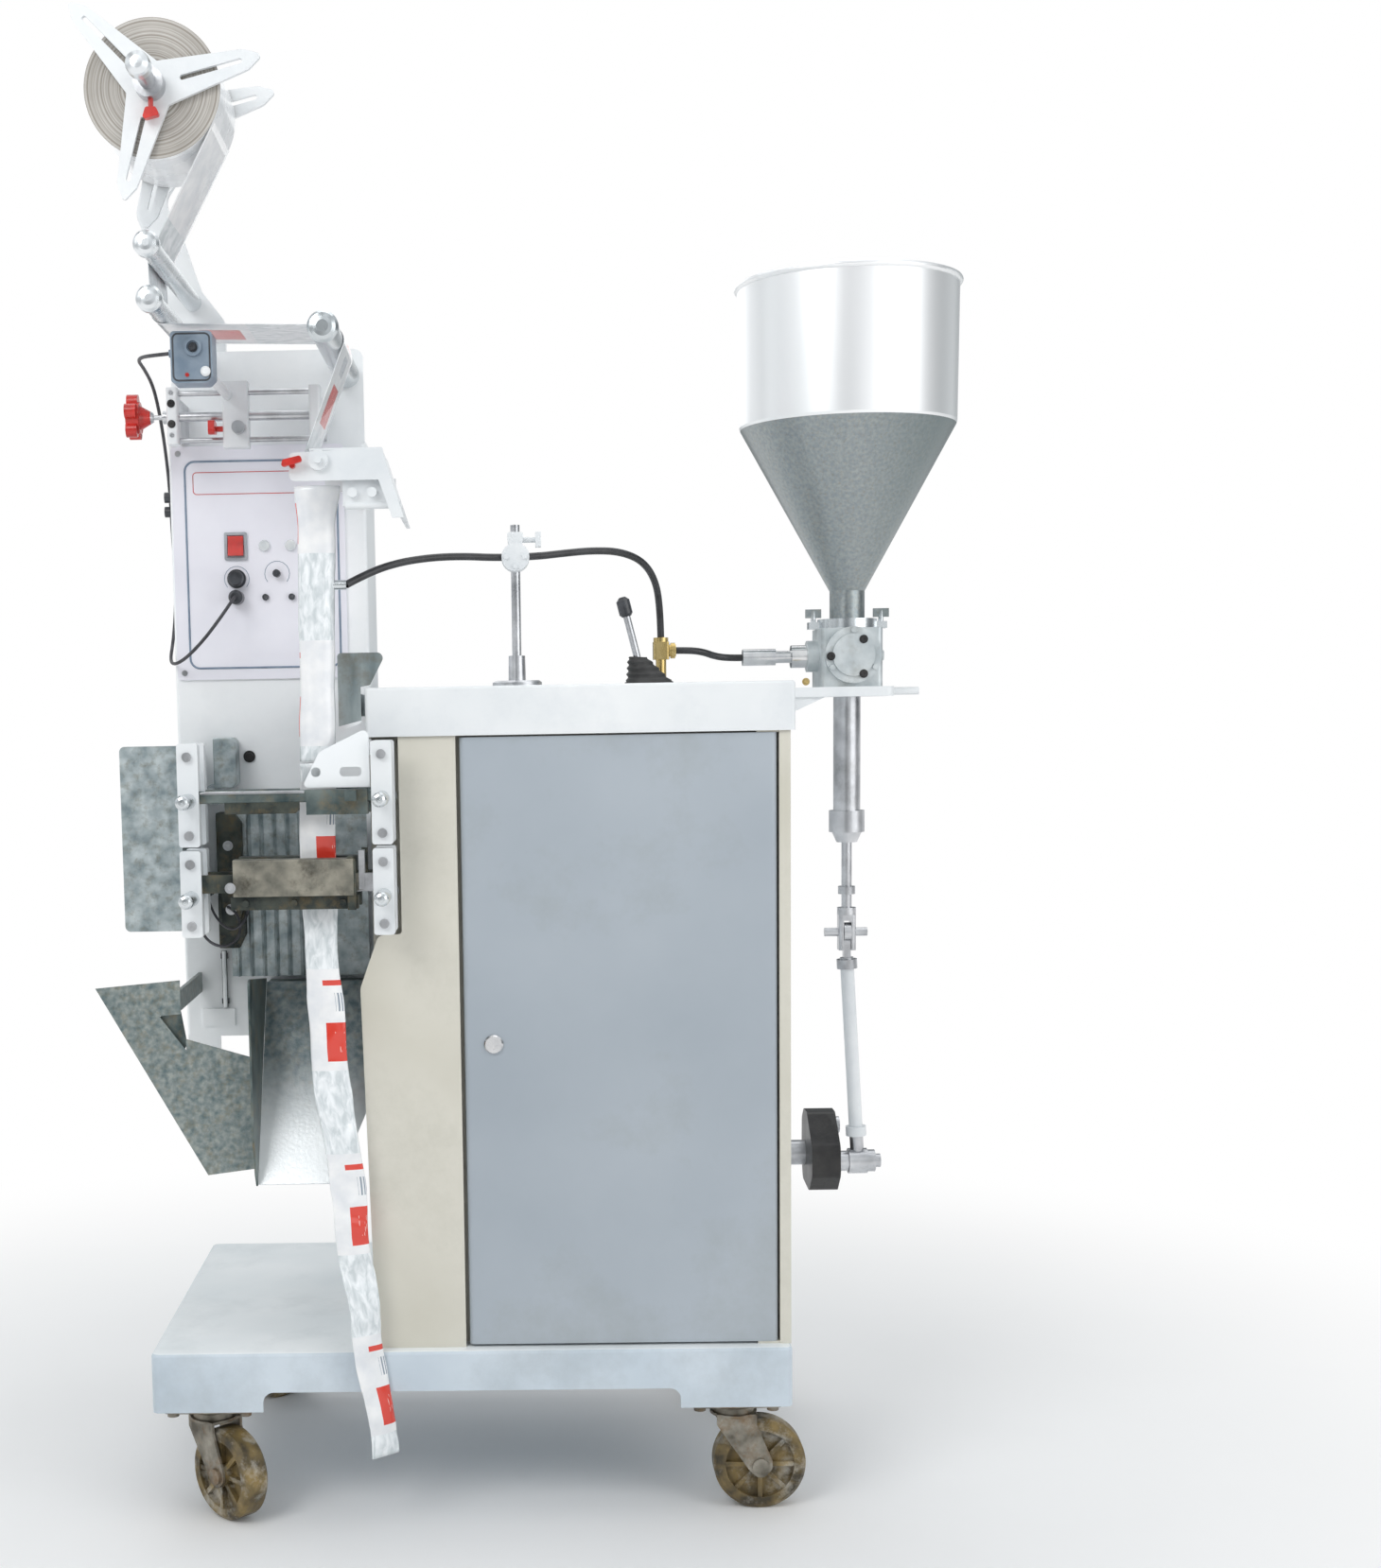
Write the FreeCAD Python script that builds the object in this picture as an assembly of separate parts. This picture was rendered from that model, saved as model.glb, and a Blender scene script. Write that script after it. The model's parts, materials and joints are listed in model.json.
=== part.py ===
import FreeCAD, Part
import math
import os

V = FreeCAD.Vector
X_AXIS, Y_AXIS, Z_AXIS = V(1, 0, 0), V(0, 1, 0), V(0, 0, 1)

# Liquid form, fill and seal machine for small pouches, on a wheeled trolley.
# Millimetres. X runs to the operator's right, Y away from the operator, Z up.
# The origin is on the floor, at the middle of the trolley.

# Fits
TOUCH_GAP = 0.3          # between faces of different moving bodies
RUNNING_FIT = 0.05       # radial clearance of a shaft in its bore

# Trolley
BASE_LENGTH = 700.0
BASE_DEPTH = 470.0
BASE_TOP = 195.0         # platform above the floor
SKIRT_HEIGHT = 66.0
BASE_SHEET = 3.0
BASE_CORNER = 8.0        # radius of the upright corners
BASE_EDGE = 4.0          # radius of the top edge
FOOT_LENGTH = 122.0      # skirt that stays full height at each end
FOOT_DEPTH = 112.0
RECESS_RISE = 22.0
RECESS_RADIUS = 12.0
PAD_THICKNESS = 5.0
RIB_WIDTH = 40.0
RIB_DEPTH = 24.0
RIB_SPREAD = 110.0       # stiffening rib to the middle

# Casters
WHEEL_RADIUS = 51.0
WHEEL_WIDTH = 30.0
TREAD = 9.0
WHEEL_POCKET = 7.0       # depth of the pockets between the spokes
SPOKES = 8
SPOKE_WIDTH = 5.0
HUB_RADIUS = 13.0
AXLE_RADIUS = 5.0
CASTER_TRAIL = 28.0
CASTER_INSET_X = 60.0
CASTER_INSET_Y = 50.0
CASTER_PLATE = 4.0
CASTER_PLATE_LENGTH = 100.0
CASTER_PLATE_WIDTH = 84.0
RACE_RADIUS = 27.0
RACE_HEIGHT = 7.0
FORK_SHEET = 3.0
FORK_CLEARANCE = 5.0     # wheel to the crown of the fork
FORK_GAP = 0.6           # wheel hub to each leg
KING_PIN_RADIUS = 5.0
BOLT_RADIUS = 4.0
BOLT_HEAD_RADIUS = 6.5
BOLT_HEAD = 5.0

# Cabinet
CABINET_LEFT = -98.0
CABINET_RIGHT = 350.0
CABINET_FRONT = -220.0   # face of the door
CABINET_BACK = 218.0
CABINET_SHEET = 2.0
FRAME_SETBACK = 22.0     # door face to the front frame
DOOR_TOP = 860.0
COVER_BOTTOM = 862.0
COVER_TOP = 914.0
COVER_SIDE = 5.0         # cover past the right wall
COVER_FRONT = 4.0        # cover past the door
COVER_RADIUS = 4.0
POST_WIDTH = 12.0        # fixed strip right of the door
FRAME_LIP = 10.0         # front frame behind the edges of the door
DOOR_LEFT = -1.0
DOOR_GAP = 2.0
DOOR_SILL = 3.0
DOOR_DEPTH = 18.5
DOOR_RADIUS = 6.0
HINGE_INSET = 8.0        # hinge pin from the door's right edge and face
HINGE_RADIUS = 4.0
HINGE_LENGTH = 16.0
PANEL_EDGE = 14.0        # fixed front panel past the left wall
NOTCH_FROM_LEFT = 46.0   # jaw notch in the fixed panel
NOTCH_BOTTOM = 651.0
NOTCH_SLOPE_LEFT = 21.0
NOTCH_SLOPE_DROP = 58.0
LOCK_X = 30.5
LOCK_Z = 530.0
LOCK_HEAD_RADIUS = 10.5
LOCK_BARREL_RADIUS = 8.0
LOCK_CAM_LENGTH = 44.0
LOCK_CAM_WIDTH = 16.0
LOCK_CAM = 3.0

# Column beside the cabinet
COLUMN_LEFT = -324.0
COLUMN_RIGHT = -104.0
COLUMN_FRONT = -75.0
COLUMN_BACK = 65.0
COLUMN_BOTTOM = 521.0
COLUMN_TOP = 1190.0
COLUMN_SHEET = 3.0
FILM_PLATE_TOP = 1290.0
FILM_PLATE_RADIUS = 10.0
PANEL_BOTTOM = 928.0
PANEL_TOP = 1187.0
PANEL_LEFT = -321.0
PANEL_RIGHT = -128.0
PANEL_SHEET = 3.0
SCREW_RADIUS = 3.2
SCREW_HEAD = 1.6
SCREW_INSET = 8.0

# Controls on the panel
ROCKER_X = -251.0
ROCKER_Z = 1076.0
ROCKER_BEZEL_WIDTH = 25.5
ROCKER_BEZEL_HEIGHT = 31.0
ROCKER_BEZEL = 2.5
ROCKER_WIDTH = 18.0
ROCKER_HEIGHT = 24.0
ROCKER_TILT = 9.0
ROCKER_AXIS = 2.0         # pivot to the panel's face
SPEED_KNOB_Z = 1040.0
SPEED_KNOB_RADIUS = 9.5
SPEED_KNOB_LENGTH = 14.0
PLUG_Z = 1019.0
PLUG_RADIUS = 8.0
PLUG_LENGTH = 20.0
LAMP_X = (-219.0, -189.5)
LAMP_RADIUS = 6.5
LAMP_LENGTH = 4.0
POT_X = -205.5
POT_Z = 1045.0
POT_RADIUS = 4.2
POT_LENGTH = 9.0
SOCKET_RADIUS = 3.6
SOCKET_LENGTH = 4.0

# Film path
FILM_Y = -240.0          # middle of the film
FILM_WIDTH = 110.0
FILM_SHEET = 0.8
ROLLER_FRONT = -370.0    # domed ends of the rollers
ROLLER_1 = (-291.0, 1343.0)
ROLLER_2 = (-290.0, 1291.0)
ROLLER_3 = (-122.0, 1261.0)
ROLLER_SMALL = 10.0
ROLLER_LARGE = 14.0
ROLLER_CAP = 3.0         # the domed cap stands past the tube all round
ROLLER_BORE = 6.0
PIN_HEAD = 4.0

# Film roll on its spindle
SPINDLE = (-292.0, 1508.0)
SPINDLE_RADIUS = 8.0
SPINDLE_FRONT = -380.0
ROLL_RADIUS = 68.0
CORE_RADIUS = 38.0
SPIDER_REACH = 112.0
SPIDER_ANGLE = 14.0
SPIDER_THICKNESS = 5.0
SPIDER_HUB = 17.0
SPIDER_TIP = 7.0
SPIDER_ROOT = 24.0
SPIDER_SLOT = 5.0
COLLAR_RADIUS = 15.0
COLLAR_LENGTH = 18.0
SPINDLE_KNOB = 12.0
BEARING_RADIUS = 23.0
BEARING_LENGTH = 34.0
ARM_THICKNESS = 10.0
ARM_HALF_WIDTH = 20.0

# Photo sensor and its slide
SLIDE_Y = -140.0
SLIDE_LEFT = -312.0
SLIDE_RIGHT = -146.0
SLIDE_PLATE = 12.0
SLIDE_BOTTOM = 1180.0
SLIDE_TOP = 1240.0
SLIDE_DEPTH = 26.0
SLIDE_ROD = 3.0
SLIDE_ROD_SPREAD = 25.0  # rod to the screw
SCREW_ROD = 5.0
STAR_RADIUS = 25.0
STAR_LENGTH = 18.0
STAR_X = -347.0
CARRIAGE_X = -238.0
CARRIAGE_WIDTH = 28.0
CARRIAGE_DEPTH = 18.0
CARRIAGE_MARGIN = 6.0
SENSOR_WIDTH = 44.0
SENSOR_HEIGHT = 60.0
SENSOR_DEPTH = 22.0
SENSOR_X = -283.0
SENSOR_Z = 1275.0
LENS_RADIUS = 9.0

# Former and filling tube
TUBE_X = -141.0
TUBE_RADIUS = 9.5
TUBE_WALL = 1.5
TUBE_TOP = 1112.0
TUBE_BOTTOM = 836.0
HOOD_TOP = 1153.0
HOOD_LEFT = -152.0
HOOD_RIGHT_TOP = -72.0
HOOD_RIGHT_BOTTOM = -50.0
HOOD_BOTTOM = 1083.0
HOOD_FRONT = -304.0
HOOD_SHEET = 2.0
HOOD_FASCIA = 32.0
FORMER_BLOCK_LEFT = -124.0
FORMER_BLOCK_BOTTOM = 1096.0
FORMER_STEM = 12.0

# Sheet guides beside the tube
GUARD_LEFT = -128.0
GUARD_RIGHT = -76.0
GUARD_TOP = 951.0
GUARD_BOTTOM = 868.0
GUARD_SHEET = 2.0
SLOT_PLATE_LEFT = -165.0
SLOT_PLATE_RIGHT = -94.0
SLOT_PLATE_TOP = 873.0
SLOT_PLATE_BOTTOM = 811.0
SLOT_PLATE_FRONT = -262.0
SLOT_PLATE_SHEET = 3.0

# Sealing jaws on their guide rods
ROD_LEFT = -283.0
ROD_RIGHT = -81.0
ROD_RADIUS = 8.0
ROD_FRONT = -312.0
UPPER_ROD_Z = 799.0
LOWER_ROD_Z = 697.0
YOKE_WIDTH = 22.0
YOKE_DEPTH = 16.0
YOKE_GAP = 4.0           # upper yoke to lower yoke
UPPER_YOKE_TOP = 859.0
UPPER_YOKE_BOTTOM = 751.0
LOWER_YOKE_BOTTOM = 656.0
JAW_OPENING = 14.0       # each jaw's face to the film, opened
JAW_TRAVEL = 12.0
JAW_BAR_DEPTH = 26.0
SEAL_JAW_TOP = 737.0
SEAL_JAW_BOTTOM = 684.0
SEAL_JAW_LEFT = -238.0
SEAL_JAW_RIGHT = -112.0
SEAM_BAR_Z = 805.0
SEAM_BAR_HEIGHT = 13.0
SEAM_BAR_RIGHT = -160.0
SEAM_FOOT = 90.0         # upright sealing face of the seam bar

# Guards round the jaws
SIDE_GUARD_LEFT = -367.0
SIDE_GUARD_TOP = 856.0
SIDE_GUARD_BOTTOM = 656.0
SIDE_GUARD_FRONT = -200.0
RIBBED_LEFT = -266.0
RIBBED_RIGHT = -110.0
RIBBED_TOP = 782.0
RIBBED_BOTTOM = 593.0
RIBBED_PITCH = 14.5
RIBBED_SPREAD = 90.0      # width of the ribs' field
RIBBED_DEPTH = 5.0

# Discharge chute
CHUTE_TOP = 600.0
CHUTE_BOTTOM = 384.0
CHUTE_BACK = -112.0
CHUTE_FRONT = -262.0
CHUTE_LEFT = -226.0
CHUTE_RIGHT = -110.0
CHUTE_WALL = 60.0
CHUTE_SHEET = 2.0
WING_LEFT = -395.0
WING_TOP = 599.0
WING_FOOT_LEFT = -280.0
WING_NOTCH = 544.0
WING_Y = -230.0

# Pouches
POUCH_WIDTH = 48.0
POUCH_BULGE = 7.0
STRIP_END = 84.0
STRIP_DRIFT = 46.0

# Hose stand and clutch lever on the cover
STAND_X = 62.0
STAND_Y = -140.0
STAND_BASE_RADIUS = 27.0
STAND_BASE = 6.0
STAND_SOCKET_RADIUS = 9.5
STAND_SOCKET = 27.0
STAND_ROD = 5.0
STAND_TOP = 1064.0
CLAMP_Z = 1052.0
CLAMP_RADIUS = 15.0
CLAMP_DEPTH = 32.0
LEVER_X = 209.0
LEVER_Y = -100.0
BOOT_RADIUS = 25.0
BOOT_TOP = 10.0
BOOT_HEIGHT = 30.0
LEVER_ROD = 4.0
LEVER_LENGTH = 78.0
LEVER_LEAN = 14.0
LEVER_KNOB = 7.5
LEVER_KNOB_LENGTH = 22.0

# Hoses
HOSE_RADIUS = 4.0
FITTING_RADIUS = 8.0

# Hopper, valve and pump
PUMP_X = 445.0
PUMP_Y = 0.0
HOPPER_RIM = 1361.0
HOPPER_RADIUS = 125.0
HOPPER_SEAM = 1203.0
HOPPER_NECK_TOP = 1018.0
HOPPER_NECK_RADIUS = 20.0
HOPPER_FLANGE_TOP = 986.0
HOPPER_FLANGE_RADIUS = 34.0
HOPPER_SHEET = 1.5
HOPPER_BEAD = 3.5
VALVE_TOP = 975.0
BRACKET_TOP = 908.0
BRACKET_THICKNESS = 11.0
BRACKET_DEPTH = 110.0
BRACKET_REACH = 46.0     # plate past the pump's axis
TONGUE_LENGTH = 37.0
TONGUE_RADIUS = 4.5
VALVE_WIDTH = 70.0
VALVE_DEPTH = 80.0
VALVE_COVER_RADIUS = 32.0
VALVE_COVER = 7.0
VALVE_BORE = 14.0
OUTLET_Z = 944.0
OUTLET_NUT_RADIUS = 13.0
OUTLET_NUT = 20.0
OUTLET_PIPE_RADIUS = 7.0
OUTLET_PIPE = 26.0
CONNECTOR_RADIUS = 9.5
CONNECTOR_LENGTH = 38.0
CYLINDER_RADIUS = 15.5
CYLINDER_BOTTOM = 765.0
CYLINDER_WALL = 2.5
GLAND_RADIUS = 20.5
GLAND_BOTTOM = 740.0
GLAND_TAPER = 12.0
PISTON_ROD_RADIUS = 6.0
PISTON_HEAD = 18.0
CLEVIS_PIN_Z = 622.0
CLEVIS_WIDTH = 20.0
CLEVIS_HEIGHT = 42.0
CLEVIS_SLOT = 9.0
PIN_RADIUS = 5.0
PIN_LEFT = 26.0
PIN_RIGHT = 24.0
STROKE_RADIUS = 50.0     # crank arm of the pump
STROKE_ANGLE = 18.0      # each way
CON_ROD_RADIUS = 8.0
CON_ROD_OFFSET = 13.0    # foot of the connecting rod right of its head
CRANK_Z = 348.0
CRANK_SHAFT_RADIUS = 9.0
CRANK_LEFT = 402.0
CRANK_RIGHT = 436.0
CRANK_PIN_END = 487.0

# Drive inside the cabinet
MOTOR_X = 250.0
MOTOR_Y = 90.0
MOTOR_Z = 275.0
MOTOR_RADIUS = 62.0
MOTOR_LENGTH = 150.0
CAM_SHAFT_Y = 50.0
CAM_SHAFT_Z = 560.0
CAM_SHAFT_RADIUS = 12.0
CAM_SHAFT_LEFT = -60.0
CAM_SHAFT_RIGHT = 250.0
PULLEY_X = 120.0
PULLEY_WIDTH = 22.0
SMALL_PULLEY = 28.0
LARGE_PULLEY = 112.0
BELT_THICKNESS = 7.0
CAM_RADIUS = 38.0
CAM_LIFT = 14.0
CAM_WIDTH = 14.0
CAM_X = (-30.0, 10.0, 50.0)


def box(x0, x1, y0, y1, z0, z1):
    return Part.makeBox(x1 - x0, y1 - y0, z1 - z0, V(x0, y0, z0))


def rod(start, axis, radius, length):
    return Part.makeCylinder(radius, length, V(*start), V(*axis))


def tube(start, axis, radius, bore, length):
    return rod(start, axis, radius, length).cut(rod(start, axis, bore, length))


def cone(start, axis, radius_0, radius_1, length):
    return Part.makeCone(radius_0, radius_1, length, V(*start), V(*axis))


def union(first, *others):
    return first.fuse(list(others)).removeSplitter() if others else first


def outline(points, radii=0.0):
    """Closed wire through the points, each corner rounded by its radius."""
    count = len(points)
    if not isinstance(radii, (list, tuple)):
        radii = [radii] * count
    corners = []
    for i, point in enumerate(points):
        before, after = points[i - 1], points[(i + 1) % count]
        back = (before - point).normalize()
        ahead = (after - point).normalize()
        half = back.getAngle(ahead) / 2
        if radii[i] <= 0 or abs(half - math.pi / 2) < 1e-4:
            corners.append((point, None, point))
            continue
        room = 0.49 * min(point.distanceToPoint(before), point.distanceToPoint(after))
        reach = min(radii[i] / math.tan(half), room)
        radius = reach * math.tan(half)
        bisector = (back + ahead).normalize()
        middle = point + bisector * (radius / math.sin(half) - radius)
        corners.append((point + back * reach, middle, point + ahead * reach))
    edges = []
    for i, (start, middle, end) in enumerate(corners):
        if middle is not None:
            edges.append(Part.Arc(start, middle, end).toShape())
        following = corners[(i + 1) % count][0]
        if end.distanceToPoint(following) > 1e-6:
            edges.append(Part.LineSegment(end, following).toShape())
    return Part.Wire(edges)


def plate_xz(points, y0, y1, radii=0.0):
    """Plate upright across the machine: its outline in X and Z, between two depths."""
    wire = outline([V(x, y0, z) for x, z in points], radii)
    return Part.Face(wire).extrude(V(0, y1 - y0, 0))


def plate_yz(points, x0, x1, radii=0.0):
    wire = outline([V(x0, y, z) for y, z in points], radii)
    return Part.Face(wire).extrude(V(x1 - x0, 0, 0))


def plate_xy(points, z0, z1, radii=0.0):
    wire = outline([V(x, y, z0) for x, y in points], radii)
    return Part.Face(wire).extrude(V(0, 0, z1 - z0))


def rectangle(x0, x1, y0, y1):
    return [(x0, y0), (x1, y0), (x1, y1), (x0, y1)]


def turned(profile, centre, axis, side):
    """Solid turned about a line: the profile lists distance along it and radius."""
    base, along, out = V(*centre), V(*axis), V(*side)
    points = [base + along * a + out * r for a, r in profile]
    wire = Part.makePolygon(points + [points[0]])
    return Part.Face(wire).revolve(base, along, 360)


def turn(shape, centre, axis, angle):
    copy = shape.copy()
    copy.rotate(V(*centre), V(*axis), angle)
    return copy


def moved(shape, dx=0.0, dy=0.0, dz=0.0):
    copy = shape.copy()
    copy.translate(V(dx, dy, dz))
    return copy


def rounded_edges(shape, radius, wanted):
    edges = [e for e in shape.Edges if wanted(e)]
    return shape.makeFillet(radius, edges) if edges else shape


def upright(edge):
    a, b = edge.Vertexes[0].Point, edge.Vertexes[-1].Point
    return abs(a.x - b.x) < 1e-6 and abs(a.y - b.y) < 1e-6 and abs(a.z - b.z) > 1e-6


def at_height(z):
    def wanted(edge):
        return all(abs(v.Z - z) < 1e-6 for v in edge.Vertexes)
    return wanted


def tube_path(points, radius):
    """Round tube along straight runs joined by tangent arcs; prints its tightest arc."""
    points = [V(*p) for p in points]
    edges = []
    start = points[0]
    length = 0.0
    tightest = 1e9
    for i in range(1, len(points) - 1):
        before, point, after = points[i - 1], points[i], points[i + 1]
        back, ahead = (before - point).normalize(), (after - point).normalize()
        half_turn = (math.pi - back.getAngle(ahead)) / 2
        run = min(point.distanceToPoint(before), point.distanceToPoint(after))
        bend = 0.45 * run / math.tan(half_turn)
        reach = 0.45 * run
        tightest = min(tightest, bend)
        enter, leave = point + back * reach, point + ahead * reach
        sag = bend / math.cos(half_turn) - bend
        middle = point + (back + ahead).normalize() * sag
        edges.append(Part.LineSegment(start, enter).toShape())
        edges.append(Part.Arc(enter, middle, leave).toShape())
        start = leave
    edges.append(Part.LineSegment(start, points[-1]).toShape())
    wire = Part.Wire(edges)
    section = Part.Wire(Part.makeCircle(radius, points[0], points[1] - points[0]))
    solid = wire.makePipeShell([section], True, True)
    expected = math.pi * radius ** 2 * wire.Length
    print("  cord length %.1f, tightest arc %.1f, volume ratio %.4f"
          % (wire.Length, tightest, solid.Volume / expected))
    return solid


def save(name, *solids):
    shape = solids[0] if len(solids) == 1 else Part.Compound(list(solids))
    count = len(shape.Solids)
    if not shape.isValid() or count < 1:
        print("  CHECK", name, "valid", shape.isValid(), "solids", count)
    shape.exportStep("parts/%s.step" % name)
    print("%-20s solids %2d  volume %.0f" % (name, count, shape.Volume))


SKIRT_BOTTOM = BASE_TOP - SKIRT_HEIGHT


def base_platform():
    half_x, half_y = BASE_LENGTH / 2, BASE_DEPTH / 2
    shell = box(-half_x, half_x, -half_y, half_y, SKIRT_BOTTOM, BASE_TOP)
    shell = rounded_edges(shell, BASE_CORNER, upright)
    shell = rounded_edges(shell, BASE_EDGE, at_height(BASE_TOP))
    inner = box(-half_x + BASE_SHEET, half_x - BASE_SHEET, -half_y + BASE_SHEET,
                half_y - BASE_SHEET, SKIRT_BOTTOM, BASE_TOP - BASE_SHEET)
    inner = rounded_edges(inner, BASE_CORNER - BASE_SHEET, upright)
    shell = shell.cut(inner)
    open_x = half_x - FOOT_LENGTH
    open_y = half_y - FOOT_DEPTH
    low = SKIRT_BOTTOM - RECESS_RADIUS * 2
    high = SKIRT_BOTTOM + RECESS_RISE
    radii = [0, 0, RECESS_RADIUS, RECESS_RADIUS]
    long_recess = plate_xz([(-open_x, low), (open_x, low), (open_x, high), (-open_x, high)],
                           -half_y - 1, half_y + 1, radii)
    end_recess = plate_yz([(-open_y, low), (open_y, low), (open_y, high), (-open_y, high)],
                          -half_x - 1, half_x + 1, radii)
    shell = shell.cut([long_recess, end_recess])
    pads = []
    for sx in (-1, 1):
        for sy in (-1, 1):
            x0 = half_x - BASE_SHEET - FOOT_LENGTH + 10
            y0 = half_y - BASE_SHEET - FOOT_DEPTH + 6
            xs = sorted((sx * x0, sx * (half_x - BASE_SHEET)))
            ys = sorted((sy * y0, sy * (half_y - BASE_SHEET)))
            pads.append(box(xs[0], xs[1], ys[0], ys[1], SKIRT_BOTTOM, SKIRT_BOTTOM + PAD_THICKNESS))
    ribs = []
    for x in (-RIB_SPREAD, RIB_SPREAD):
        top = BASE_TOP - BASE_SHEET
        channel = box(x - RIB_WIDTH / 2, x + RIB_WIDTH / 2, -half_y + BASE_SHEET,
                      half_y - BASE_SHEET, top - RIB_DEPTH, top)
        hollow = box(x - RIB_WIDTH / 2 + BASE_SHEET, x + RIB_WIDTH / 2 - BASE_SHEET,
                     -half_y + BASE_SHEET, half_y - BASE_SHEET, top - RIB_DEPTH + BASE_SHEET, top)
        ribs.append(channel.cut(hollow))
    return union(shell, *pads, *ribs)


CASTER_X = BASE_LENGTH / 2 - CASTER_INSET_X
CASTER_Y = BASE_DEPTH / 2 - CASTER_INSET_Y
CASTERS = {
    "front_left": (-CASTER_X, -CASTER_Y, -45.0),
    "front_right": (CASTER_X, -CASTER_Y, 0.0),
    "back_left": (-CASTER_X, CASTER_Y, 35.0),
    "back_right": (CASTER_X, CASTER_Y, -12.0),
}
RACE_BOTTOM = SKIRT_BOTTOM - CASTER_PLATE - RACE_HEIGHT
CROWN_BOTTOM = 2 * WHEEL_RADIUS + FORK_CLEARANCE
CROWN_TOP = CROWN_BOTTOM + FORK_SHEET
HUB_HALF = WHEEL_WIDTH / 2 + 2
LEG_INNER = HUB_HALF + FORK_GAP


def caster_plate(x, y):
    half_l, half_w = CASTER_PLATE_LENGTH / 2, CASTER_PLATE_WIDTH / 2
    corners = rectangle(x - half_l, x + half_l, y - half_w, y + half_w)
    under = SKIRT_BOTTOM - CASTER_PLATE
    plate = plate_xy(corners, under, SKIRT_BOTTOM, 8.0)
    race = cone((x, y, RACE_BOTTOM), (0, 0, 1), RACE_RADIUS, RACE_RADIUS - 4, RACE_HEIGHT)
    pin = rod((x, y, CROWN_BOTTOM - 4), (0, 0, 1), KING_PIN_RADIUS, under - CROWN_BOTTOM + 4)
    head = rod((x, y, CROWN_BOTTOM - 4), (0, 0, 1), KING_PIN_RADIUS + 3, 4 - TOUCH_GAP)
    bolts = []
    for dx in (-1, 1):
        for dy in (-1, 1):
            place = (x + dx * (half_l - 10), y + dy * (half_w - 10), under - BOLT_HEAD)
            bolts.append(rod(place, (0, 0, 1), BOLT_HEAD_RADIUS, BOLT_HEAD))
    return union(plate, race, pin, head, *bolts)


def caster_fork(x, y, angle):
    """Fork pointing along +X before it is swivelled; the wheel trails by CASTER_TRAIL."""
    seat = RACE_BOTTOM - TOUCH_GAP
    wide = LEG_INNER + FORK_SHEET
    crown = rod((x, y, CROWN_BOTTOM), (0, 0, 1), RACE_RADIUS - 1, FORK_SHEET)
    crown = crown.fuse(box(x - 20, x + 24, y - wide, y + wide, CROWN_BOTTOM, CROWN_TOP))
    cup = rod((x, y, CROWN_TOP), (0, 0, 1), RACE_RADIUS - 4, seat - CROWN_TOP)
    axle_x = x + CASTER_TRAIL
    boss = AXLE_RADIUS + 8
    leg_points = [(x - 20, CROWN_TOP), (x - 20, CROWN_TOP - 12), (axle_x - boss, WHEEL_RADIUS - 4),
                  (axle_x - 4, WHEEL_RADIUS - boss), (axle_x + 4, WHEEL_RADIUS - boss),
                  (axle_x + boss, WHEEL_RADIUS - 4), (axle_x + boss, WHEEL_RADIUS + 6),
                  (x + 24, CROWN_TOP - 12), (x + 24, CROWN_TOP)]
    radii = [0, 4, 8, 8, 8, 8, 8, 4, 0]
    legs = [plate_xz(leg_points, y + LEG_INNER, y + wide, radii),
            plate_xz(leg_points, y - wide, y - LEG_INNER, radii)]
    axle = rod((axle_x, y - wide - 3, WHEEL_RADIUS), (0, 1, 0), AXLE_RADIUS, 2 * wide + 6)
    nuts = [rod((axle_x, y + side * wide - (3 if side < 0 else 0), WHEEL_RADIUS), (0, 1, 0),
                AXLE_RADIUS + 4, 3) for side in (-1, 1)]
    fork = union(crown, cup, *legs, axle, *nuts)
    bore = rod((x, y, CROWN_BOTTOM - 1), (0, 0, 1), KING_PIN_RADIUS + RUNNING_FIT, 30)
    return turn(fork.cut(bore), (x, y, 0), (0, 0, 1), angle)


def caster_wheel(x, y, angle):
    """Spoked wheel with a rounded tread, pockets on both faces."""
    axle_x = x + CASTER_TRAIL
    centre = (axle_x, y, WHEEL_RADIUS)
    half = WHEEL_WIDTH / 2
    rim = WHEEL_RADIUS - TREAD
    shoulder = 4.0
    profile = [(-HUB_HALF, AXLE_RADIUS + RUNNING_FIT), (-HUB_HALF, HUB_RADIUS),
               (-half + WHEEL_POCKET, HUB_RADIUS), (-half + WHEEL_POCKET, rim - 4),
               (-half, rim - 4), (-half, WHEEL_RADIUS - shoulder), (-half + shoulder, WHEEL_RADIUS),
               (half - shoulder, WHEEL_RADIUS), (half, WHEEL_RADIUS - shoulder), (half, rim - 4),
               (half - WHEEL_POCKET, rim - 4), (half - WHEEL_POCKET, HUB_RADIUS),
               (HUB_HALF, HUB_RADIUS), (HUB_HALF, AXLE_RADIUS + RUNNING_FIT)]
    wheel = turned(profile, centre, (0, 1, 0), (0, 0, 1))
    spokes = []
    for i in range(SPOKES // 2):
        bar = box(axle_x - rim + 3, axle_x + rim - 3, y - half + 1, y + half - 1,
                  WHEEL_RADIUS - SPOKE_WIDTH / 2, WHEEL_RADIUS + SPOKE_WIDTH / 2)
        spokes.append(turn(bar, centre, (0, 1, 0), i * 360 / SPOKES))
    bore = rod((axle_x, y - half - 5, WHEEL_RADIUS), (0, 1, 0), AXLE_RADIUS + RUNNING_FIT,
               WHEEL_WIDTH + 10)
    return turn(union(wheel, *spokes).cut(bore), (x, y, 0), (0, 0, 1), angle)


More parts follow.
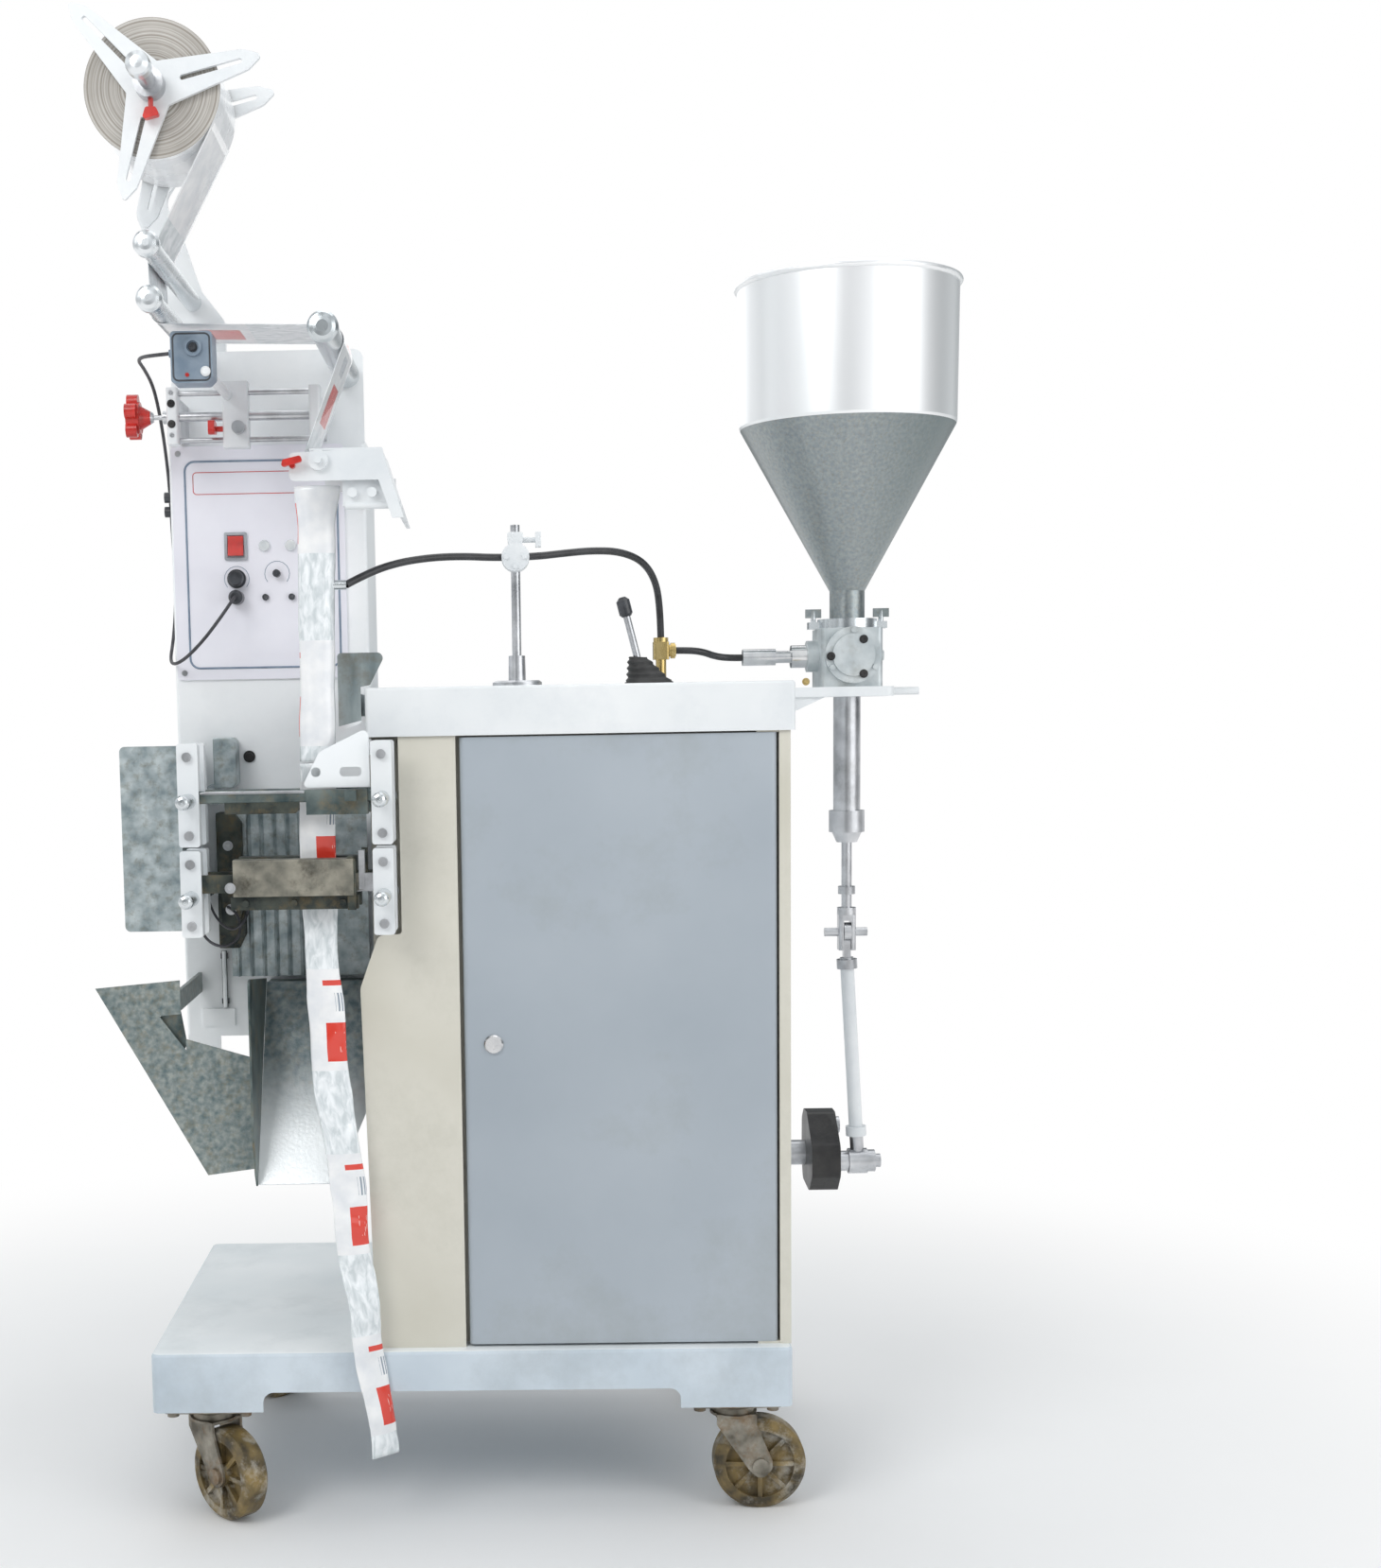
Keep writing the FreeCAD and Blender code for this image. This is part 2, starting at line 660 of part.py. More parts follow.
FRAME_FRONT = CABINET_FRONT + FRAME_SETBACK
POST_LEFT = CABINET_RIGHT - POST_WIDTH
DOOR_RIGHT = POST_LEFT - DOOR_GAP
DOOR_BOTTOM = BASE_TOP + DOOR_SILL
HINGE_X = DOOR_RIGHT - HINGE_INSET
HINGE_Y = CABINET_FRONT + HINGE_INSET
COVER_SHEET = CABINET_SHEET
COVER_UNDER = COVER_TOP - COVER_SHEET


def cabinet_body():
    """Open-topped box with a framed door opening, a front post and the two hinge pins."""
    t = CABINET_SHEET
    shell = box(CABINET_LEFT, CABINET_RIGHT, FRAME_FRONT, CABINET_BACK, BASE_TOP, COVER_UNDER)
    shell = shell.cut(box(CABINET_LEFT + t, CABINET_RIGHT - t, FRAME_FRONT + t, CABINET_BACK - t,
                          BASE_TOP + t, COVER_UNDER))
    opening = plate_xz(rectangle(DOOR_LEFT + FRAME_LIP, DOOR_RIGHT - FRAME_LIP,
                                 DOOR_BOTTOM + FRAME_LIP, DOOR_TOP - FRAME_LIP),
                       FRAME_FRONT - 1, FRAME_FRONT + t + 1, 10.0)
    shell = shell.cut(opening)
    post = box(POST_LEFT, CABINET_RIGHT, CABINET_FRONT, FRAME_FRONT, BASE_TOP, COVER_BOTTOM)
    post = post.cut(box(POST_LEFT + t, CABINET_RIGHT - t, CABINET_FRONT + t, FRAME_FRONT,
                        BASE_TOP + t, COVER_BOTTOM - t))
    brackets = []
    pins = []
    for z0, z1, pin_from in ((BASE_TOP, DOOR_BOTTOM - TOUCH_GAP, DOOR_BOTTOM - TOUCH_GAP),
                             (DOOR_TOP + TOUCH_GAP, COVER_BOTTOM, DOOR_TOP + TOUCH_GAP - HINGE_LENGTH)):
        brackets.append(box(HINGE_X - 14, POST_LEFT, HINGE_Y - 7, FRAME_FRONT, z0, z1))
        pins.append(rod((HINGE_X, HINGE_Y, pin_from), (0, 0, 1), HINGE_RADIUS, HINGE_LENGTH))
    shaft_hole = rod((CABINET_RIGHT - 10, CRANK_Y, CRANK_Z), (1, 0, 0), CRANK_SHAFT_RADIUS + 4, 20)
    shell = shell.cut(shaft_hole)
    return union(shell, post, *brackets, *pins)


def cabinet_cover():
    """Folded tray that closes the cabinet; its top sheet lies on the cabinet's walls."""
    x0, x1 = CABINET_LEFT - COVER_SHEET, CABINET_RIGHT + COVER_SIDE
    y0, y1 = CABINET_FRONT - COVER_FRONT, CABINET_BACK + COVER_FRONT
    tray = box(x0, x1, y0, y1, COVER_BOTTOM, COVER_TOP)
    tray = rounded_edges(tray, COVER_RADIUS, upright)
    tray = rounded_edges(tray, COVER_RADIUS - 1, at_height(COVER_TOP))
    inside = box(x0 + COVER_SHEET, x1 - COVER_SHEET, y0 + COVER_SHEET, y1 - COVER_SHEET,
                 COVER_BOTTOM, COVER_UNDER)
    tray = tray.cut(inside)
    lever_slot = plate_xy(rectangle(LEVER_X - BOOT_RADIUS + 9, LEVER_X + BOOT_RADIUS - 9,
                                    LEVER_Y - 8, LEVER_Y + 8), COVER_UNDER - 1, COVER_TOP + 1, 7.0)
    return tray.cut(lever_slot)


def front_panel():
    """Fixed panel left of the door, cut away round the jaws and folded back at its edges."""
    left = CABINET_LEFT - PANEL_EDGE
    right = DOOR_LEFT - DOOR_GAP * 2
    notch_x = left + NOTCH_FROM_LEFT
    points = [(left + 9, BASE_TOP), (right, BASE_TOP), (right, COVER_BOTTOM),
              (notch_x, COVER_BOTTOM), (notch_x, NOTCH_BOTTOM),
              (left + NOTCH_SLOPE_LEFT, NOTCH_BOTTOM), (left, NOTCH_BOTTOM - NOTCH_SLOPE_DROP)]
    radii = [0, 0, 0, 0, 4, 10, 16]
    t = CABINET_SHEET
    face = plate_xz(points, CABINET_FRONT, CABINET_FRONT + t, radii)
    fold_right = box(right - t, right, CABINET_FRONT, FRAME_FRONT, BASE_TOP, COVER_BOTTOM)
    fold_notch = box(notch_x, notch_x + t, CABINET_FRONT, FRAME_FRONT, NOTCH_BOTTOM + 4, COVER_BOTTOM)
    fold_low = box(CABINET_LEFT, right, CABINET_FRONT, FRAME_FRONT, BASE_TOP, BASE_TOP + t)
    panel = union(face, fold_right, fold_notch, fold_low)
    return panel


def cabinet_door():
    """Door pan with rounded upright edges, hung on two pins in its top and bottom folds."""
    t = CABINET_SHEET
    back = CABINET_FRONT + DOOR_DEPTH
    pan = box(DOOR_LEFT, DOOR_RIGHT, CABINET_FRONT, back, DOOR_BOTTOM, DOOR_TOP)
    pan = rounded_edges(pan, DOOR_RADIUS,
                        lambda e: upright(e) and abs(e.Vertexes[0].Y - CABINET_FRONT) < 1e-6)
    hollow = box(DOOR_LEFT + t, DOOR_RIGHT - t, CABINET_FRONT + t, back, DOOR_BOTTOM + t, DOOR_TOP - t)
    hollow = rounded_edges(hollow, DOOR_RADIUS - t,
                           lambda e: upright(e) and abs(e.Vertexes[0].Y - CABINET_FRONT - t) < 1e-6)
    pan = pan.cut(hollow)
    blocks = []
    for z in (DOOR_BOTTOM, DOOR_TOP - HINGE_LENGTH):
        blocks.append(rod((HINGE_X, HINGE_Y, z), (0, 0, 1), HINGE_INSET - t + 0.5, HINGE_LENGTH))
    pan = union(pan, *blocks)
    bores = [rod((HINGE_X, HINGE_Y, DOOR_BOTTOM - 1), (0, 0, 1), HINGE_RADIUS + RUNNING_FIT,
                 HINGE_LENGTH + 1),
             rod((HINGE_X, HINGE_Y, DOOR_TOP - HINGE_LENGTH - 1), (0, 0, 1),
                 HINGE_RADIUS + RUNNING_FIT, HINGE_LENGTH + 2)]
    lock_hole = rod((LOCK_X, CABINET_FRONT - 1, LOCK_Z), (0, 1, 0),
                    LOCK_BARREL_RADIUS + RUNNING_FIT, t + 2)
    return pan.cut(bores + [lock_hole])


def door_lock():
    """Quarter-turn lock: head, barrel and a cam that reaches behind the fixed panel's fold."""
    t = CABINET_SHEET
    y = CABINET_FRONT
    head = turned([(-3.0, 0), (-3.0, LOCK_HEAD_RADIUS - 1.5), (-1.5, LOCK_HEAD_RADIUS),
                   (-TOUCH_GAP, LOCK_HEAD_RADIUS), (-TOUCH_GAP, 0)], (LOCK_X, y, LOCK_Z),
                  (0, 1, 0), (0, 0, 1))
    key = box(LOCK_X - 1, LOCK_X + 1, y - 4, y - 1.8, LOCK_Z - 5, LOCK_Z + 5)
    barrel_end = FRAME_FRONT + t + 1.5
    barrel = rod((LOCK_X, y - TOUCH_GAP, LOCK_Z), (0, 1, 0), LOCK_BARREL_RADIUS, barrel_end - y)
    nut = rod((LOCK_X, y + t + TOUCH_GAP, LOCK_Z), (0, 1, 0), LOCK_BARREL_RADIUS + 4, 3)
    cam = plate_xz([(LOCK_X - LOCK_CAM_WIDTH / 2, LOCK_Z + LOCK_CAM_WIDTH / 2),
                    (LOCK_X - LOCK_CAM_WIDTH / 2, LOCK_Z - LOCK_CAM_LENGTH),
                    (LOCK_X + LOCK_CAM_WIDTH / 2, LOCK_Z - LOCK_CAM_LENGTH),
                    (LOCK_X + LOCK_CAM_WIDTH / 2, LOCK_Z + LOCK_CAM_WIDTH / 2)],
                   barrel_end - 0.5, barrel_end + LOCK_CAM, 4.0)
    return union(head.cut(key), barrel, nut, cam)


PLATE_Y = COLUMN_FRONT
ARM_FRONT = COLUMN_FRONT + COLUMN_SHEET + TOUCH_GAP
ROLLER_BACK = PLATE_Y - 4.0
ROLLER_HEAD = 8.0
SENSOR_LEFT = -281.0
SENSOR_RIGHT = -239.0
SENSOR_FRONT = -303.0
SENSOR_BACK = -272.0
SENSOR_BOTTOM = 1220.0
SENSOR_TOP = 1271.0
SENSOR_ROD = 5.0
SENSOR_ROD_X = -246.0
SENSOR_ROD_Z = 1231.0
SENSOR_SOCKET_Y = -286.0
SENSOR_SOCKET_Z = 1252.0


def column_body():
    """Folded column with the film plate above it, roller pins, mounting pads and its side knobs."""
    t = COLUMN_SHEET
    shell = box(COLUMN_LEFT, COLUMN_RIGHT, COLUMN_FRONT, COLUMN_BACK, COLUMN_BOTTOM, COLUMN_TOP)
    shell = rounded_edges(shell, 4.0, upright)
    hollow = box(COLUMN_LEFT + t, COLUMN_RIGHT - t, COLUMN_FRONT + t, COLUMN_BACK - t,
                 COLUMN_BOTTOM - 1, COLUMN_TOP - t)
    shell = shell.cut(hollow)
    film_plate = plate_xz(rectangle(COLUMN_LEFT + 6, COLUMN_RIGHT, COLUMN_TOP - t, FILM_PLATE_TOP),
                          COLUMN_FRONT, COLUMN_FRONT + t, [0, 0, FILM_PLATE_RADIUS, FILM_PLATE_RADIUS])
    pads = [box(COLUMN_RIGHT - t, CABINET_LEFT, -40, 30, z, z + 60)
            for z in (COLUMN_BOTTOM + 40, COVER_BOTTOM - 100)]
    knobs = [rod((COLUMN_LEFT - 8, PLATE_Y + 14, 1125 + dz), (1, 0, 0), 6.0, 9) for dz in (-8, 8)]
    roller_gap = rod((ROLLER_2[0], COLUMN_FRONT - 1, ROLLER_2[1]), (0, 1, 0),
                     ROLLER_BORE + 1.5 + TOUCH_GAP, t * 2 + 2)
    film_plate = film_plate.cut(roller_gap)
    pin = roller_pin(ROLLER_3, PLATE_Y, PLATE_Y + 1)
    hole = rod((COLUMN_LEFT + 17, COLUMN_FRONT - 1, COLUMN_BOTTOM + 63), (0, 1, 0), 3.0, t + 2)
    tab = box(COLUMN_LEFT + 19, COLUMN_LEFT + 56, PLATE_Y - t, PLATE_Y, COLUMN_BOTTOM + 12,
              COLUMN_BOTTOM + 32)
    post = rod((COLUMN_LEFT + 46, PLATE_Y - 5, COLUMN_BOTTOM + 34), (0, 0, 1), 3.0, 65)
    clips = [box(COLUMN_LEFT + 42, COLUMN_LEFT + 50, PLATE_Y - 6, PLATE_Y, COLUMN_BOTTOM + z,
                 COLUMN_BOTTOM + z + 6) for z in (38, 90)]
    foot = box(COLUMN_LEFT + 1, COLUMN_LEFT + 38, COLUMN_FRONT, COLUMN_FRONT + 6,
               COLUMN_BOTTOM - 26, COLUMN_BOTTOM + 1)
    return union(shell, film_plate, *pads, *knobs, pin, tab, post, *clips, foot).cut(hole)


def roller_pin(place, foot, back):
    """Fixed pin of a guide roller with a shoulder in front of the plate that holds it."""
    x, z = place
    start = ROLLER_FRONT + ROLLER_HEAD + TOUCH_GAP
    shank = rod((x, start, z), (0, 1, 0), ROLLER_BORE - RUNNING_FIT, foot - start + 1)
    shoulder = rod((x, ROLLER_BACK + TOUCH_GAP, z), (0, 1, 0), ROLLER_BORE + 1.5,
                   back - ROLLER_BACK - TOUCH_GAP)
    return shank.fuse(shoulder)


def guide_roller(place, radius, lip):
    """Roller closed at its front by a domed cap wider than its tube."""
    x, z = place
    cap = radius + lip
    length = ROLLER_BACK - ROLLER_FRONT
    profile = [(ROLLER_HEAD, 0), (ROLLER_HEAD, ROLLER_BORE), (length, ROLLER_BORE),
               (length, radius), (14, radius), (12, cap), (5, cap), (2, cap - 2.5),
               (0.6, cap - 6.0), (0, cap - 9.5), (0, 0)]
    return turned(profile, (x, ROLLER_FRONT, z), (0, 1, 0), (0, 0, 1))


def control_panel():
    """Panel plate with its screws, bezel, lamps, sockets and the sensor's plug."""
    back = COLUMN_FRONT
    face = back - PANEL_SHEET
    plate = plate_xz(rectangle(PANEL_LEFT, PANEL_RIGHT, PANEL_BOTTOM, PANEL_TOP), face, back, 5.0)
    bezel = plate_xz(rectangle(ROCKER_X - ROCKER_BEZEL_WIDTH / 2, ROCKER_X + ROCKER_BEZEL_WIDTH / 2,
                               ROCKER_Z - ROCKER_BEZEL_HEIGHT / 2, ROCKER_Z + ROCKER_BEZEL_HEIGHT / 2),
                     face - ROCKER_BEZEL, face, 2.0)
    window = box(ROCKER_X - ROCKER_WIDTH / 2 - 0.5, ROCKER_X + ROCKER_WIDTH / 2 + 0.5,
                 face - ROCKER_BEZEL - 1, back - 1, ROCKER_Z - ROCKER_HEIGHT / 2 - 0.5,
                 ROCKER_Z + ROCKER_HEIGHT / 2 + 0.5)
    screws = [rod((x, face - SCREW_HEAD, z), (0, 1, 0), SCREW_RADIUS, SCREW_HEAD)
              for x in (PANEL_LEFT + SCREW_INSET, PANEL_RIGHT - SCREW_INSET)
              for z in (PANEL_BOTTOM + SCREW_INSET, PANEL_TOP - SCREW_INSET)]
    lamps = [cone((x, face - LAMP_LENGTH, ROCKER_Z), (0, 1, 0), LAMP_RADIUS - 1, LAMP_RADIUS,
                  LAMP_LENGTH) for x in LAMP_X]
    sockets = [tube((x, face - SOCKET_LENGTH, PLUG_Z), (0, 1, 0), SOCKET_RADIUS, SOCKET_RADIUS / 2,
                    SOCKET_LENGTH) for x in LAMP_X]
    plug = turned([(0, 0), (0, 5.0), (4, PLUG_RADIUS), (PLUG_LENGTH, PLUG_RADIUS), (PLUG_LENGTH, 0)],
                  (ROCKER_X, face - PLUG_LENGTH, PLUG_Z), (0, 1, 0), (0, 0, 1))
    stems = [rod((ROCKER_X, face - 2, SPEED_KNOB_Z), (0, 1, 0), 3.0 - RUNNING_FIT, 2),
             rod((POT_X, face - 1, POT_Z), (0, 1, 0), 2.0 - RUNNING_FIT, 1)]
    body = union(plate, bezel, *screws, *lamps, *sockets, plug, *stems)
    return body.cut(window)


def power_rocker():
    """Rocker key, pressed in at its lower half at rest."""
    face = COLUMN_FRONT - PANEL_SHEET
    half_w, half_h = ROCKER_WIDTH / 2, ROCKER_HEIGHT / 2
    front = face - ROCKER_BEZEL - 3
    key = plate_yz([(front + 1.2, ROCKER_Z - half_h + 1), (front + 1.5, ROCKER_Z),
                    (front + 1.2, ROCKER_Z + half_h - 1), (face - 0.6, ROCKER_Z + half_h - 1.5),
                    (face - 0.6, ROCKER_Z - half_h + 1.5)], ROCKER_X - half_w + 0.4,
                   ROCKER_X + half_w - 0.4)
    pin = rod((ROCKER_X - half_w + 0.1, face - ROCKER_AXIS, ROCKER_Z), (1, 0, 0), 1.1,
              ROCKER_WIDTH - 0.2)
    return turn(key.fuse(pin), (ROCKER_X, face - ROCKER_AXIS, ROCKER_Z), (1, 0, 0), -ROCKER_TILT)


def speed_knob():
    face = COLUMN_FRONT - PANEL_SHEET - TOUCH_GAP
    r = SPEED_KNOB_RADIUS
    profile = [(0, 0), (0, r - 2.5), (1.2, r - 1.2), (SPEED_KNOB_LENGTH - 3, r - 0.5),
               (SPEED_KNOB_LENGTH - 3, r + 1), (SPEED_KNOB_LENGTH, r + 1), (SPEED_KNOB_LENGTH, 0)]
    knob = turned(profile, (ROCKER_X, face - SPEED_KNOB_LENGTH, SPEED_KNOB_Z), (0, 1, 0), (0, 0, 1))
    return knob.cut(rod((ROCKER_X, face - 3, SPEED_KNOB_Z), (0, 1, 0), 3.0, 4))


def pot_knob():
    face = COLUMN_FRONT - PANEL_SHEET - TOUCH_GAP
    knob = rod((POT_X, face - POT_LENGTH, POT_Z), (0, 1, 0), POT_RADIUS, POT_LENGTH)
    pointer = box(POT_X - 0.8, POT_X + 0.8, face - POT_LENGTH - 1, face - POT_LENGTH + 3,
                  POT_Z - 1, POT_Z + POT_RADIUS)
    return union(knob, pointer).cut(rod((POT_X, face - 2, POT_Z), (0, 1, 0), 2.0, 3))


# Lead of the photo sensor: from the plug, down round the column's left edge and up behind it
CABLE_RADIUS = 1.9
CABLE_ROUTE = [
    (ROCKER_X, COLUMN_FRONT - PANEL_SHEET - PLUG_LENGTH, PLUG_Z), (-251.5, -122, 1013),
    (-262, -132, 996), (-282, -128, 972), (-305, -112, 953), (-326, -94, 945), (-338, -66, 950),
    (-339, -38, 974), (-336, -22, 1012), (-337, -16, 1058), (-336, -18, 1104), (-336, -26, 1150),
    (-335, -52, 1192), (-334, -86, 1226), (-337, -122, 1250), (-340, -164, 1260),
    (-336, -208, 1260), (-322, -248, 1256), (-302, -276, 1252.5),
    (SENSOR_LEFT - 4, SENSOR_SOCKET_Y, SENSOR_SOCKET_Z)]


def sensor_cable():
    return tube_path(CABLE_ROUTE, CABLE_RADIUS).cut([control_panel(), photo_sensor()])


def spindle_arm():
    """Boomerang arm behind the film plate, with the spindle's bearing and two roller pins."""
    x, z = SPINDLE
    foot = FILM_PLATE_TOP
    points = [(x + 23, z), (x + 16, z + 20), (x - 14, z + 24), (x - 42, z + 6), (x - 60, z - 68),
              (x - 43, z - 113), (x - 26, foot + 50), (x - 26, foot - 40), (x + 35, foot - 40),
              (x + 35, foot + 34), (x + 10, foot + 67), (x + 4, foot + 84), (x - 8, z - 96),
              (x - 28, z - 54), (x - 9, z - 26)]
    radii = [14, 14, 14, 20, 24, 30, 30, 4, 4, 14, 10, 20, 30, 18, 14]
    front = ARM_FRONT
    plate = plate_xz(points, front, front + ARM_THICKNESS, radii)
    bearing = rod((x, PLATE_Y - BEARING_LENGTH, z), (0, 1, 0), BEARING_RADIUS,
                  BEARING_LENGTH + front - PLATE_Y + 1)
    boss = rod((x, front, z), (0, 1, 0), BEARING_RADIUS - 4, ARM_THICKNESS + 6)
    bore = rod((x, PLATE_Y - BEARING_LENGTH - 1, z), (0, 1, 0), SPINDLE_RADIUS + RUNNING_FIT,
               BEARING_LENGTH + ARM_THICKNESS + 20)
    pins = [roller_pin(ROLLER_1, front, front + 1), roller_pin(ROLLER_2, front, front + 1)]
    return union(plate, bearing, boss, *pins).cut(bore)


def spider(y0):
    """Three-armed cheek of the film roll, each arm slotted for its collar screw."""
    x, z = SPINDLE
    plate = rod((x, y0, z), (0, 1, 0), SPIDER_HUB, SPIDER_THICKNESS)
    for i in range(3):
        arm = plate_xz([(x - 4, z - SPIDER_ROOT), (x + SPIDER_REACH - 14, z - SPIDER_TIP - 3),
                        (x + SPIDER_REACH, z - 2), (x + SPIDER_REACH, z + 2),
                        (x + SPIDER_REACH - 14, z + SPIDER_TIP + 3), (x - 4, z + SPIDER_ROOT)],
                       y0, y0 + SPIDER_THICKNESS, [0, 10, 5, 5, 10, 0])
        slot = plate_xz(rectangle(x + 30, x + SPIDER_REACH - 18, z - SPIDER_SLOT / 2,
                                  z + SPIDER_SLOT / 2), y0 - 1, y0 + SPIDER_THICKNESS + 1,
                        SPIDER_SLOT / 2 - 0.01)
        arm = arm.cut(slot)
        plate = plate.fuse(turn(arm, (x, y0, z), (0, -1, 0), SPIDER_ANGLE + 120 * i))
    return plate.removeSplitter()


FILM_FRONT = FILM_Y - FILM_WIDTH / 2
FILM_BACK = FILM_Y + FILM_WIDTH / 2


def film_spindle():
    """Spindle with its end knob, the two spiders and the collars that clamp them."""
    x, z = SPINDLE
    length = PLATE_Y - SPINDLE_FRONT + 6
    shaft = rod((x, SPINDLE_FRONT + 10, z), (0, 1, 0), SPINDLE_RADIUS, length - 10)
    knob = turned([(0, 0), (0.5, SPINDLE_KNOB - 6), (3, SPINDLE_KNOB - 1), (7, SPINDLE_KNOB),
                   (18, SPINDLE_KNOB), (20, SPINDLE_KNOB - 2), (20, 0)],
                  (x, SPINDLE_FRONT, z), (0, 1, 0), (0, 0, 1))
    near = FILM_FRONT - 2 - SPIDER_THICKNESS
    far = FILM_BACK + 2
    collars = [rod((x, near - COLLAR_LENGTH, z), (0, 1, 0), COLLAR_RADIUS, COLLAR_LENGTH),
               rod((x, far + SPIDER_THICKNESS, z), (0, 1, 0), COLLAR_RADIUS, COLLAR_LENGTH)]
    keeper_length = PLATE_Y - BEARING_LENGTH - TOUCH_GAP - far - SPIDER_THICKNESS - COLLAR_LENGTH
    keeper = rod((x, far + SPIDER_THICKNESS + COLLAR_LENGTH, z), (0, 1, 0), SPINDLE_RADIUS + 4,
                 keeper_length)
    wing = rod((x + 1, near - COLLAR_LENGTH / 2, z - COLLAR_RADIUS - 10), (0, 0, 1), 2.5, 12)
    wing_head = plate_xz([(x - 8, z - COLLAR_RADIUS - 20), (x + 10, z - COLLAR_RADIUS - 16),
                          (x + 6, z - COLLAR_RADIUS - 8), (x - 4, z - COLLAR_RADIUS - 8)],
                         near - COLLAR_LENGTH / 2 - 4, near - COLLAR_LENGTH / 2 + 4, 2.5)
    return union(shaft, knob, *collars, keeper, spider(near), spider(far), wing, wing_head)


def film_roll():
    x, z = SPINDLE
    roll = rod((x, FILM_FRONT, z), (0, 1, 0), ROLL_RADIUS, FILM_WIDTH)
    bore = rod((x, FILM_FRONT - 1, z), (0, 1, 0), SPINDLE_RADIUS + 0.5, FILM_WIDTH + 2)
    return roll.cut(bore)


def sensor_slide():
    """Two end plates joined by two rods, held off the film plate by two posts."""
    front, back = SLIDE_Y - SLIDE_DEPTH / 2, SLIDE_Y + SLIDE_DEPTH / 2
    middle = (SLIDE_BOTTOM + SLIDE_TOP) / 2
    ends = [box(SLIDE_LEFT, SLIDE_LEFT + SLIDE_PLATE, front, back, SLIDE_BOTTOM, SLIDE_TOP),
            box(SLIDE_RIGHT - SLIDE_PLATE, SLIDE_RIGHT, front, back, SLIDE_BOTTOM, SLIDE_TOP)]
    ends = [rounded_edges(e, 3.0, lambda g: g.Length > SLIDE_TOP - SLIDE_BOTTOM - 1) for e in ends]
    rods = [rod((SLIDE_LEFT, SLIDE_Y, middle + s * SLIDE_ROD_SPREAD), (1, 0, 0), SLIDE_ROD,
                SLIDE_RIGHT - SLIDE_LEFT) for s in (-1, 1)]
    posts = [box(x, x + SLIDE_PLATE, back - 1, PLATE_Y, middle - 20, middle + 20)
             for x in (SLIDE_LEFT, SLIDE_RIGHT - SLIDE_PLATE)]
    bores = [rod((SLIDE_LEFT - 1, SLIDE_Y, middle), (1, 0, 0), SCREW_ROD + RUNNING_FIT,
                 SLIDE_PLATE + 2),
             rod((SLIDE_RIGHT - SLIDE_PLATE - 1, SLIDE_Y, middle), (1, 0, 0),
                 SCREW_ROD + RUNNING_FIT, SLIDE_PLATE + 2)]
    return union(*ends, *rods, *posts).cut(bores)


SLIDE_MIDDLE = (SLIDE_BOTTOM + SLIDE_TOP) / 2


def adjust_screw():
    """Adjusting screw of the sensor slide with its lobed hand knob."""
    start = STAR_X + STAR_LENGTH / 2 - 1
    shaft = rod((start, SLIDE_Y, SLIDE_MIDDLE), (1, 0, 0), SCREW_ROD - 2.5, SLIDE_LEFT - start + 1)
    thread = rod((SLIDE_LEFT, SLIDE_Y, SLIDE_MIDDLE), (1, 0, 0), SCREW_ROD, SLIDE_RIGHT - SLIDE_LEFT)
    collar = rod((SLIDE_RIGHT + TOUCH_GAP, SLIDE_Y, SLIDE_MIDDLE), (1, 0, 0), SCREW_ROD + 3, 5)
    stub = rod((SLIDE_RIGHT - 1, SLIDE_Y, SLIDE_MIDDLE), (1, 0, 0), SCREW_ROD, 3)
    inner_collar = rod((SLIDE_LEFT - 5 - TOUCH_GAP, SLIDE_Y, SLIDE_MIDDLE), (1, 0, 0),
                       SCREW_ROD + 2, 5)
    inner = rod((SLIDE_LEFT - 5, SLIDE_Y, SLIDE_MIDDLE), (1, 0, 0), SCREW_ROD, 6)
    knob = rod((STAR_X - STAR_LENGTH / 2, SLIDE_Y, SLIDE_MIDDLE), (1, 0, 0), STAR_RADIUS - 8,
               STAR_LENGTH - 4)
    lobes = []
    for i in range(5):
        lobe = rod((STAR_X - STAR_LENGTH / 2, SLIDE_Y, SLIDE_MIDDLE + STAR_RADIUS - 8), (1, 0, 0),
                   8.0, STAR_LENGTH - 6)
        lobes.append(turn(lobe, (0, SLIDE_Y, SLIDE_MIDDLE), (1, 0, 0), 72 * i))
    hub = cone((STAR_X + STAR_LENGTH / 2 - 4, SLIDE_Y, SLIDE_MIDDLE), (1, 0, 0), 13, 5, 14)
    return union(shaft, thread, stub, collar, inner_collar, inner, knob, hub, *lobes)


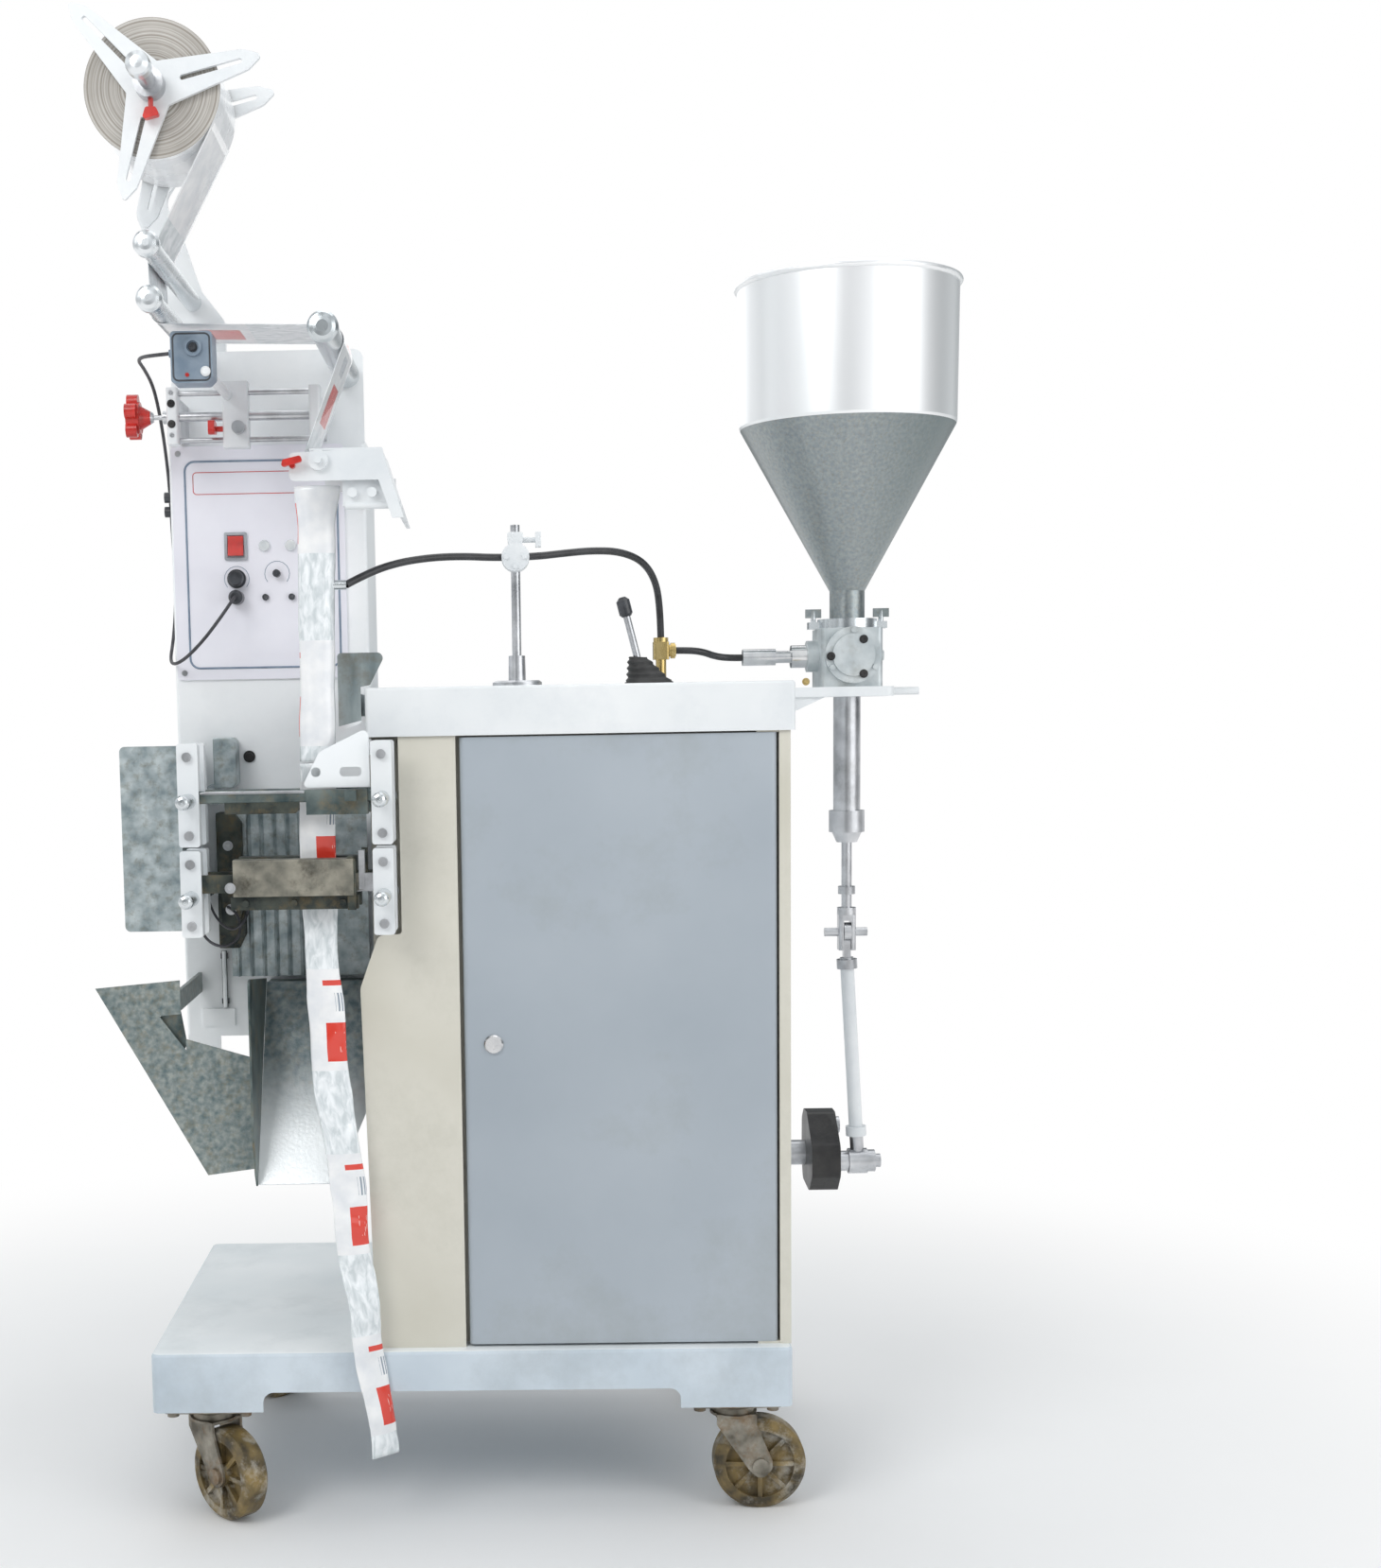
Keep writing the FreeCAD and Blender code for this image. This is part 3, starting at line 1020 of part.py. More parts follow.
def sensor_carriage():
    """Block on the slide's rods, driven by the screw, with the forward rod for the sensor."""
    half = CARRIAGE_WIDTH / 2
    front, back = SLIDE_Y - CARRIAGE_DEPTH / 2, SLIDE_Y + CARRIAGE_DEPTH / 2
    block = box(CARRIAGE_X - half, CARRIAGE_X + half, front, back,
                SLIDE_BOTTOM - CARRIAGE_MARGIN + 2, SLIDE_TOP + CARRIAGE_MARGIN)
    block = rounded_edges(block, 2.0, upright)
    hanger = rod((SENSOR_ROD_X, SENSOR_FRONT - 2, SENSOR_ROD_Z), (0, 1, 0), SENSOR_ROD,
                 front - SENSOR_FRONT + 3)
    tip = cone((SENSOR_ROD_X, SENSOR_FRONT - 4, SENSOR_ROD_Z), (0, 1, 0), SENSOR_ROD - 2,
               SENSOR_ROD, 2)
    screw = rod((CARRIAGE_X - half - 8, front + 4, SLIDE_MIDDLE - 14), (1, 0, 0), 3.0, 10)
    wing = plate_yz([(front - 16, SLIDE_MIDDLE - 22), (front + 5, SLIDE_MIDDLE - 20),
                     (front + 5, SLIDE_MIDDLE - 8), (front - 14, SLIDE_MIDDLE - 6)],
                    CARRIAGE_X - half - 14, CARRIAGE_X - half - 7, 4.0)
    grip = rod((CARRIAGE_X + 4, front - 12, SLIDE_MIDDLE - 14), (0, 1, 0), 7.0, 10)
    stem = rod((CARRIAGE_X + 4, front - 3, SLIDE_MIDDLE - 14), (0, 1, 0), 3.5, 5)
    bores = [rod((CARRIAGE_X - half - 1, SLIDE_Y, SLIDE_MIDDLE + s * SLIDE_ROD_SPREAD), (1, 0, 0),
                 SLIDE_ROD + RUNNING_FIT, CARRIAGE_WIDTH + 2) for s in (-1, 1)]
    bores.append(rod((CARRIAGE_X - half - 1, SLIDE_Y, SLIDE_MIDDLE), (1, 0, 0),
                     SCREW_ROD + RUNNING_FIT, CARRIAGE_WIDTH + 2))
    return union(union(block, hanger).cut(bores), tip, screw, wing, grip, stem)


def photo_sensor():
    """Sensor housing clamped on the carriage's rod, with its lens and cable socket."""
    x0, x1 = SENSOR_LEFT, SENSOR_RIGHT
    z0, z1 = SENSOR_BOTTOM, SENSOR_TOP
    housing = plate_xz([(x0, z0), (x1 - 6, z0), (x1, z0 + 6), (x1, z1), (x0, z1)], SENSOR_FRONT,
                       SENSOR_BACK, [4, 4, 4, 4, 4])
    lens = tube((x0 + 23, SENSOR_FRONT - 3, z1 - 16), (0, 1, 0), LENS_RADIUS, LENS_RADIUS - 3, 4)
    socket = rod((x0 - 4, SENSOR_SOCKET_Y, SENSOR_SOCKET_Z), (1, 0, 0), 4.0, 5)
    seat = rod((SENSOR_ROD_X, SENSOR_FRONT - 1, SENSOR_ROD_Z), (0, 1, 0), SENSOR_ROD + TOUCH_GAP,
               SENSOR_BACK - SENSOR_FRONT + 2)
    return union(housing, lens, socket).cut(seat)


def path_tangent(a, b):
    """Line touching two circles given as (x, z, radius, side); side +1 keeps its centre left."""
    ax, az, ar, sa = a
    bx, bz, br, sb = b
    distance = math.hypot(bx - ax, bz - az)
    heading = math.atan2(bz - az, bx - ax) - math.asin((sb * br - sa * ar) / distance)
    nx, nz = -math.sin(heading), math.cos(heading)
    return (ax - sa * ar * nx, az - sa * ar * nz), (bx - sb * br * nx, bz - sb * br * nz)


def path_edges(circles, offset, y, closed=False, place=None):
    """Straight and curved edges of a strip's face, offset to the left of its middle."""
    place = place or (lambda x, z: V(x, y, z))
    shifted = [(x, z, r - s * offset, s) if s else (x, z, 0.0, 0) for x, z, r, s in circles]
    count = len(shifted)
    pairs = [(i, (i + 1) % count) for i in range(count if closed else count - 1)]
    lines = []
    for i, j in pairs:
        p, q = path_tangent(circles[i], circles[j])
        length = math.hypot(q[0] - p[0], q[1] - p[1])
        nx, nz = -(q[1] - p[1]) / length, (q[0] - p[0]) / length
        lines.append(((p[0] + nx * offset, p[1] + nz * offset),
                      (q[0] + nx * offset, q[1] + nz * offset)))
    edges = []
    for k, (p, q) in enumerate(lines):
        edges.append(Part.LineSegment(place(*p), place(*q)).toShape())
        j = pairs[k][1]
        if closed or j < count - 1:
            x, z, r, s = shifted[j]
            start = q
            end = lines[(k + 1) % len(lines)][0]
            a0 = math.atan2(start[1] - z, start[0] - x)
            a1 = math.atan2(end[1] - z, end[0] - x)
            sweep = (a1 - a0) % (2 * math.pi) if s > 0 else -((a0 - a1) % (2 * math.pi))
            middle = (x + r * math.cos(a0 + sweep / 2), z + r * math.sin(a0 + sweep / 2))
            edges.append(Part.Arc(place(*start), place(*middle), place(*end)).toShape())
    return edges


def strip_solid(circles, thickness, y0, y1):
    """Open strip running round the circles, between two depths."""
    one = path_edges(circles, thickness / 2, y0)
    two = path_edges(circles, -thickness / 2, y0)
    a0, a1 = one[0].Vertexes[0].Point, one[-1].Vertexes[-1].Point
    b0, b1 = two[0].Vertexes[0].Point, two[-1].Vertexes[-1].Point
    ends = [Part.LineSegment(a0, b0).toShape(), Part.LineSegment(a1, b1).toShape()]
    wire = Part.Wire(Part.__sortEdges__(one + two + ends))
    return Part.Face(wire).extrude(V(0, y1 - y0, 0))


FILM_GAP = TOUCH_GAP + FILM_SHEET / 2
SLEEVE_LEFT = -166.0
SLEEVE_RIGHT = -116.0
SLEEVE_TOP = 1080.0
STUB_Z = 1021.0
FOLD_TOP = (-150.0, 1150.0)


def lens_section(x, y, z, half_width, half_depth, twist=0.0):
    """Six-cornered flat section of the folded film at a height."""
    corners = [(-half_width, 0.0), (-half_width * 0.5, -half_depth), (half_width * 0.5, -half_depth),
               (half_width, 0.0), (half_width * 0.5, half_depth), (-half_width * 0.5, half_depth)]
    c, s = math.cos(math.radians(twist)), math.sin(math.radians(twist))
    points = [V(x + a * c - b * s, y + a * s + b * c, z) for a, b in corners]
    return Part.makePolygon(points + [points[0]])


def film_web():
    """Film from the roll over the guide rollers, the sleeve round the tube and the pouch strip."""
    x, z = SPINDLE
    circles = [(x, z, ROLL_RADIUS + FILM_GAP, -1),
               (ROLLER_1[0], ROLLER_1[1], ROLLER_SMALL + FILM_GAP, 1),
               (ROLLER_2[0], ROLLER_2[1], ROLLER_SMALL + FILM_GAP, 1),
               (ROLLER_3[0], ROLLER_3[1], ROLLER_LARGE + FILM_GAP, -1),
               (FOLD_TOP[0], FOLD_TOP[1], 0.01, 1)]
    web = strip_solid(circles, FILM_SHEET, FILM_FRONT, FILM_BACK)
    middle = (SLEEVE_LEFT + SLEEVE_RIGHT) / 2
    half = (SLEEVE_RIGHT - SLEEVE_LEFT) / 2
    around = TUBE_RADIUS + 2.5
    flat = FILM_SHEET
    outer = [lens_section(middle, FILM_Y, HOOD_TOP - 40, half + 6, around),
             lens_section(middle, FILM_Y, SLEEVE_TOP, half, around),
             lens_section(middle, FILM_Y, TUBE_BOTTOM - 2, half, around)]
    inner = [lens_section(middle, FILM_Y, HOOD_TOP - 40, half + 5, around - FILM_SHEET),
             lens_section(middle, FILM_Y, SLEEVE_TOP, half - 1.6, around - FILM_SHEET),
             lens_section(middle, FILM_Y, TUBE_BOTTOM - 2, half - 1.6, around - FILM_SHEET)]
    sleeve = Part.makeLoft(outer, True, True).cut(Part.makeLoft(inner, True, True))
    pitch = (SEAL_JAW_BOTTOM - STRIP_END) / 6
    sections = [lens_section(middle, FILM_Y, TUBE_BOTTOM - 2.5, half, around),
                lens_section(middle, FILM_Y, UPPER_ROD_Z + 18, half, flat),
                lens_section(middle, FILM_Y, SEAL_JAW_TOP + 46, half, flat),
                lens_section(middle, FILM_Y, SEAL_JAW_TOP + 24, half, POUCH_BULGE / 2),
                lens_section(middle, FILM_Y, SEAL_JAW_TOP + 2, half, flat),
                lens_section(middle, FILM_Y, SEAL_JAW_BOTTOM - 2, half, flat)]
    for i in range(6):
        for part, depth in ((0.25, POUCH_BULGE / 2), (0.75, POUCH_BULGE / 2), (1.0, flat)):
            height = SEAL_JAW_BOTTOM - 2 - (i + part) * pitch
            fall = max(0.0, (CHUTE_TOP - 60 - height) / (CHUTE_TOP - 60 - STRIP_END))
            sections.append(lens_section(middle + STRIP_DRIFT * fall, FILM_Y - 9 * min(1, 2 * fall),
                                         height, POUCH_WIDTH / 2, depth, 40 * fall))
    strip = Part.makeLoft(sections, True, True)
    window = rod((TUBE_X, FILM_Y, STUB_Z), (1, 0, 0), 7.0, 40)
    return web, sleeve.cut(window), strip


HOOD_FOOT = (HOOD_RIGHT_BOTTOM, HOOD_BOTTOM)


def film_former():
    """Folding hood: sloping right wall, front fascia, inner plate and the arms to the column."""
    t = HOOD_SHEET
    back = FILM_BACK + 6
    wall_points = [(HOOD_RIGHT_TOP, HOOD_TOP), (HOOD_FOOT[0], HOOD_FOOT[1]),
                   (HOOD_FOOT[0] - 2 * t, HOOD_FOOT[1]), (HOOD_RIGHT_TOP - 2 * t, HOOD_TOP - t),
                   (HOOD_LEFT + 8, HOOD_TOP - t), (HOOD_LEFT + 8, HOOD_TOP)]
    wall = plate_xz(wall_points, HOOD_FRONT, back)
    lip = plate_xz([(HOOD_RIGHT_TOP, HOOD_TOP), (HOOD_FOOT[0], HOOD_FOOT[1]),
                    (HOOD_FOOT[0] - 12, HOOD_FOOT[1]), (HOOD_RIGHT_TOP - 12, HOOD_TOP - 6)],
                   HOOD_FRONT, HOOD_FRONT + t)
    fascia = plate_xz([(HOOD_LEFT - 13, HOOD_TOP - 4), (HOOD_RIGHT_TOP + 2, HOOD_TOP),
                       (HOOD_RIGHT_TOP + 6, HOOD_TOP - HOOD_FASCIA),
                       (HOOD_LEFT - 13, HOOD_TOP - HOOD_FASCIA)], HOOD_FRONT, HOOD_FRONT + t,
                      [6, 2, 2, 6])
    boss = rod((HOOD_LEFT + 17, HOOD_FRONT - 6, HOOD_TOP - 12), (0, 1, 0), 10.0, 7)
    stud = rod((HOOD_LEFT + 17, HOOD_FRONT - 12, HOOD_TOP - 12), (0, 1, 0), 4.0, 7)
    wing_stem = rod((HOOD_LEFT - 9, HOOD_FRONT - 8, HOOD_TOP - 17), (0, 1, 0), 3.0, 9)
    wing = plate_xz([(HOOD_LEFT - 20, HOOD_TOP - 20), (HOOD_LEFT + 2, HOOD_TOP - 14),
                     (HOOD_LEFT, HOOD_TOP - 8), (HOOD_LEFT - 18, HOOD_TOP - 12)],
                    HOOD_FRONT - 13, HOOD_FRONT - 7, 2.5)
    block = box(FORMER_BLOCK_LEFT + 12, HOOD_RIGHT_TOP + 4, HOOD_FRONT + 8, HOOD_FRONT + 14,
                FORMER_BLOCK_BOTTOM, HOOD_TOP - HOOD_FASCIA + 6)
    link = box(HOOD_RIGHT_TOP - 8, HOOD_RIGHT_TOP + 4, HOOD_FRONT + 1, HOOD_FRONT + 9,
               HOOD_TOP - HOOD_FASCIA, HOOD_TOP - HOOD_FASCIA + 6)
    knobs = [rod((x, HOOD_FRONT + 2, HOOD_TOP - HOOD_FASCIA - 12), (0, 1, 0), 5.0, 7)
             for x in (FORMER_BLOCK_LEFT + 22, FORMER_BLOCK_LEFT + 42)]
    bar_z = FORMER_BLOCK_BOTTOM + 1
    lip_bar = rod((FORMER_BLOCK_LEFT + 14, HOOD_FRONT + 11, bar_z), (1, 0, 0), 4.0,
                  HOOD_FOOT[0] - FORMER_BLOCK_LEFT - 18)
    folds = []
    for side in (-1, 1):
        y = FILM_Y + side * (FILM_WIDTH / 2 + 3)
        inner = FILM_Y + side * (TUBE_RADIUS + 8)
        points = [V(HOOD_LEFT + 34, y, HOOD_TOP - t / 2), V(HOOD_RIGHT_TOP - 8, y, HOOD_TOP - t / 2),
                  V(HOOD_RIGHT_TOP - 8, inner, HOOD_BOTTOM + 20)]
        wire = Part.makePolygon(points + [points[0]])
        sheet = Part.Face(wire)
        folds.append(sheet.extrude(V(0, -side * t, 0)))
    arms = []
    for x in (HOOD_RIGHT_TOP - 18, HOOD_LEFT + 26):
        arms.append(box(x, x + FORMER_STEM, back - 1, COLUMN_FRONT, HOOD_TOP - 26, HOOD_TOP - 14))
    hanger = box(HOOD_LEFT + 12, HOOD_RIGHT_TOP - 4, back - 2, back, HOOD_TOP - 30, HOOD_TOP)
    foot = box(PANEL_RIGHT + 1, HOOD_RIGHT_TOP + 2, COLUMN_FRONT - 4, COLUMN_FRONT, HOOD_TOP - 36,
               HOOD_TOP - 6)
    return union(wall, lip, fascia, boss, stud, wing_stem, wing, block, link, *knobs, lip_bar,
                 *folds, hanger, *arms, foot)




def fill_tube():
    """Filling tube down the sleeve, with the hose stub at its side and its clamp on the former."""
    barrel = rod((TUBE_X, FILM_Y, TUBE_BOTTOM), (0, 0, 1), TUBE_RADIUS, TUBE_TOP - TUBE_BOTTOM)
    barrel = barrel.fuse(rod((TUBE_X + 4, FILM_Y, STUB_Z), (1, 0, 0), 5.0, 22))
    bore = rod((TUBE_X, FILM_Y, TUBE_BOTTOM - 1), (0, 0, 1), TUBE_RADIUS - TUBE_WALL,
               TUBE_TOP - TUBE_BOTTOM - 6)
    stub_bore = rod((TUBE_X, FILM_Y, STUB_Z), (1, 0, 0), 3.2, 30)
    return barrel.cut([bore, stub_bore])


GUARD_Y = -222.0


def film_guides():
    """Dark sheet behind the sleeve and the slotted plate in front of it, on their arms."""
    t = GUARD_SHEET
    inner = CABINET_LEFT - COVER_SHEET - 4
    dark = plate_xz([(GUARD_LEFT, GUARD_TOP), (GUARD_RIGHT, GUARD_TOP),
                     (inner + 10, COVER_TOP + 3), (inner, COVER_TOP + 1), (inner, GUARD_BOTTOM + 9),
                     (GUARD_LEFT, GUARD_BOTTOM)], GUARD_Y, GUARD_Y + t, [4, 6, 0, 0, 4, 4])
    arm = box(inner - 4 - t, inner - 4, GUARD_Y, COLUMN_FRONT, GUARD_BOTTOM + 16, GUARD_BOTTOM + 40)
    front = SLOT_PLATE_FRONT
    s = SLOT_PLATE_SHEET
    plate = plate_xz([(SLOT_PLATE_LEFT, SLOT_PLATE_BOTTOM), (SLOT_PLATE_RIGHT, SLOT_PLATE_BOTTOM),
                      (SLOT_PLATE_RIGHT, SLOT_PLATE_TOP), (SLOT_PLATE_LEFT + 19, SLOT_PLATE_TOP - 25)],
                     front, front + s, [4, 4, 6, 14])
    slots = []
    for x0, x1 in ((SLOT_PLATE_LEFT + 10, SLOT_PLATE_LEFT + 20), (SLOT_PLATE_LEFT + 40,
                                                                   SLOT_PLATE_LEFT + 63)):
        slots.append(plate_xz(rectangle(x0, x1, SLOT_PLATE_BOTTOM + 11, SLOT_PLATE_BOTTOM + 21),
                              front - 1, front + s + 1, 4.5))
    plate = plate.cut(slots)
    z1 = COVER_BOTTOM - 2
    side = box(SLOT_PLATE_RIGHT - s, SLOT_PLATE_RIGHT, front, FRAME_FRONT, z1 - 16, z1)
    return union(dark, arm), union(plate, side)


def guide_rods():
    """Four guide rods with rounded front ends; the right pair stands on the cabinet's front."""
    rods = []
    for x, back in ((ROD_LEFT, COLUMN_FRONT), (ROD_RIGHT, FRAME_FRONT)):
        for z in (UPPER_ROD_Z, LOWER_ROD_Z):
            r = ROD_RADIUS
            profile = [(0, 0), (0.3, r * 0.45), (1.4, r * 0.75), (3, r * 0.93), (6, r)]
            length = back - ROD_FRONT
            profile += [(length - 6, r), (length - 6, r + 4), (length, r + 4), (length, 0)]
            rods.append(turned(profile, (x, ROD_FRONT, z), (0, 1, 0), (0, 0, 1)))
    return rods


def yoke(z0, z1, rod_z, side, width_left=0.0):
    """Pair of sliding blocks on the guide rods; side -1 is the front pair, +1 the rear."""
    near = FILM_Y + side * JAW_OPENING
    far = near + side * YOKE_DEPTH
    y0, y1 = min(near, far), max(near, far)
    blocks = []
    for x in (ROD_LEFT, ROD_RIGHT):
        blocks.append(plate_xz(rectangle(x - YOKE_WIDTH / 2, x + YOKE_WIDTH / 2, z0, z1), y0, y1, 3.0))
    return blocks, y0, y1


def yoke_bores(rod_z, y0, y1):
    return [rod((x, y0 - 1, rod_z), (0, 1, 0), ROD_RADIUS + RUNNING_FIT, y1 - y0 + 2)
            for x in (ROD_LEFT, ROD_RIGHT)]


def bolt_heads(z_list, y, side):
    heads = []
    for x in (ROD_LEFT, ROD_RIGHT):
        for z in z_list:
            start = y if side > 0 else y - 4
            heads.append(rod((x, start, z), (0, 1, 0), 5.0, 4))
    return heads


def seam_bar(side):
    """Upper bar across the film with the upright sealing block at its open edge."""
    blocks, y0, y1 = yoke(UPPER_YOKE_BOTTOM, UPPER_YOKE_TOP, UPPER_ROD_Z, side)
    z0, z1 = SEAM_BAR_Z - SEAM_BAR_HEIGHT / 2 - 2, SLOT_PLATE_BOTTOM - 2
    z0 = z1 - SEAM_BAR_HEIGHT
    bar = box(ROD_LEFT + 4, ROD_RIGHT - 4, y0 + 3, y1 - 3, z0, z1)
    bar = rounded_edges(bar, 2.5, lambda e: e.Length > 100)
    shoe = box(SEAM_BAR_RIGHT, ROD_RIGHT - YOKE_WIDTH / 2 - 4, y0, y1, SEAL_JAW_TOP + 46, z1)
    wing_y = y0 - 9 if side < 0 else y1
    wing = box(ROD_RIGHT - 38, ROD_RIGHT - 26, wing_y, wing_y + 9, z0 + 1, z1 - 1)
    heads = bolt_heads((UPPER_YOKE_BOTTOM + 12, UPPER_YOKE_TOP - 14), y0 if side < 0 else y1, side)
    body = union(*blocks, bar, shoe, wing, *heads)
    return body.cut(yoke_bores(UPPER_ROD_Z, y0, y1))


def seal_jaw(side):
    """Lower jaw: heated block across the film between its two sliding blocks."""
    top = UPPER_YOKE_BOTTOM - YOKE_GAP
    blocks, y0, y1 = yoke(LOWER_YOKE_BOTTOM, top, LOWER_ROD_Z, side)
    block = box(SEAL_JAW_LEFT, SEAL_JAW_RIGHT, y0 - (6 if side < 0 else 0),
                y1 + (0 if side < 0 else 4), SEAL_JAW_BOTTOM + 14, SEAL_JAW_TOP)
    block = rounded_edges(block, 1.5, lambda e: e.Length > 100)
    strip = box(SEAL_JAW_LEFT - 4, SEAL_JAW_RIGHT + 4, y0 + 1, y1 - 1, SEAL_JAW_BOTTOM,
                SEAL_JAW_BOTTOM + 14)
    beam = box(ROD_LEFT + 4, ROD_RIGHT - 4, y0 + 4, y1 - 4, SEAL_JAW_BOTTOM + 18, SEAL_JAW_TOP - 16)
    screw_y = y0 - 3 if side < 0 else y1
    screws = [rod((x, screw_y, SEAL_JAW_BOTTOM + 7), (0, 1, 0), 3.5, 4)
              for x in (SEAL_JAW_LEFT + 12, (SEAL_JAW_LEFT + SEAL_JAW_RIGHT) / 2, SEAL_JAW_RIGHT - 12)]
    if side > 0:
        screws = [moved(s, 0, -1, 0) for s in screws]
    tall = box(ROD_RIGHT - 26, ROD_RIGHT - 20, y0 + 2, y1 - 2, SEAL_JAW_BOTTOM + 20, top - 2)
    heads = bolt_heads((LOWER_YOKE_BOTTOM + 12, top - 14), y0 if side < 0 else y1, side)
    body = union(*blocks, block, strip, beam, tall, *screws, *heads)
    return body.cut(yoke_bores(LOWER_ROD_Z, y0, y1))


def jaw_guards():
    """Side sheet left of the jaws and the ribbed sheet behind them, each on its own bracket."""
    t = GUARD_SHEET
    right = ROD_LEFT - YOKE_WIDTH / 2 - 8
    sheet = plate_xz(rectangle(SIDE_GUARD_LEFT, right, SIDE_GUARD_BOTTOM, SIDE_GUARD_TOP),
                     SIDE_GUARD_FRONT, SIDE_GUARD_FRONT + t, [6, 0, 0, 6])
    fold = box(right - t, right, SIDE_GUARD_FRONT, COLUMN_FRONT, SIDE_GUARD_BOTTOM, SIDE_GUARD_TOP)
    edge = box(SIDE_GUARD_LEFT, SIDE_GUARD_LEFT + t, SIDE_GUARD_FRONT, SIDE_GUARD_FRONT + 14,
               SIDE_GUARD_BOTTOM + 6, SIDE_GUARD_TOP - 6)
    foot = box(right - 16, right, COLUMN_FRONT - t, COLUMN_FRONT, SIDE_GUARD_BOTTOM, SIDE_GUARD_TOP)
    side = union(sheet, fold, edge, foot)
    y = COLUMN_FRONT - 25
    ribbed = box(RIBBED_LEFT, RIBBED_RIGHT, y, y + t, RIBBED_BOTTOM, RIBBED_TOP)
    ribs = []
    for i in range(int(RIBBED_SPREAD / RIBBED_PITCH) + 1):
        x = RIBBED_LEFT + 8 + i * RIBBED_PITCH
        ribs.append(plate_xy([(x - 3, y + 0.5), (x + 3, y + 0.5), (x, y - RIBBED_DEPTH)],
                             RIBBED_BOTTOM, RIBBED_TOP))
    holders = [box(RIBBED_LEFT + 10, RIBBED_RIGHT - 10, y + 1, COLUMN_FRONT, z, z + 8)
               for z in (RIBBED_BOTTOM + 20, RIBBED_TOP - 30)]
    return side, union(ribbed, *ribs, *holders)


def discharge_chute():
    """Bent slide under the jaws with its left wall, and the flared wing sheet beside it."""
    t = CHUTE_SHEET
    slide_run = math.hypot(CHUTE_TOP - CHUTE_BOTTOM - 12, 130)
    top = (CHUTE_BACK, CHUTE_TOP - 12)
    low = (FILM_Y + 2, CHUTE_BOTTOM)
    nx, ny = (top[1] - low[1]) / slide_run, -(top[0] - low[0]) / slide_run
    slide = plate_yz([top, low, (low[0] + t * nx, low[1] + t * ny),
                      (top[0] + t * nx, top[1] + t * ny)], CHUTE_LEFT, CHUTE_RIGHT)
    corner = plate_xz([(CHUTE_RIGHT + 1, CHUTE_BOTTOM + 72), (CHUTE_RIGHT + 1, CHUTE_BOTTOM - 20),
                       (CHUTE_RIGHT - 40, CHUTE_BOTTOM - 20)], CHUTE_FRONT - 20, CHUTE_BACK + 20)
    slide = slide.cut(corner)
    wall = plate_yz([(CHUTE_BACK, CHUTE_TOP - 8), (CHUTE_FRONT, CHUTE_TOP + 10),
                     (CHUTE_FRONT, CHUTE_BOTTOM + CHUTE_WALL), (low[0] - 10, CHUTE_BOTTOM + 12),
                     (low[0], CHUTE_BOTTOM - 2)], CHUTE_LEFT - t, CHUTE_LEFT, [0, 8, 20, 10, 0])
    hanger = box(CHUTE_LEFT, CHUTE_RIGHT, top[0] - 1, COLUMN_FRONT, CHUTE_TOP - 18, CHUTE_TOP - 14)
    flange = box(CHUTE_LEFT, CHUTE_RIGHT, COLUMN_FRONT - t, COLUMN_FRONT, CHUTE_TOP - 50,
                 CHUTE_TOP - 14)
    a = V(WING_LEFT, WING_Y - 5, WING_TOP)
    b = V(ROD_LEFT - 22, WING_Y, WING_TOP + 7)
    d = V(WING_FOOT_LEFT, WING_Y - 5, CHUTE_BOTTOM + 10)
    normal = (b - a).cross(d - a).normalize()
    if normal.y < 0:
        normal = normal * -1
    corners = []
    for x, z in ((b.x, WING_NOTCH), (CHUTE_LEFT - t / 2, WING_NOTCH - 24),
                 (CHUTE_LEFT - t / 2, CHUTE_BOTTOM + 16)):
        y = a.y - (normal.x * (x - a.x) + normal.z * (z - a.z)) / normal.y
        corners.append(V(x, y, z))
    wing = Part.Face(Part.makePolygon([a, b, *corners, d, a])).extrude(normal * t)
    hole = [V(WING_LEFT + 67, 0, WING_TOP - 31), V(b.x + 5, 0, WING_TOP - 29),
            V(b.x + 5, 0, WING_NOTCH - 14)]
    hole = Part.Face(Part.makePolygon(hole + [hole[0]])).extrude(V(0, -400, 0))
    wing = wing.cut(hole)
    strut = box(b.x - 4, b.x, b.y - 1, COLUMN_FRONT, WING_TOP - 26, WING_TOP - 4)
    return union(slide, wall, hanger, flange, union(wing, strut))


CLAMP_BORE = 0.6
HOSE_IN = (STAND_X + 22, STAND_Y - 11, CLAMP_Z + 1)
HOSE_OUT = (STAND_X - 22, STAND_Y - 19, CLAMP_Z)


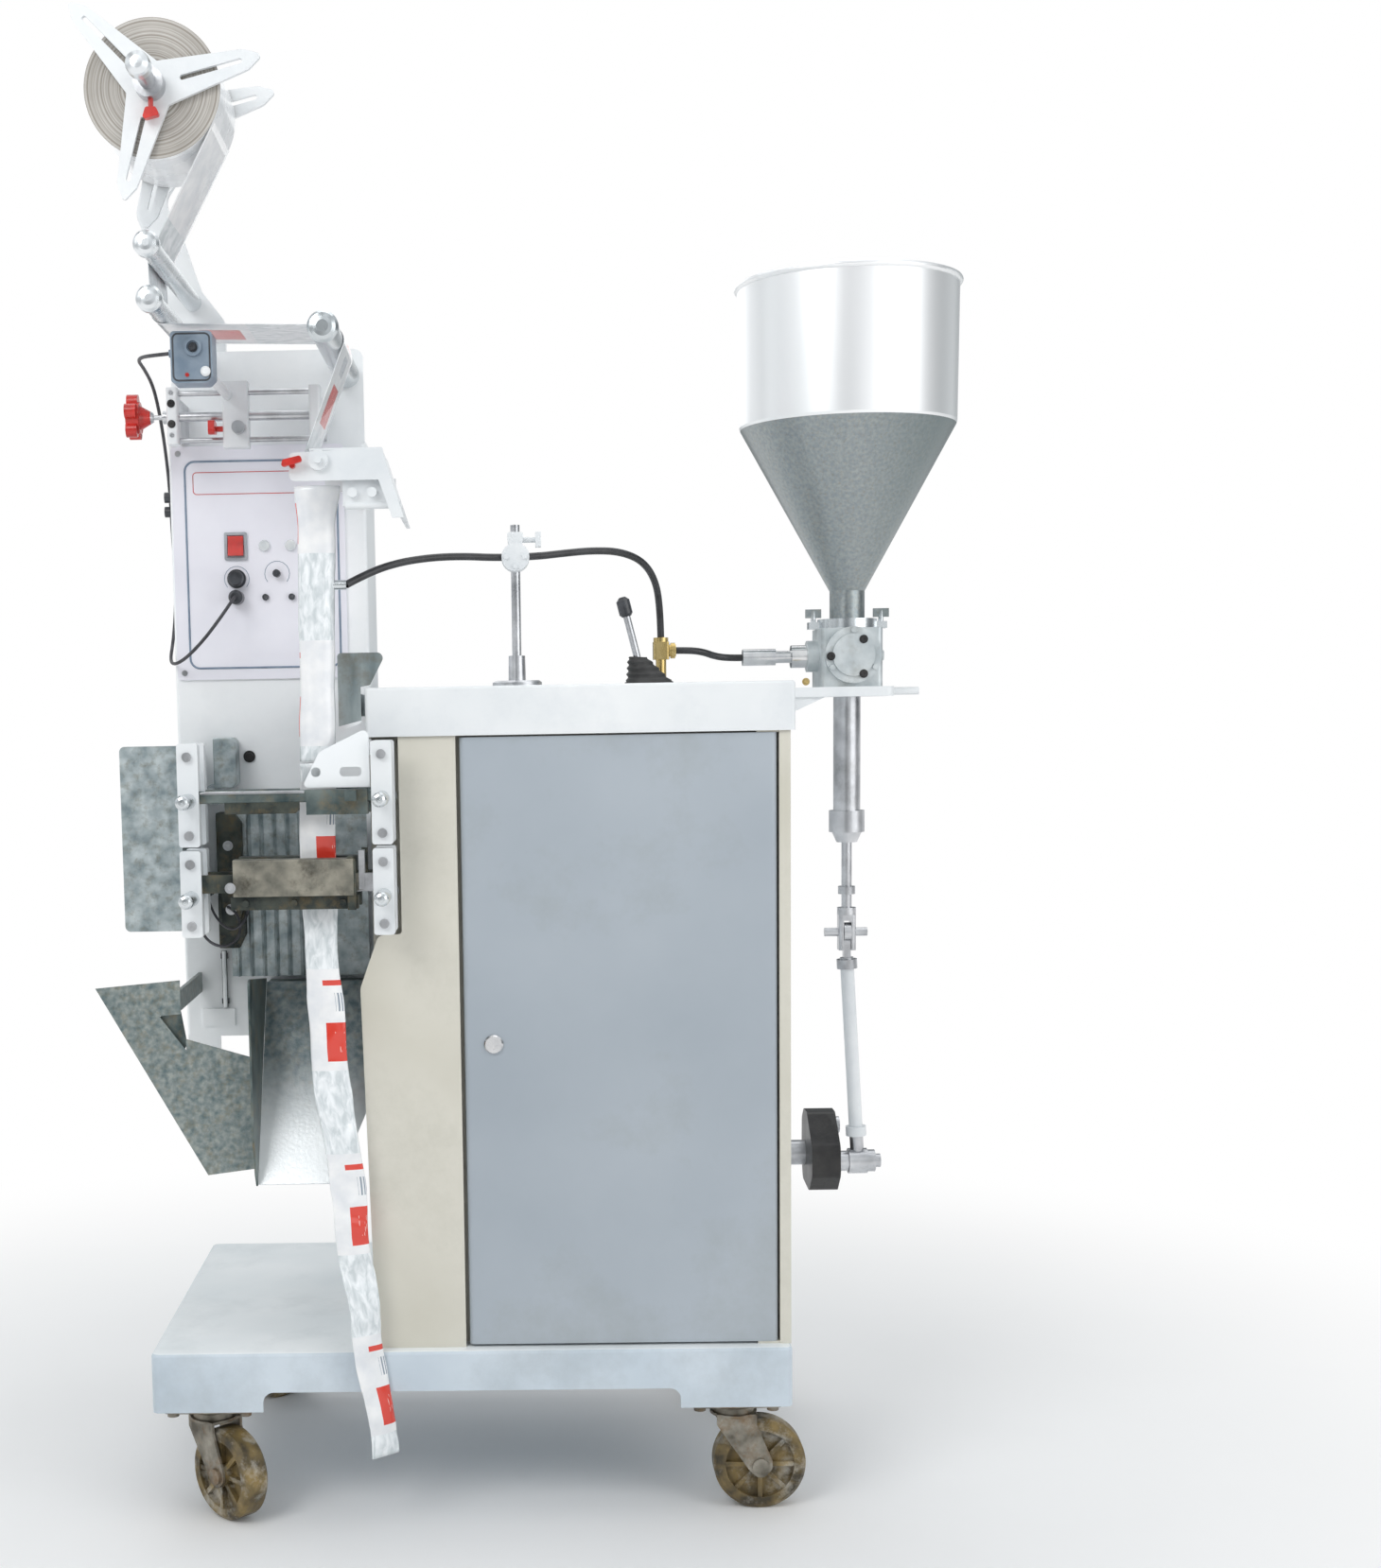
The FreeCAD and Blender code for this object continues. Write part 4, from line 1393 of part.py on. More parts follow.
def hose_stand():
    """Disc foot, socket and rod on the cover, with the split clamp that holds the hose."""
    x, y = STAND_X, STAND_Y
    z = COVER_TOP
    foot = turned([(0, 0), (0, STAND_BASE_RADIUS), (STAND_BASE - 2, STAND_BASE_RADIUS),
                   (STAND_BASE, STAND_BASE_RADIUS - 3), (STAND_BASE, STAND_SOCKET_RADIUS),
                   (STAND_BASE + STAND_SOCKET, STAND_SOCKET_RADIUS - 0.5),
                   (STAND_BASE + STAND_SOCKET, 0)], (x, y, z), (0, 0, 1), (1, 0, 0))
    staff = rod((x, y, z + STAND_BASE), (0, 0, 1), STAND_ROD, STAND_TOP - z - STAND_BASE + 24)
    jaw = rod((x, y - CLAMP_DEPTH + 4, CLAMP_Z), (0, 1, 0), CLAMP_RADIUS, CLAMP_DEPTH)
    cheek = plate_xz([(x - 7, CLAMP_Z + 8), (x + 7, CLAMP_Z + 8), (x + 9, CLAMP_Z + 28),
                      (x - 9, CLAMP_Z + 28)], y - 9, y + 7, 3.0)
    grip = rod((x + 5, y + 2, CLAMP_Z + 20), (1, 0, 0), 3.0, 21)
    wing = box(x + 22, x + 28, y - 6, y + 8, CLAMP_Z + 12, CLAMP_Z + 28)
    screws = [rod((x + dx * 10, y - CLAMP_DEPTH + 1, CLAMP_Z + dz * 10), (0, 1, 0), 2.6, 4)
              for dx, dz in ((-1, 0), (1, 0), (0, -1))]
    body = union(foot, staff, jaw, cheek, grip, wing, *screws)
    start, end = V(*HOSE_IN), V(*HOSE_OUT)
    run = (end - start).normalize()
    bore = Part.makeCylinder(HOSE_RADIUS + CLAMP_BORE, 90, start - run * 20, run)
    return body.cut(bore)


BRASS_X = 228.0
BRASS_SIDE = 17.0
BRASS_Y = -22.0
BRASS_Z = 953.0


def hose_elbow():
    """Brass cross fitting that joins the two hoses above the cover."""
    x, y, z = BRASS_X, BRASS_Y, BRASS_Z
    post = rod((x, y, COVER_TOP), (0, 0, 1), 6.0, z - COVER_TOP + 14)
    nut = rod((x, y, COVER_TOP), (0, 0, 1), 12.0, 6)
    body = box(x - 9, x + 9, y - 9, y + 9, z - 10, z + 10)
    body = rounded_edges(body, 2.5, upright)
    side = rod((x, y, z), (1, 0, 0), 7.0, BRASS_SIDE)
    ring = rod((x + 11, y, z), (1, 0, 0), 9.0, 5)
    collar = rod((x, y, z + 8), (0, 0, 1), 8.5, 7)
    return union(post, nut, body, side, ring, collar)


FILL_ROUTE = [
    (BRASS_X, BRASS_Y, BRASS_Z + 14), (227, -28, 1000), (221, -48, 1031), (205, -72, 1052),
    (178, -96, 1061), (146, -116, 1061), (114, -136, 1057), HOSE_IN, HOSE_OUT,
    (6, -174, 1053), (-28, -192, 1051), (-62, -210, 1045), (-92, -228, 1034),
    (TUBE_X + 26, FILM_Y, STUB_Z)]


def fill_hose():
    return tube_path(FILL_ROUTE, HOSE_RADIUS).cut([hose_elbow(), fill_tube()])


CONNECTOR_END = CABINET_RIGHT - 26.0
FEED_START = (BRASS_X + BRASS_SIDE, BRASS_Y, BRASS_Z)
FEED_STEPS = ((0.0, 0.0), (0.215, 0.0), (0.417, 0.258), (0.583, 0.742), (0.785, 1.0), (1.0, 1.0))
FEED_ROUTE = [(FEED_START[0] + (CONNECTOR_END - FEED_START[0]) * along,
               FEED_START[1] + (PUMP_Y - FEED_START[1]) * across,
               FEED_START[2] + (OUTLET_Z - FEED_START[2]) * across) for along, across in FEED_STEPS]


def feed_hose():
    return tube_path(FEED_ROUTE, HOSE_RADIUS).cut([hose_elbow(), valve_body()])


def clutch_lever():
    """Lever through the cover, leaning, with its grip knob and pivot boss under the cover."""
    foot = COVER_UNDER - 20
    shaft = rod((LEVER_X, LEVER_Y, foot), (0, 0, 1), LEVER_ROD, COVER_TOP + LEVER_LENGTH - foot)
    top = COVER_TOP + LEVER_LENGTH
    knob = turned([(0, 0), (0, LEVER_ROD + 1), (3, LEVER_KNOB), (LEVER_KNOB_LENGTH - 4, LEVER_KNOB),
                   (LEVER_KNOB_LENGTH, LEVER_KNOB - 4), (LEVER_KNOB_LENGTH, 0)],
                  (LEVER_X, LEVER_Y, top), (0, 0, 1), (1, 0, 0))
    boss = rod((LEVER_X, LEVER_Y - 9, foot), (0, 1, 0), 10.0, 18)
    lever = union(shaft, knob, boss)
    bore = rod((LEVER_X, LEVER_Y - 12, foot), (0, 1, 0), 5.0 + RUNNING_FIT, 24)
    return turn(lever.cut(bore), (LEVER_X, LEVER_Y, foot), (0, 1, 0), -LEVER_LEAN)


def lever_bracket():
    """Fork under the cover that carries the lever's pivot pin."""
    foot = COVER_UNDER - 20
    cheeks = [box(LEVER_X - 14, LEVER_X + 14, y, y + 4, foot - 12, COVER_UNDER)
              for y in (LEVER_Y - 9 - 4 - TOUCH_GAP, LEVER_Y + 9 + TOUCH_GAP)]
    pin = rod((LEVER_X, LEVER_Y - 9 - 4 - TOUCH_GAP, foot), (0, 1, 0), 5.0, 26 + 2 * TOUCH_GAP)
    return union(*cheeks, pin)


def lever_boot():
    """Bellows boot round the lever's slot, open at the middle."""
    lean = math.tan(math.radians(LEVER_LEAN)) * (BOOT_HEIGHT + 20)
    sections = []
    steps = 4
    for i in range(steps + 1):
        part = i / steps
        radius = BOOT_RADIUS + (BOOT_TOP - BOOT_RADIUS) * part
        z = COVER_TOP + 3 + (BOOT_HEIGHT - 3) * part
        sections.append((LEVER_X - lean * part, radius, z))
    rings = [rod((LEVER_X, LEVER_Y, COVER_TOP), (0, 0, 1), BOOT_RADIUS + 2, 3)]
    hollow = [rod((LEVER_X, LEVER_Y, COVER_TOP - 1), (0, 0, 1), BOOT_RADIUS - 4, 5)]
    for (x0, r0, z0), (x1, r1, z1) in zip(sections, sections[1:]):
        wires = [Part.Wire(Part.makeCircle(r, V(x, LEVER_Y, z), V(0, 0, 1)))
                 for x, r, z in ((x0, r0, z0), (x1, r1, z1))]
        rings.append(Part.makeLoft(wires, True, True))
        wires = [Part.Wire(Part.makeCircle(r - 3.5, V(x, LEVER_Y, z), V(0, 0, 1)))
                 for x, r, z in ((x0, r0, z0 - 0.01), (x1, r1, z1 + 0.01))]
        hollow.append(Part.makeLoft(wires, True, True))
    return union(*rings).cut(hollow)


def hopper():
    """Sheet bowl with a beaded rim, and the neck it stands on with its flange and clamp screws."""
    t = HOPPER_SHEET
    r, n = HOPPER_RADIUS, HOPPER_NECK_RADIUS
    sheet = [(HOPPER_NECK_TOP, n), (HOPPER_SEAM, r - 3), (HOPPER_SEAM + 3, r - 2), (HOPPER_RIM, r),
             (HOPPER_RIM, r - t), (HOPPER_SEAM + 3, r - 2 - t), (HOPPER_SEAM, r - 3 - t),
             (HOPPER_NECK_TOP, n - t)]
    bowl = turned([(a - HOPPER_NECK_TOP, b) for a, b in sheet],
                  (PUMP_X, PUMP_Y, HOPPER_NECK_TOP), (0, 0, 1), (1, 0, 0))
    collar = [(HOPPER_FLANGE_TOP - 11, n - t), (HOPPER_FLANGE_TOP - 11, HOPPER_FLANGE_RADIUS),
              (HOPPER_FLANGE_TOP, HOPPER_FLANGE_RADIUS), (HOPPER_FLANGE_TOP, n),
              (HOPPER_NECK_TOP, n), (HOPPER_NECK_TOP, n - t)]
    neck = turned([(a - HOPPER_FLANGE_TOP, b) for a, b in collar],
                  (PUMP_X, PUMP_Y, HOPPER_FLANGE_TOP), (0, 0, 1), (1, 0, 0))
    bead = Part.makeTorus(r, HOPPER_BEAD, V(PUMP_X, PUMP_Y, HOPPER_RIM), V(0, 0, 1))
    bead = bead.cut(rod((PUMP_X, PUMP_Y, HOPPER_RIM - 9), (0, 0, 1), r - t, 18))
    parts = [neck]
    for side in (-1, 1):
        x = PUMP_X + side * (HOPPER_FLANGE_RADIUS + 5)
        xs = sorted((PUMP_X + side * (HOPPER_FLANGE_RADIUS - 6), x + side * 6))
        parts.append(box(xs[0], xs[1], -8, 8, HOPPER_FLANGE_TOP - 11, HOPPER_FLANGE_TOP - 3))
        parts.append(rod((x, PUMP_Y, HOPPER_FLANGE_TOP - 4), (0, 0, 1), 3.0, 14))
        parts.append(box(x - 9, x + 9, -2, 2, HOPPER_FLANGE_TOP + 2, HOPPER_FLANGE_TOP + 12))
    return union(bowl, bead), union(*parts)


def valve_body():
    """Valve block with its round front cover, the outlet pipe and the hose connector."""
    half_w, half_d = VALVE_WIDTH / 2, VALVE_DEPTH / 2
    block = box(PUMP_X - half_w, PUMP_X + half_w, -half_d, half_d, BRACKET_TOP, VALVE_TOP)
    block = rounded_edges(block, 6.0, upright)
    cover = rod((PUMP_X, -half_d - VALVE_COVER, OUTLET_Z), (0, 1, 0), VALVE_COVER_RADIUS,
                VALVE_COVER + 2)
    cover = cover.fuse(rod((PUMP_X, -half_d - VALVE_COVER - 3, OUTLET_Z), (0, 1, 0),
                           VALVE_COVER_RADIUS - 8, 4))
    screws = []
    for angle in (90, 210, 330):
        c, s = math.cos(math.radians(angle)), math.sin(math.radians(angle))
        screws.append(rod((PUMP_X + 28 * c, -half_d - VALVE_COVER - 3, OUTLET_Z + 28 * s),
                          (0, 1, 0), 3.0, 4))
    left = PUMP_X - half_w
    parts = [block, cover] + screws
    parts.append(rod((left + 1, PUMP_Y, OUTLET_Z), (-1, 0, 0), 18.0, 13))
    parts.append(rod((left - 10, PUMP_Y, OUTLET_Z), (-1, 0, 0), OUTLET_NUT_RADIUS, OUTLET_NUT))
    parts.append(rod((left - 20, PUMP_Y, OUTLET_Z), (-1, 0, 0), OUTLET_PIPE_RADIUS,
                     left - 20 - CONNECTOR_END - 2))
    parts.append(rod((CONNECTOR_END + CONNECTOR_LENGTH, PUMP_Y, OUTLET_Z), (-1, 0, 0),
                     CONNECTOR_RADIUS, CONNECTOR_LENGTH))
    parts.append(rod((PUMP_X + half_w - 1, PUMP_Y, OUTLET_Z), (1, 0, 0), 6.0, 8))
    bore = rod((PUMP_X, PUMP_Y, BRACKET_TOP - 1), (0, 0, 1), VALVE_BORE, VALVE_TOP - BRACKET_TOP + 2)
    return union(*parts).cut(bore)


def pump_bracket():
    """Bracket plate on the cover's side with its gusset and the tongue past the pump."""
    x0 = CABINET_RIGHT + COVER_SIDE
    x1 = PUMP_X + BRACKET_REACH
    half = BRACKET_DEPTH / 2
    under = BRACKET_TOP - BRACKET_THICKNESS
    plate = plate_xy(rectangle(x0, x1, -half, half), under, BRACKET_TOP, [0, 10, 10, 0])
    flange = box(x0, x0 + 5, -half, half, COVER_BOTTOM + 2, COVER_TOP - 2)
    gussets = [plate_xz([(x0, under - 26), (x0, under + 1), (x0 + 60, under + 1)], y, y + 6)
               for y in (-half + 4, half - 10)]
    tongue = rod((x1 - 12, PUMP_Y, under + BRACKET_THICKNESS / 2), (1, 0, 0), TONGUE_RADIUS,
                 TONGUE_LENGTH + 12)
    hole = rod((PUMP_X, PUMP_Y, under - 1), (0, 0, 1), CYLINDER_RADIUS, BRACKET_THICKNESS + 2)
    return union(plate, flange, *gussets, tongue).cut(hole)


def pump_cylinder():
    """Cylinder hung through the bracket, closed below by its gland nut."""
    bore = CYLINDER_RADIUS - CYLINDER_WALL
    rod_bore = PISTON_ROD_RADIUS + RUNNING_FIT
    base = GLAND_BOTTOM - GLAND_TAPER
    profile = [(0, rod_bore), (0, 12), (GLAND_TAPER, GLAND_RADIUS - 3), (GLAND_TAPER, GLAND_RADIUS),
               (CYLINDER_BOTTOM - base, GLAND_RADIUS), (CYLINDER_BOTTOM - base, CYLINDER_RADIUS),
               (BRACKET_TOP - base - TOUCH_GAP, CYLINDER_RADIUS), (BRACKET_TOP - base - TOUCH_GAP, bore),
               (CYLINDER_BOTTOM - base, bore), (CYLINDER_BOTTOM - base, rod_bore)]
    return turned(profile, (PUMP_X, PUMP_Y, base), (0, 0, 1), (1, 0, 0))


CLEVIS_TOP = CLEVIS_PIN_Z + CLEVIS_HEIGHT / 2
PIN_SAG = STROKE_RADIUS * (1 - math.cos(math.radians(STROKE_ANGLE))) / 2
CRANK_Y = PUMP_Y + STROKE_RADIUS - PIN_SAG
PIN_Y = PUMP_Y - PIN_SAG
PIN_PLAY = PIN_SAG + 0.45


def piston_rod():
    """Piston, its rod, the lock nuts and the clevis with its cross pin."""
    top = CYLINDER_BOTTOM + 62
    head = rod((PUMP_X, PUMP_Y, top), (0, 0, 1), CYLINDER_RADIUS - CYLINDER_WALL - 0.1, PISTON_HEAD)
    stem = rod((PUMP_X, PUMP_Y, CLEVIS_TOP - 2), (0, 0, 1), PISTON_ROD_RADIUS, top - CLEVIS_TOP + 3)
    nuts = [rod((PUMP_X, PUMP_Y, CLEVIS_TOP), (0, 0, 1), 11.0, 8),
            rod((PUMP_X, PUMP_Y, CLEVIS_TOP + 24), (0, 0, 1), 10.0, 9)]
    half = CLEVIS_WIDTH / 2
    fork = box(PUMP_X - half, PUMP_X + half, PUMP_Y - half, PUMP_Y + half,
               CLEVIS_PIN_Z - CLEVIS_HEIGHT / 2, CLEVIS_TOP)
    fork = rounded_edges(fork, 4.0, upright)
    slot = box(PUMP_X - CLEVIS_SLOT / 2, PUMP_X + CLEVIS_SLOT / 2, PUMP_Y - half - 1,
               PUMP_Y + half + 1, CLEVIS_PIN_Z - CLEVIS_HEIGHT / 2 - 1, CLEVIS_PIN_Z + 14)
    pin = rod((PUMP_X - PIN_LEFT, PUMP_Y, CLEVIS_PIN_Z), (1, 0, 0), PIN_RADIUS, PIN_LEFT + PIN_RIGHT)
    return union(head, stem, *nuts, fork.cut(slot), pin)


def con_rod():
    """Connecting rod: an eye round the clevis pin, a leaning tube and the foot round the crank pin."""
    eye_half = CLEVIS_SLOT / 2 - 0.5
    foot_x = PUMP_X + CON_ROD_OFFSET
    eye = rod((PUMP_X - eye_half, PIN_Y, CLEVIS_PIN_Z), (1, 0, 0), 11.5, 2 * eye_half)
    neck = box(PUMP_X - eye_half, PUMP_X + eye_half, PIN_Y - 6, PIN_Y + 6, CLEVIS_PIN_Z - 36,
               CLEVIS_PIN_Z - 8)
    foot = rod((foot_x - 11, PIN_Y, CRANK_Z), (1, 0, 0), 15.0, 22)
    start = V(PUMP_X, PIN_Y, CLEVIS_PIN_Z - 30)
    end = V(foot_x, PIN_Y, CRANK_Z + 8)
    body = Part.makeCylinder(CON_ROD_RADIUS, (end - start).Length, start, end - start)
    nut_length = 11.0
    along = (end - start).normalize()
    nuts = [Part.makeCylinder(12.0, nut_length, start + along * d, along)
            for d in (2, (end - start).Length - 34)]
    rod_shape = union(eye, neck, foot, body, *nuts)
    bores = [rod((PUMP_X - 20, PIN_Y, CLEVIS_PIN_Z), (1, 0, 0), PIN_RADIUS + PIN_PLAY, 40),
             rod((foot_x - 12, PIN_Y, CRANK_Z), (1, 0, 0), 8.0 + RUNNING_FIT, 24)]
    return rod_shape.cut(bores)


def rocker_arm():
    """Rocker arm: the shaft out of the cabinet, the black block and the pin for the rod."""
    y, z = CRANK_Y, CRANK_Z
    outline_points = [(PIN_Y - 18, z - 14), (PIN_Y + 8, z - 38), (y + 12, z - 34), (y + 22, z - 8),
                      (y + 20, z + 40), (y + 4, z + 54), (y - 22, z + 54), (PIN_Y - 16, z + 20)]
    block = plate_yz(outline_points, CRANK_LEFT, CRANK_RIGHT, 12.0)
    start = CABINET_RIGHT - 24
    shaft = rod((start, y, z), (1, 0, 0), CRANK_SHAFT_RADIUS, CRANK_LEFT - start + 2)
    collar = rod((CABINET_RIGHT + 12 + TOUCH_GAP, y, z), (1, 0, 0), CRANK_SHAFT_RADIUS + 6,
                 CRANK_LEFT - CABINET_RIGHT - 12)
    boss = rod((CRANK_RIGHT - 2, y - 12, z + 36), (1, 0, 0), 10.0, 8)
    pin = rod((CRANK_RIGHT - 2, PIN_Y, z), (1, 0, 0), 8.0, CRANK_PIN_END - CRANK_RIGHT)
    foot_x = PUMP_X + CON_ROD_OFFSET
    shoulder = rod((CRANK_RIGHT - 1, PIN_Y, z), (1, 0, 0), 12.0, foot_x - 11 - TOUCH_GAP - CRANK_RIGHT + 1)
    nut = rod((foot_x + 11 + TOUCH_GAP, PIN_Y, z), (1, 0, 0), 13.0, 9)
    return union(block, shaft, collar, boss, pin, shoulder, nut)


def shaft_housing():
    """Flanged bearing on the cabinet's side for the rocker shaft."""
    flange = rod((CABINET_RIGHT, CRANK_Y, CRANK_Z), (1, 0, 0), 34.0, 5)
    barrel = rod((CABINET_RIGHT - 18, CRANK_Y, CRANK_Z), (1, 0, 0), CRANK_SHAFT_RADIUS + 3.7, 30)
    screws = [rod((CABINET_RIGHT + 4, CRANK_Y + 26 * a, CRANK_Z + 26 * b), (1, 0, 0), 4.0, 5)
              for a, b in ((1, 0), (-1, 0), (0, 1), (0, -1))]
    bore = rod((CABINET_RIGHT - 20, CRANK_Y, CRANK_Z), (1, 0, 0), CRANK_SHAFT_RADIUS + RUNNING_FIT, 40)
    return union(flange, barrel, *screws).cut(bore)


FLOOR_TOP = BASE_TOP + CABINET_SHEET
GEAR_LEFT = PULLEY_X + PULLEY_WIDTH + 8


def gear_motor():
    """Motor with cooling fins, gear case, foot and the stub that carries the small pulley."""
    x0 = GEAR_LEFT
    case = box(x0, x0 + 60, MOTOR_Y - 50, MOTOR_Y + 50, MOTOR_Z - 58, MOTOR_Z + 50)
    case = rounded_edges(case, 8.0, lambda e: abs(e.Length - 60) < 0.01)
    drum = rod((x0 + 58, MOTOR_Y, MOTOR_Z), (1, 0, 0), MOTOR_RADIUS - 8, MOTOR_LENGTH - 58)
    fins = [rod((x0 + 68 + 11 * i, MOTOR_Y, MOTOR_Z), (1, 0, 0), MOTOR_RADIUS, 5) for i in range(7)]
    foot = box(x0 + 5, x0 + MOTOR_LENGTH - 12, MOTOR_Y - 60, MOTOR_Y + 60, FLOOR_TOP, FLOOR_TOP + 8)
    pillar = box(x0 + 5, x0 + MOTOR_LENGTH - 20, MOTOR_Y - 34, MOTOR_Y + 34, FLOOR_TOP + 7,
                 MOTOR_Z - 40)
    terminal = box(x0 + 75, x0 + 120, MOTOR_Y - 22, MOTOR_Y + 22, MOTOR_Z + 40, MOTOR_Z + 82)
    stub = rod((PULLEY_X - PULLEY_WIDTH / 2 - 6, MOTOR_Y, MOTOR_Z), (1, 0, 0), 9.0,
               x0 - PULLEY_X + PULLEY_WIDTH / 2 + 8)
    return union(case, drum, *fins, foot, pillar, terminal, stub)


def grooved(radius, bore, x, y, z):
    half = PULLEY_WIDTH / 2
    return turned([(-half, bore), (-half, radius + 6), (-half + 3, radius + 6), (-half + 7, radius - 5),
                   (half - 7, radius - 5), (half - 3, radius + 6), (half, radius + 6), (half, bore)],
                  (x, y, z), (1, 0, 0), (0, 0, 1))


def motor_pulley():
    hub = tube((PULLEY_X + PULLEY_WIDTH / 2 - 1, MOTOR_Y, MOTOR_Z), (1, 0, 0), 16.0,
               9.0 + RUNNING_FIT, 8)
    return union(grooved(SMALL_PULLEY, 9.0 + RUNNING_FIT, PULLEY_X, MOTOR_Y, MOTOR_Z), hub)


def v_belt():
    """Closed belt round both pulleys."""
    seat = TOUCH_GAP + BELT_THICKNESS / 2 - 5
    circles = [(MOTOR_Y, MOTOR_Z, SMALL_PULLEY + seat, 1),
               (CAM_SHAFT_Y, CAM_SHAFT_Z, LARGE_PULLEY + seat, 1)]
    x = PULLEY_X - 3
    place = lambda a, b: V(x, a, b)
    outer = Part.Wire(Part.__sortEdges__(path_edges(circles, -BELT_THICKNESS / 2, x, True, place)))
    inner = Part.Wire(Part.__sortEdges__(path_edges(circles, BELT_THICKNESS / 2, x, True, place)))
    solid = Part.Face(outer).extrude(V(6, 0, 0))
    return solid.cut(Part.Face(inner).extrude(V(6, 0, 0)))


def cam_shaft():
    """Cam shaft with its large pulley and three cams."""
    y, z = CAM_SHAFT_Y, CAM_SHAFT_Z
    shaft = rod((CAM_SHAFT_LEFT, y, z), (1, 0, 0), CAM_SHAFT_RADIUS, CAM_SHAFT_RIGHT - CAM_SHAFT_LEFT)
    wheel = grooved(LARGE_PULLEY, CAM_SHAFT_RADIUS - 1, PULLEY_X, y, z)
    holes = []
    for i in range(5):
        hole = rod((PULLEY_X - 20, y, z + LARGE_PULLEY * 0.58), (1, 0, 0), 24.0, 40)
        holes.append(turn(hole, (0, y, z), (1, 0, 0), 72 * i))
    wheel = wheel.cut(holes)
    hub = rod((PULLEY_X - 18, y, z), (1, 0, 0), 26.0, 36)
    cams = []
    for i, x in enumerate(CAM_X):
        disc = rod((x, y, z), (1, 0, 0), CAM_RADIUS, CAM_WIDTH)
        lobe = rod((x, y, z + CAM_LIFT), (1, 0, 0), CAM_RADIUS - 4, CAM_WIDTH)
        cams.append(turn(disc.fuse(lobe), (x, y, z), (1, 0, 0), 110 * i))
    rings = [rod((x, y, z), (1, 0, 0), CAM_SHAFT_RADIUS + 7, 8)
             for x in (STAND_X_LEFT + STAND_WIDTH + TOUCH_GAP, STAND_X_RIGHT - 8 - TOUCH_GAP)]
    return union(shaft, wheel, hub, *cams, *rings)


STAND_WIDTH = 18.0
STAND_X_LEFT = CAM_SHAFT_LEFT + 4
STAND_X_RIGHT = CAM_SHAFT_RIGHT - STAND_WIDTH - 6


def shaft_bearings():
    """Two bearing brackets on the cabinet's back wall for the cam shaft."""
    wall = CABINET_BACK - CABINET_SHEET
    stands = []
    for x in (STAND_X_LEFT, STAND_X_RIGHT):
        ring = rod((x, CAM_SHAFT_Y, CAM_SHAFT_Z), (1, 0, 0), CAM_SHAFT_RADIUS + 16, STAND_WIDTH)
        arm = plate_yz([(CAM_SHAFT_Y, CAM_SHAFT_Z - 24), (wall, CAM_SHAFT_Z - 60),
                        (wall, CAM_SHAFT_Z + 34), (CAM_SHAFT_Y, CAM_SHAFT_Z + 24)], x, x + STAND_WIDTH)
        bore = rod((x - 1, CAM_SHAFT_Y, CAM_SHAFT_Z), (1, 0, 0), CAM_SHAFT_RADIUS + RUNNING_FIT,
                   STAND_WIDTH + 2)
        stands.append(ring.fuse(arm).removeSplitter().cut(bore))
    return stands


def build():
    os.makedirs("parts", exist_ok=True)
    save("base_platform", base_platform())
    save("caster_plates", *[caster_plate(x, y) for x, y, a in CASTERS.values()])
    for name, (x, y, angle) in CASTERS.items():
        save("caster_fork_" + name, caster_fork(x, y, angle))
        save("caster_wheel_" + name, caster_wheel(x, y, angle))
    save("cabinet_body", cabinet_body())
    save("cabinet_cover", union(cabinet_cover(), lever_bracket()))
    save("front_panel", front_panel())
    save("cabinet_door", cabinet_door())
    save("door_lock", door_lock())
    save("column_body", column_body())
    save("control_panel", control_panel())
    save("power_rocker", power_rocker())
    save("speed_knob", speed_knob())
    save("pot_knob", pot_knob())
    save("sensor_cable", sensor_cable())
    save("spindle_arm", spindle_arm())
    save("film_spindle", film_spindle())
    save("film_roll", film_roll())
    save("guide_roller_1", guide_roller(ROLLER_1, ROLLER_SMALL, ROLLER_CAP))
    save("guide_roller_2", guide_roller(ROLLER_2, ROLLER_SMALL, ROLLER_CAP))
    save("guide_roller_3", guide_roller(ROLLER_3, ROLLER_LARGE, 1.5))
    save("sensor_slide", sensor_slide())
    save("adjust_screw", adjust_screw())
    save("sensor_carriage", sensor_carriage())
    save("photo_sensor", photo_sensor())
    save("film_web", *film_web())
    save("film_former", film_former())
    save("fill_tube", fill_tube())
    save("film_guides", *film_guides())
    save("guide_rods", *guide_rods())
    save("seam_bar_front", seam_bar(-1))
    save("seam_bar_rear", seam_bar(1))
    save("jaw_front", seal_jaw(-1))
    save("jaw_rear", seal_jaw(1))
    save("jaw_guards", *jaw_guards())
    save("discharge_chute", discharge_chute())
    save("hose_stand", hose_stand())
    save("hose_elbow", hose_elbow())
    save("fill_hose", fill_hose())
    save("feed_hose", feed_hose())
    save("clutch_lever", clutch_lever())
    save("lever_boot", lever_boot())
    save("hopper", *hopper())
    save("valve_body", valve_body())
    save("pump_bracket", pump_bracket())
    save("pump_cylinder", pump_cylinder())
    save("piston_rod", piston_rod())
    save("con_rod", con_rod())
    save("rocker_arm", rocker_arm())
    save("gear_motor", gear_motor())
    save("motor_pulley", motor_pulley())
    save("v_belt", v_belt())
    save("cam_shaft", cam_shaft())
    save("shaft_bearings", shaft_housing(), *shaft_bearings())


build()
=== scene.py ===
import json
import math

import bpy
from mathutils import Matrix, Vector, noise


